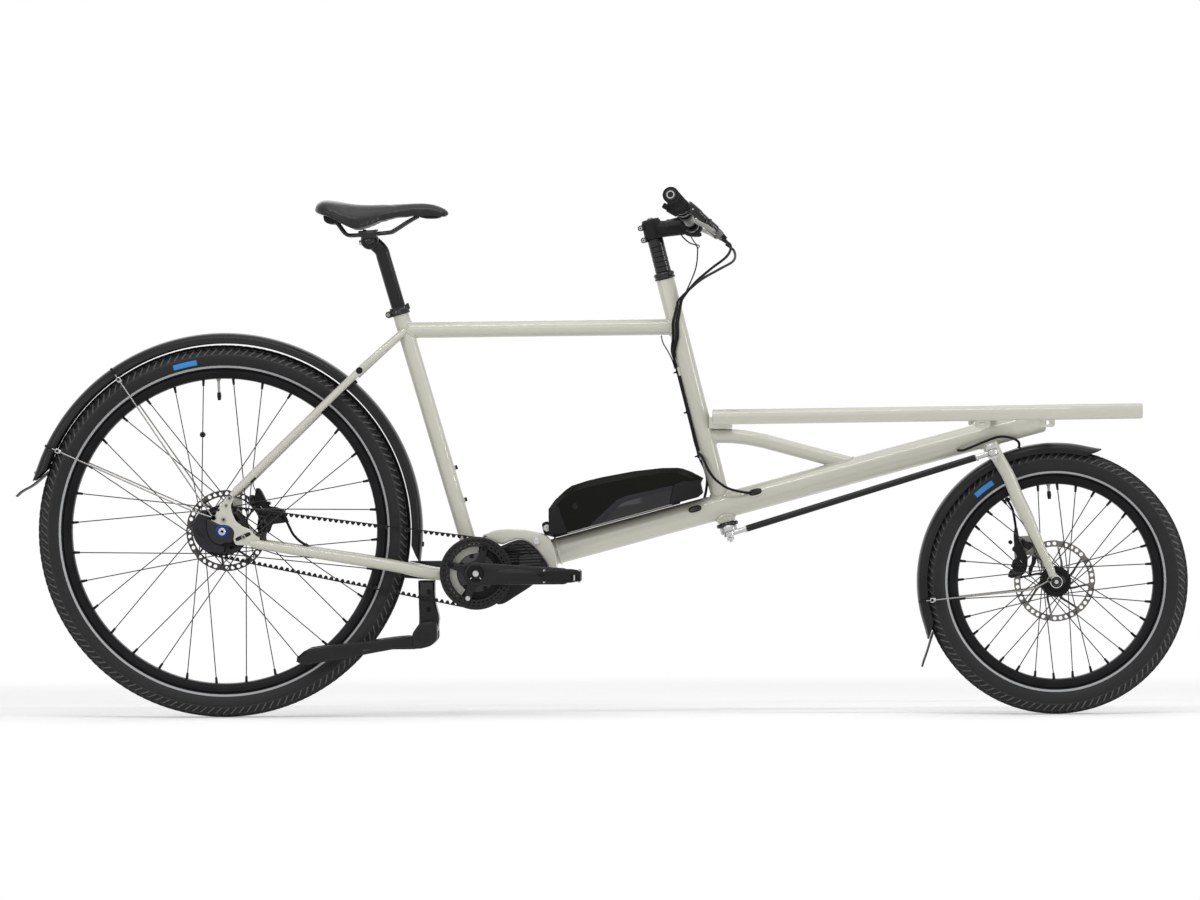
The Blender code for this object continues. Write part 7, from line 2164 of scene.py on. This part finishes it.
def buildCollar():
    piece = Piece("seatCollar", "frame", "black_metal", "seat_collar")
    foot = seatAt(0.788)
    height = (seatAt(0.8045) - foot).length
    piece.take(lathe([(0.0162, 0.0), (0.0184, 0.0), (0.0192, 0.001), (0.0192, height * 0.55), (0.0186, height * 0.62),
        (0.019, height * 0.7), (0.0188, height - 0.001), (0.0172, height), (0.0162, height)], foot, seatUp, 44),
        "gloss")
    ahead = Vector((seatUp.z, 0.0, -seatUp.x))
    lug = seatAt(0.7945) - ahead * 0.0225
    for side in (-0.0046, 0.0046):
        outline = ofArc(lug, 0.0066, 90.0, 270.0, 14) + [(lug.x + 0.008, lug.z - 0.0046),
            (lug.x + 0.008, lug.z + 0.0076)]
        piece.take(plate(outline, side - 0.0031, side + 0.0031, 0.0012), "gloss")
    for out in (-1.0, 1.0):
        piece.take(lathe([(0.0014, 0.0096), (0.0034, 0.0096), (0.004, 0.0088), (0.004, 0.0074), (0.0, 0.0074),
            (0.0, 0.0084), (0.0014, 0.0084)], lug - ahead * 0.001, sideways * out, 18, closed=False), "wire")
    piece.take(block((0.006, 0.011, 0.0125), seatAt(0.8) + ahead * 0.0185, 0.0024, ahead, seatUp), "gloss")
    return piece.done()


def buildPost():
    piece = Piece("seatPost", "post", "black_metal", "seat_post")
    neck = seatAt(0.908)
    points = [seatAt(0.66), seatAt(0.88)]
    points += through([seatAt(0.885), seatAt(0.9), neck + Vector((-0.002, 0.0, 0.006)),
        seatPivot + Vector((0.008, 0.0, -0.006)), seatPivot], 5)
    piece.take(tube(points, [0.014] * 6 + [0.014, 0.0142, 0.0138, 0.0116], 40, lead=sideways), "satin")
    head = seatPivot + Vector((-0.0046, 0.0, 0.0027))
    for out in (-1.0, 1.0):
        piece.take(lathe([(0.0, 0.0), (0.0168, 0.0), (0.0174, 0.001), (0.0174, 0.017), (0.0166, 0.0184),
            (0.0138, 0.0188), (0.0126, 0.0178), (0.0104, 0.0176), (0.0098, 0.0186), (0.0088, 0.0222),
            (0.0062, 0.0244), (0.0, 0.025)], head, sideways * out, 48, closed=False), "gloss")
    bolt = seatPivot + Vector((-0.0215, 0.0, -0.001))
    piece.take(block((0.009, 0.015, 0.01), bolt, 0.0022), "satin")
    piece.take(socketBolt(bolt - sideways * 0.007 + Vector((-0.001, 0.0, -0.002)), -sideways, 0.0036, 0.002), "steel")
    return piece.done()


def buildRails():
    piece = Piece("saddleRails", "seat", "steel", "saddle_rails")
    for side in (-1.0, 1.0):
        route = [(0.218, side * 0.031, 0.976), (0.226, side * 0.029, 0.965), (0.2385, side * 0.025, 0.9485),
            (0.25, side * 0.022, 0.9442), (0.288, side * 0.022, 0.9466), (0.324, side * 0.022, 0.9495),
            (0.336, side * 0.021, 0.954), (0.362, side * 0.016, 0.9705), (0.382, side * 0.011, 0.9815)]
        piece.take(tube(through(route, 5), 0.0036, 16), "gloss")
        for x, z in ((0.256, 0.9448), (0.31, 0.9484)):
            for step in range(4):
                piece.take(disc(0.00375, -0.0002, 0.0002, (x + 0.0025 * step, side * 0.022, z + 0.00018 * step),
                    (1.0, 0.0, 0.07), 0.0001, 14), "wire")
    clamp = [(0.2652, 0.9445), (0.2652, 0.9525), (0.299, 0.9548), (0.303, 0.95), (0.2995, 0.938), (0.274, 0.937)]
    piece.take(plate(rounded(clamp, 0.002, 3), -0.029, 0.029, 0.0012), "gloss")
    for x in (-0.015, 0.008):
        piece.take(socketBolt((seatPivot.x + x, 0.0, 0.953), (0.0, 0.0, 1.0), 0.0036, 0.0028), "black")
    return piece.done()


# Along the saddle: x, half width, crown, edge of the skirt, underside at the middle.
saddleStations = [(0.1803, 0.028, 0.9975, 0.989, 0.9895), (0.183, 0.046, 1.0045, 0.987, 0.988),
    (0.187, 0.057, 1.0092, 0.9852, 0.9865), (0.196, 0.067, 1.0133, 0.9825, 0.984),
    (0.208, 0.074, 1.0128, 0.979, 0.9815), (0.222, 0.077, 1.01, 0.9725, 0.978), (0.24, 0.079, 1.006, 0.9605, 0.972),
    (0.256, 0.077, 1.0038, 0.9532, 0.968), (0.27, 0.071, 1.0026, 0.9521, 0.967), (0.287, 0.06, 1.002, 0.9588, 0.969),
    (0.312, 0.044, 1.0027, 0.9695, 0.976), (0.34, 0.033, 1.0045, 0.9762, 0.9805), (0.37, 0.027, 1.0068, 0.979, 0.983),
    (0.395, 0.024, 1.0074, 0.9794, 0.9835), (0.415, 0.022, 1.0042, 0.979, 0.983), (0.43, 0.02, 0.9985, 0.9784, 0.982),
    (0.439, 0.0168, 0.9935, 0.9782, 0.9815), (0.4426, 0.0125, 0.988, 0.9796, 0.981)]


def saddleShape():
    shape = bmesh.new()
    rings = []
    for x, half, crown, edge, under in saddleStations:
        ring = []
        for step in range(13):
            turn = math.radians(-90.0 + 15.0 * step)
            side, rise = math.sin(turn), math.cos(turn)
            ring.append((half * math.copysign(abs(side) ** 0.8, side), edge + (crown - edge) * rise ** 0.62))
        for share in (0.94, 0.82, 0.55, 0.0, -0.55, -0.82, -0.94):
            ring.append((half * share, under + (edge - under) * abs(share) ** 3.0))
        rings.append([shape.verts.new((x, side, z)) for side, z in ring])
    return skinned(shape, rings)


swellSize = {"voxel": 0.004, "smooth": 10, "pressure": 4.0, "frames": 16, "cap": 0.002}


def evenMesh(item):
    remesh = item.modifiers.new("even", "REMESH")
    remesh.mode = "VOXEL"
    remesh.voxel_size = swellSize["voxel"]
    smooth = item.modifiers.new("smooth", "SMOOTH")
    smooth.factor = 0.5
    smooth.iterations = swellSize["smooth"]
    settled(item)


def settled(item):
    depsgraph = bpy.context.evaluated_depsgraph_get()
    mesh = bpy.data.meshes.new_from_object(item.evaluated_get(depsgraph))
    item.modifiers.clear()
    item.data = mesh


def swollen(item):
    # The cover swells over its foam; its underside stays where the shell holds it.
    before = [vert.co.copy() for vert in item.data.vertices]
    held = item.vertex_groups.new(name="held")
    low = [index for index, vert in enumerate(item.data.vertices) if item.data.vertices[index].normal.z < -0.25]
    held.add(low, 1.0, "REPLACE")
    cloth = item.modifiers.new("swell", "CLOTH")
    cloth.settings.use_pressure = True
    cloth.settings.uniform_pressure_force = swellSize["pressure"]
    cloth.settings.effector_weights.gravity = 0.0
    cloth.settings.vertex_group_mass = "held"
    cloth.point_cache.frame_start = 1
    cloth.point_cache.frame_end = swellSize["frames"]
    for step in range(1, swellSize["frames"] + 1):
        scene.frame_set(step)
    settled(item)
    for vert, start in zip(item.data.vertices, before):
        move = vert.co - start
        if move.length > swellSize["cap"]:
            vert.co = start + move.normalized() * swellSize["cap"]
    item.vertex_groups.clear()
    scene.frame_set(1)


def buildSaddle():
    shape = saddleShape()
    bmesh.ops.translate(shape, vec=(-shift, 0.0, 0.0), verts=shape.verts)
    mesh = bpy.data.meshes.new("saddlePad")
    shape.to_mesh(mesh)
    shape.free()
    item = bpy.data.objects.new("saddlePad", mesh)
    scene.collection.objects.link(item)
    evenMesh(item)
    swollen(item)
    finer = item.modifiers.new("finer", "SUBSURF")
    finer.levels = 1
    finer.render_levels = 1
    settled(item)
    item.data.materials.clear()
    item.data.materials.append(finishes["leather"])
    item.data.shade_smooth()
    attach(item, "seat")
    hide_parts("saddle")
    print("piece saddlePad", len(item.data.polygons), "faces")


def buildSaddleShell():
    # The hard shell that shows below the cover, with its rear pocket and the rails' sockets.
    piece = Piece("saddleShell", "seat", "black_plastic")
    outline = [(0.197, 0.983), (0.199, 0.972), (0.205, 0.967), (0.218, 0.9655), (0.225, 0.97), (0.23, 0.98)]
    piece.take(plate(rounded(outline, 0.004, 3), -0.042, 0.042, 0.003), "plastic")
    for side in (-1.0, 1.0):
        piece.take(block((0.022, 0.016, 0.016), (0.219, side * 0.031, 0.9755), 0.004, segments=3), "plastic")
    nose = [(0.378, 0.985), (0.386, 0.979), (0.398, 0.9765), (0.416, 0.9765), (0.426, 0.9785), (0.43, 0.983)]
    piece.take(plate(rounded(nose, 0.003, 3), -0.013, 0.013, 0.002), "plastic")
    return piece.done()


buildCollar()
buildPost()
buildRails()
buildSaddle()
buildSaddleShell()
print("seat done")


# Stand

standSize = {"pivot": Vector((0.3909, 0.0, 0.1575)), "inner": 0.0306, "outer": 0.0546}


def buildBracket():
    piece = Piece("standBracket", "frame", "black_metal", "kickstand_bracket")
    outline = [(0.38, 0.2665), (0.4125, 0.2665), (0.4125, 0.2408), (0.414, 0.2234), (0.4215, 0.1935), (0.418, 0.165),
        (0.38, 0.165), (0.382, 0.19)]
    piece.take(plate(rounded(outline, [0.002, 0.002, 0.008, 0.008, 0.006, 0.006, 0.006, 0.008], 4), -0.029, 0.029,
        0.004), "satin")
    piece.take(disc(0.019, -0.0298, 0.0298, standSize["pivot"], sideways, 0.0012, 40), "satin")
    for z in (0.21, 0.245):
        piece.take(socketBolt((0.401, -0.0288, z), -sideways, 0.0046, 0.003), "black")
    return piece.done()


def buildStand():
    piece = Piece("kickstand", "stand", "black_metal", "kickstand", angle=30.0)
    pivot, inner, outer = standSize["pivot"], standSize["inner"], standSize["outer"]
    boss = [(0.37, 0.148), (0.369, 0.164), (0.385, 0.186), (0.408, 0.189), (0.418, 0.183), (0.419, 0.152),
        (0.406, 0.139), (0.385, 0.1335), (0.37, 0.134)]
    for side in (-1.0, 1.0):
        low, high = sorted((side * inner, side * outer))
        piece.take(plate(rounded(boss, 0.006, 3), low, high, 0.0034), "satin")
        face = beside(pivot, side * outer)
        piece.take(lathe([(0.0, 0.0004), (0.007, 0.0004), (0.0076, -0.0002), (0.01, -0.0002), (0.0104, 0.0006),
            (0.0124, 0.0006), (0.013, -0.0004), (0.013, -0.002), (0.0, -0.002)], face, sideways * side, 40,
            closed=False), "satin")
        leg = [(0.376, 0.145, 0.012), (0.356, 0.1452, 0.0125), (0.33, 0.144, 0.0112), (0.295, 0.1385, 0.0118),
            (0.27, 0.135, 0.013), (0.235, 0.13, 0.015), (0.196, 0.1245, 0.015), (0.17, 0.12, 0.015),
            (0.162, 0.117, 0.014), (0.15, 0.114, 0.0085), (0.144, 0.115, 0.005)]
        points, sizes = [], []
        for x, z, half in leg:
            share = min((0.376 - x) / 0.23, 1.0)
            points.append((x, side * (0.0426 + 0.018 * share), z))
            sizes.append(half)
        piece.take(legShape(points, sizes, 0.01), "satin")
        pocket = [(0.295, 0.133), (0.268, 0.1335), (0.248, 0.131), (0.258, 0.127), (0.276, 0.1265)]
        spot = side * (0.0426 + 0.018 * 0.46 + 0.0098)
        low, high = sorted((spot, spot - side * 0.0015))
        piece.take(plate(rounded(pocket, 0.002, 3), low, high, 0.0003), "gloss")
    piece.take(tube([beside(pivot, -0.05), beside(pivot, 0.05)], 0.0058, 20), "black")
    return piece.done()


def legShape(points, sizes, half):
    # A cast leg with broad flat sides and a chamfer along every edge.
    shape = bmesh.new()
    rings = []
    for index, (point, size) in enumerate(zip(points, sizes)):
        before, after = Vector(points[max(index - 1, 0)]), Vector(points[min(index + 1, len(points) - 1)])
        along = (after - before).normalized()
        up = Vector((0.0, 0.0, 1.0))
        up = (up - along * up.dot(along)).normalized()
        across = along.cross(up)
        wide = half * (0.75 if index in (0, len(points) - 1) else 1.0)
        cut = min(0.0042, size * 0.5)
        ring = []
        for a, b in ((-wide, -size + cut), (-wide, size - cut), (-wide + cut, size), (wide - cut, size),
                (wide, size - cut), (wide, -size + cut), (wide - cut, -size), (-wide + cut, -size)):
            ring.append(shape.verts.new(Vector(point) + across * a + up * b))
        rings.append(ring)
    return skinned(shape, rings)


buildBracket()
buildStand()
print("stand done")


# Hoses and wires

def roundColumn(z, turn, reach=0.0217):
    # A place round the column tube, the turn counted from its rear towards the right.
    turn = math.radians(turn)
    return columnAt(z) - (steerAhead * math.cos(turn) + sideways * math.sin(turn)) * reach


hoseSize = {"radius": 0.0026, "wrap": [(0.812, 140.0, 0.0275), (0.8, 124.0, 0.0235), (0.785, 102.0, 0.0225),
    (0.77, 82.0, 0.0225), (0.755, 72.0, 0.0225), (0.742, 62.0, 0.0225), (0.73, 42.0, 0.0225), (0.718, 20.0, 0.0225),
    (0.704, 2.0, 0.022), (0.69, 0.0, 0.0217)]}


def hoseRoute(start, around, tail):
    path = [Vector(point) for point in start]
    path += [roundColumn(z, turn + around, reach) for z, turn, reach in hoseSize["wrap"]]
    path += [roundColumn(z, around) for z in (0.65, 0.61, 0.57, 0.53)]
    return through(path + [Vector(point) for point in tail], 6)


def buildBarHoses():
    piece = Piece("barHoses", "frame", "black_plastic", "bar_hoses", angle=60.0)
    right = [(0.985, -0.1672, 0.9277), (0.996, -0.156, 0.917), (0.988, -0.12, 0.898), (0.956, -0.08, 0.874),
        (0.925, -0.048, 0.848)]
    left = [(0.985, 0.1672, 0.9277), (1.001, 0.156, 0.914), (1.0, 0.11, 0.894), (0.972, 0.05, 0.876),
        (0.933, -0.01, 0.852)]
    toPort = [(0.9405, -0.02, 0.501), (0.9495, -0.029, 0.482), (0.964, -0.033, 0.4625), (0.986, -0.032, 0.4465),
        (1.0085, -0.03, 0.4395), (1.028, -0.0265, 0.4365), (1.04, -0.0215, 0.4385)]
    toBoom = [(0.932, 0.002, 0.506), (0.9415, 0.003, 0.485), (0.9468, 0.003, 0.464), (0.9452, 0.003, 0.442),
        (0.9415, 0.003, 0.426)]
    piece.take(tube(hoseRoute(right, 9.5, toPort), hoseSize["radius"], 12), "hose")
    piece.take(tube(hoseRoute(left, -9.5, toBoom), hoseSize["radius"], 12), "hose")
    screen = [(0.898, -0.064, 0.956), (0.9, -0.062, 0.94), (0.915, -0.056, 0.926), (0.929, -0.045, 0.92),
        (0.93, -0.038, 0.9), (0.927, -0.034, 0.878), (0.919, -0.03, 0.856)]
    wrap = [roundColumn(z, turn + 20.0, reach - 0.001) for z, turn, reach in hoseSize["wrap"]]
    piece.take(tube(through([Vector(point) for point in screen] + wrap + [roundColumn(0.64, 22.0, 0.0205),
        roundColumn(0.52, 22.0, 0.0205)], 5), 0.0014, 8), "hose")
    switch = [(0.912, -0.14, 0.953), (0.92, -0.125, 0.934), (0.928, -0.095, 0.923), (0.934, -0.065, 0.92),
        (0.932, -0.048, 0.916)]
    piece.take(tube(through(switch, 6), 0.0012, 8), "hose")
    item = piece.make()
    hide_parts("bar_hoses")
    return item


def buildClips():
    piece = Piece("hoseClips", "frame", "black_plastic")
    for z in (0.679, 0.6, 0.514):
        spot = roundColumn(z, 0.0, 0.0217)
        piece.take(tube([spot - sideways * 0.0075, spot + sideways * 0.0075], 0.004, 14), "plastic")
        piece.take(block((0.004, 0.016, 0.0056), spot, 0.001, steerAhead, steerUp), "plastic")
        piece.take(block((0.006, 0.003, 0.003), spot - steerAhead * 0.005 - sideways * 0.003, 0.0006, steerAhead,
            steerUp), "plastic")
        if z != 0.6:
            boss = roundColumn(z, 24.0, 0.0192)
            piece.take(tube([boss - steerUp * 0.008, boss + steerUp * 0.008], 0.003, 12, cap=0.001), "paint")
    wire = [(0.858, -0.004, 0.7455), (0.862, -0.0045, 0.73), (0.872, -0.005, 0.713), (0.88, -0.006, 0.696),
        (0.8848, -0.004, 0.68)]
    piece.take(tube(through(wire, 6), 0.0012, 8), "hose")
    return piece.done()


def buildForkHose():
    piece = Piece("forkHose", "frame", "black_plastic", "fork_hose", angle=60.0)
    route = [(1.4386, -0.023, 0.5178), (1.452, -0.031, 0.519), (1.489, -0.033, 0.534), (1.518, -0.034, 0.544),
        (1.54, -0.033, 0.543), (1.556, -0.024, 0.536), (1.56, -0.006, 0.527), (1.556, 0.018, 0.518),
        (1.547, 0.042, 0.508), (1.54, 0.06, 0.488), (1.536, 0.068, 0.46), (1.536, 0.068, 0.427),
        (1.548, 0.066, 0.402), (1.553, 0.06, 0.376), (1.5545, 0.048, 0.36), (1.554, 0.0371, 0.352)]
    piece.take(tube(through(route, 6), hoseSize["radius"], 12), "hose")
    spot = Vector((1.5375, 0.068, 0.42))
    piece.take(disc(0.0042, -0.0035, 0.0035, spot, (-0.25, -0.4, -0.85), 0.0008, 16), "plastic")
    piece.take(block((0.018, 0.006, 0.006), spot + Vector((0.009, -0.004, 0.001)), 0.0014), "plastic")
    item = piece.make()
    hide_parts("fork_hose")
    return item


def buildRearHose():
    piece = Piece("rearHose", "frame", "black_plastic", "rear_hose", angle=60.0)
    route = [(0.1135, 0.051, 0.39), (0.118, 0.0515, 0.382), (0.123, 0.0525, 0.372), (0.13, 0.0545, 0.358),
        (0.14, 0.057, 0.3465), (0.15, 0.059, 0.339), (0.16, 0.0605, 0.333), (0.174, 0.061, 0.324)]
    piece.take(tube(through(route, 6), hoseSize["radius"], 12), "hose")
    piece.take(disc(0.004, -0.004, 0.004, (0.156, 0.06, 0.335), (0.8, 0.0, -0.6), 0.0008, 16), "plastic")
    return piece.done()


barHoses = buildBarHoses()
buildClips()
forkHose = buildForkHose()
buildRearHose()
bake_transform(barHoses)
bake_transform(forkHose)
print("hoses done")
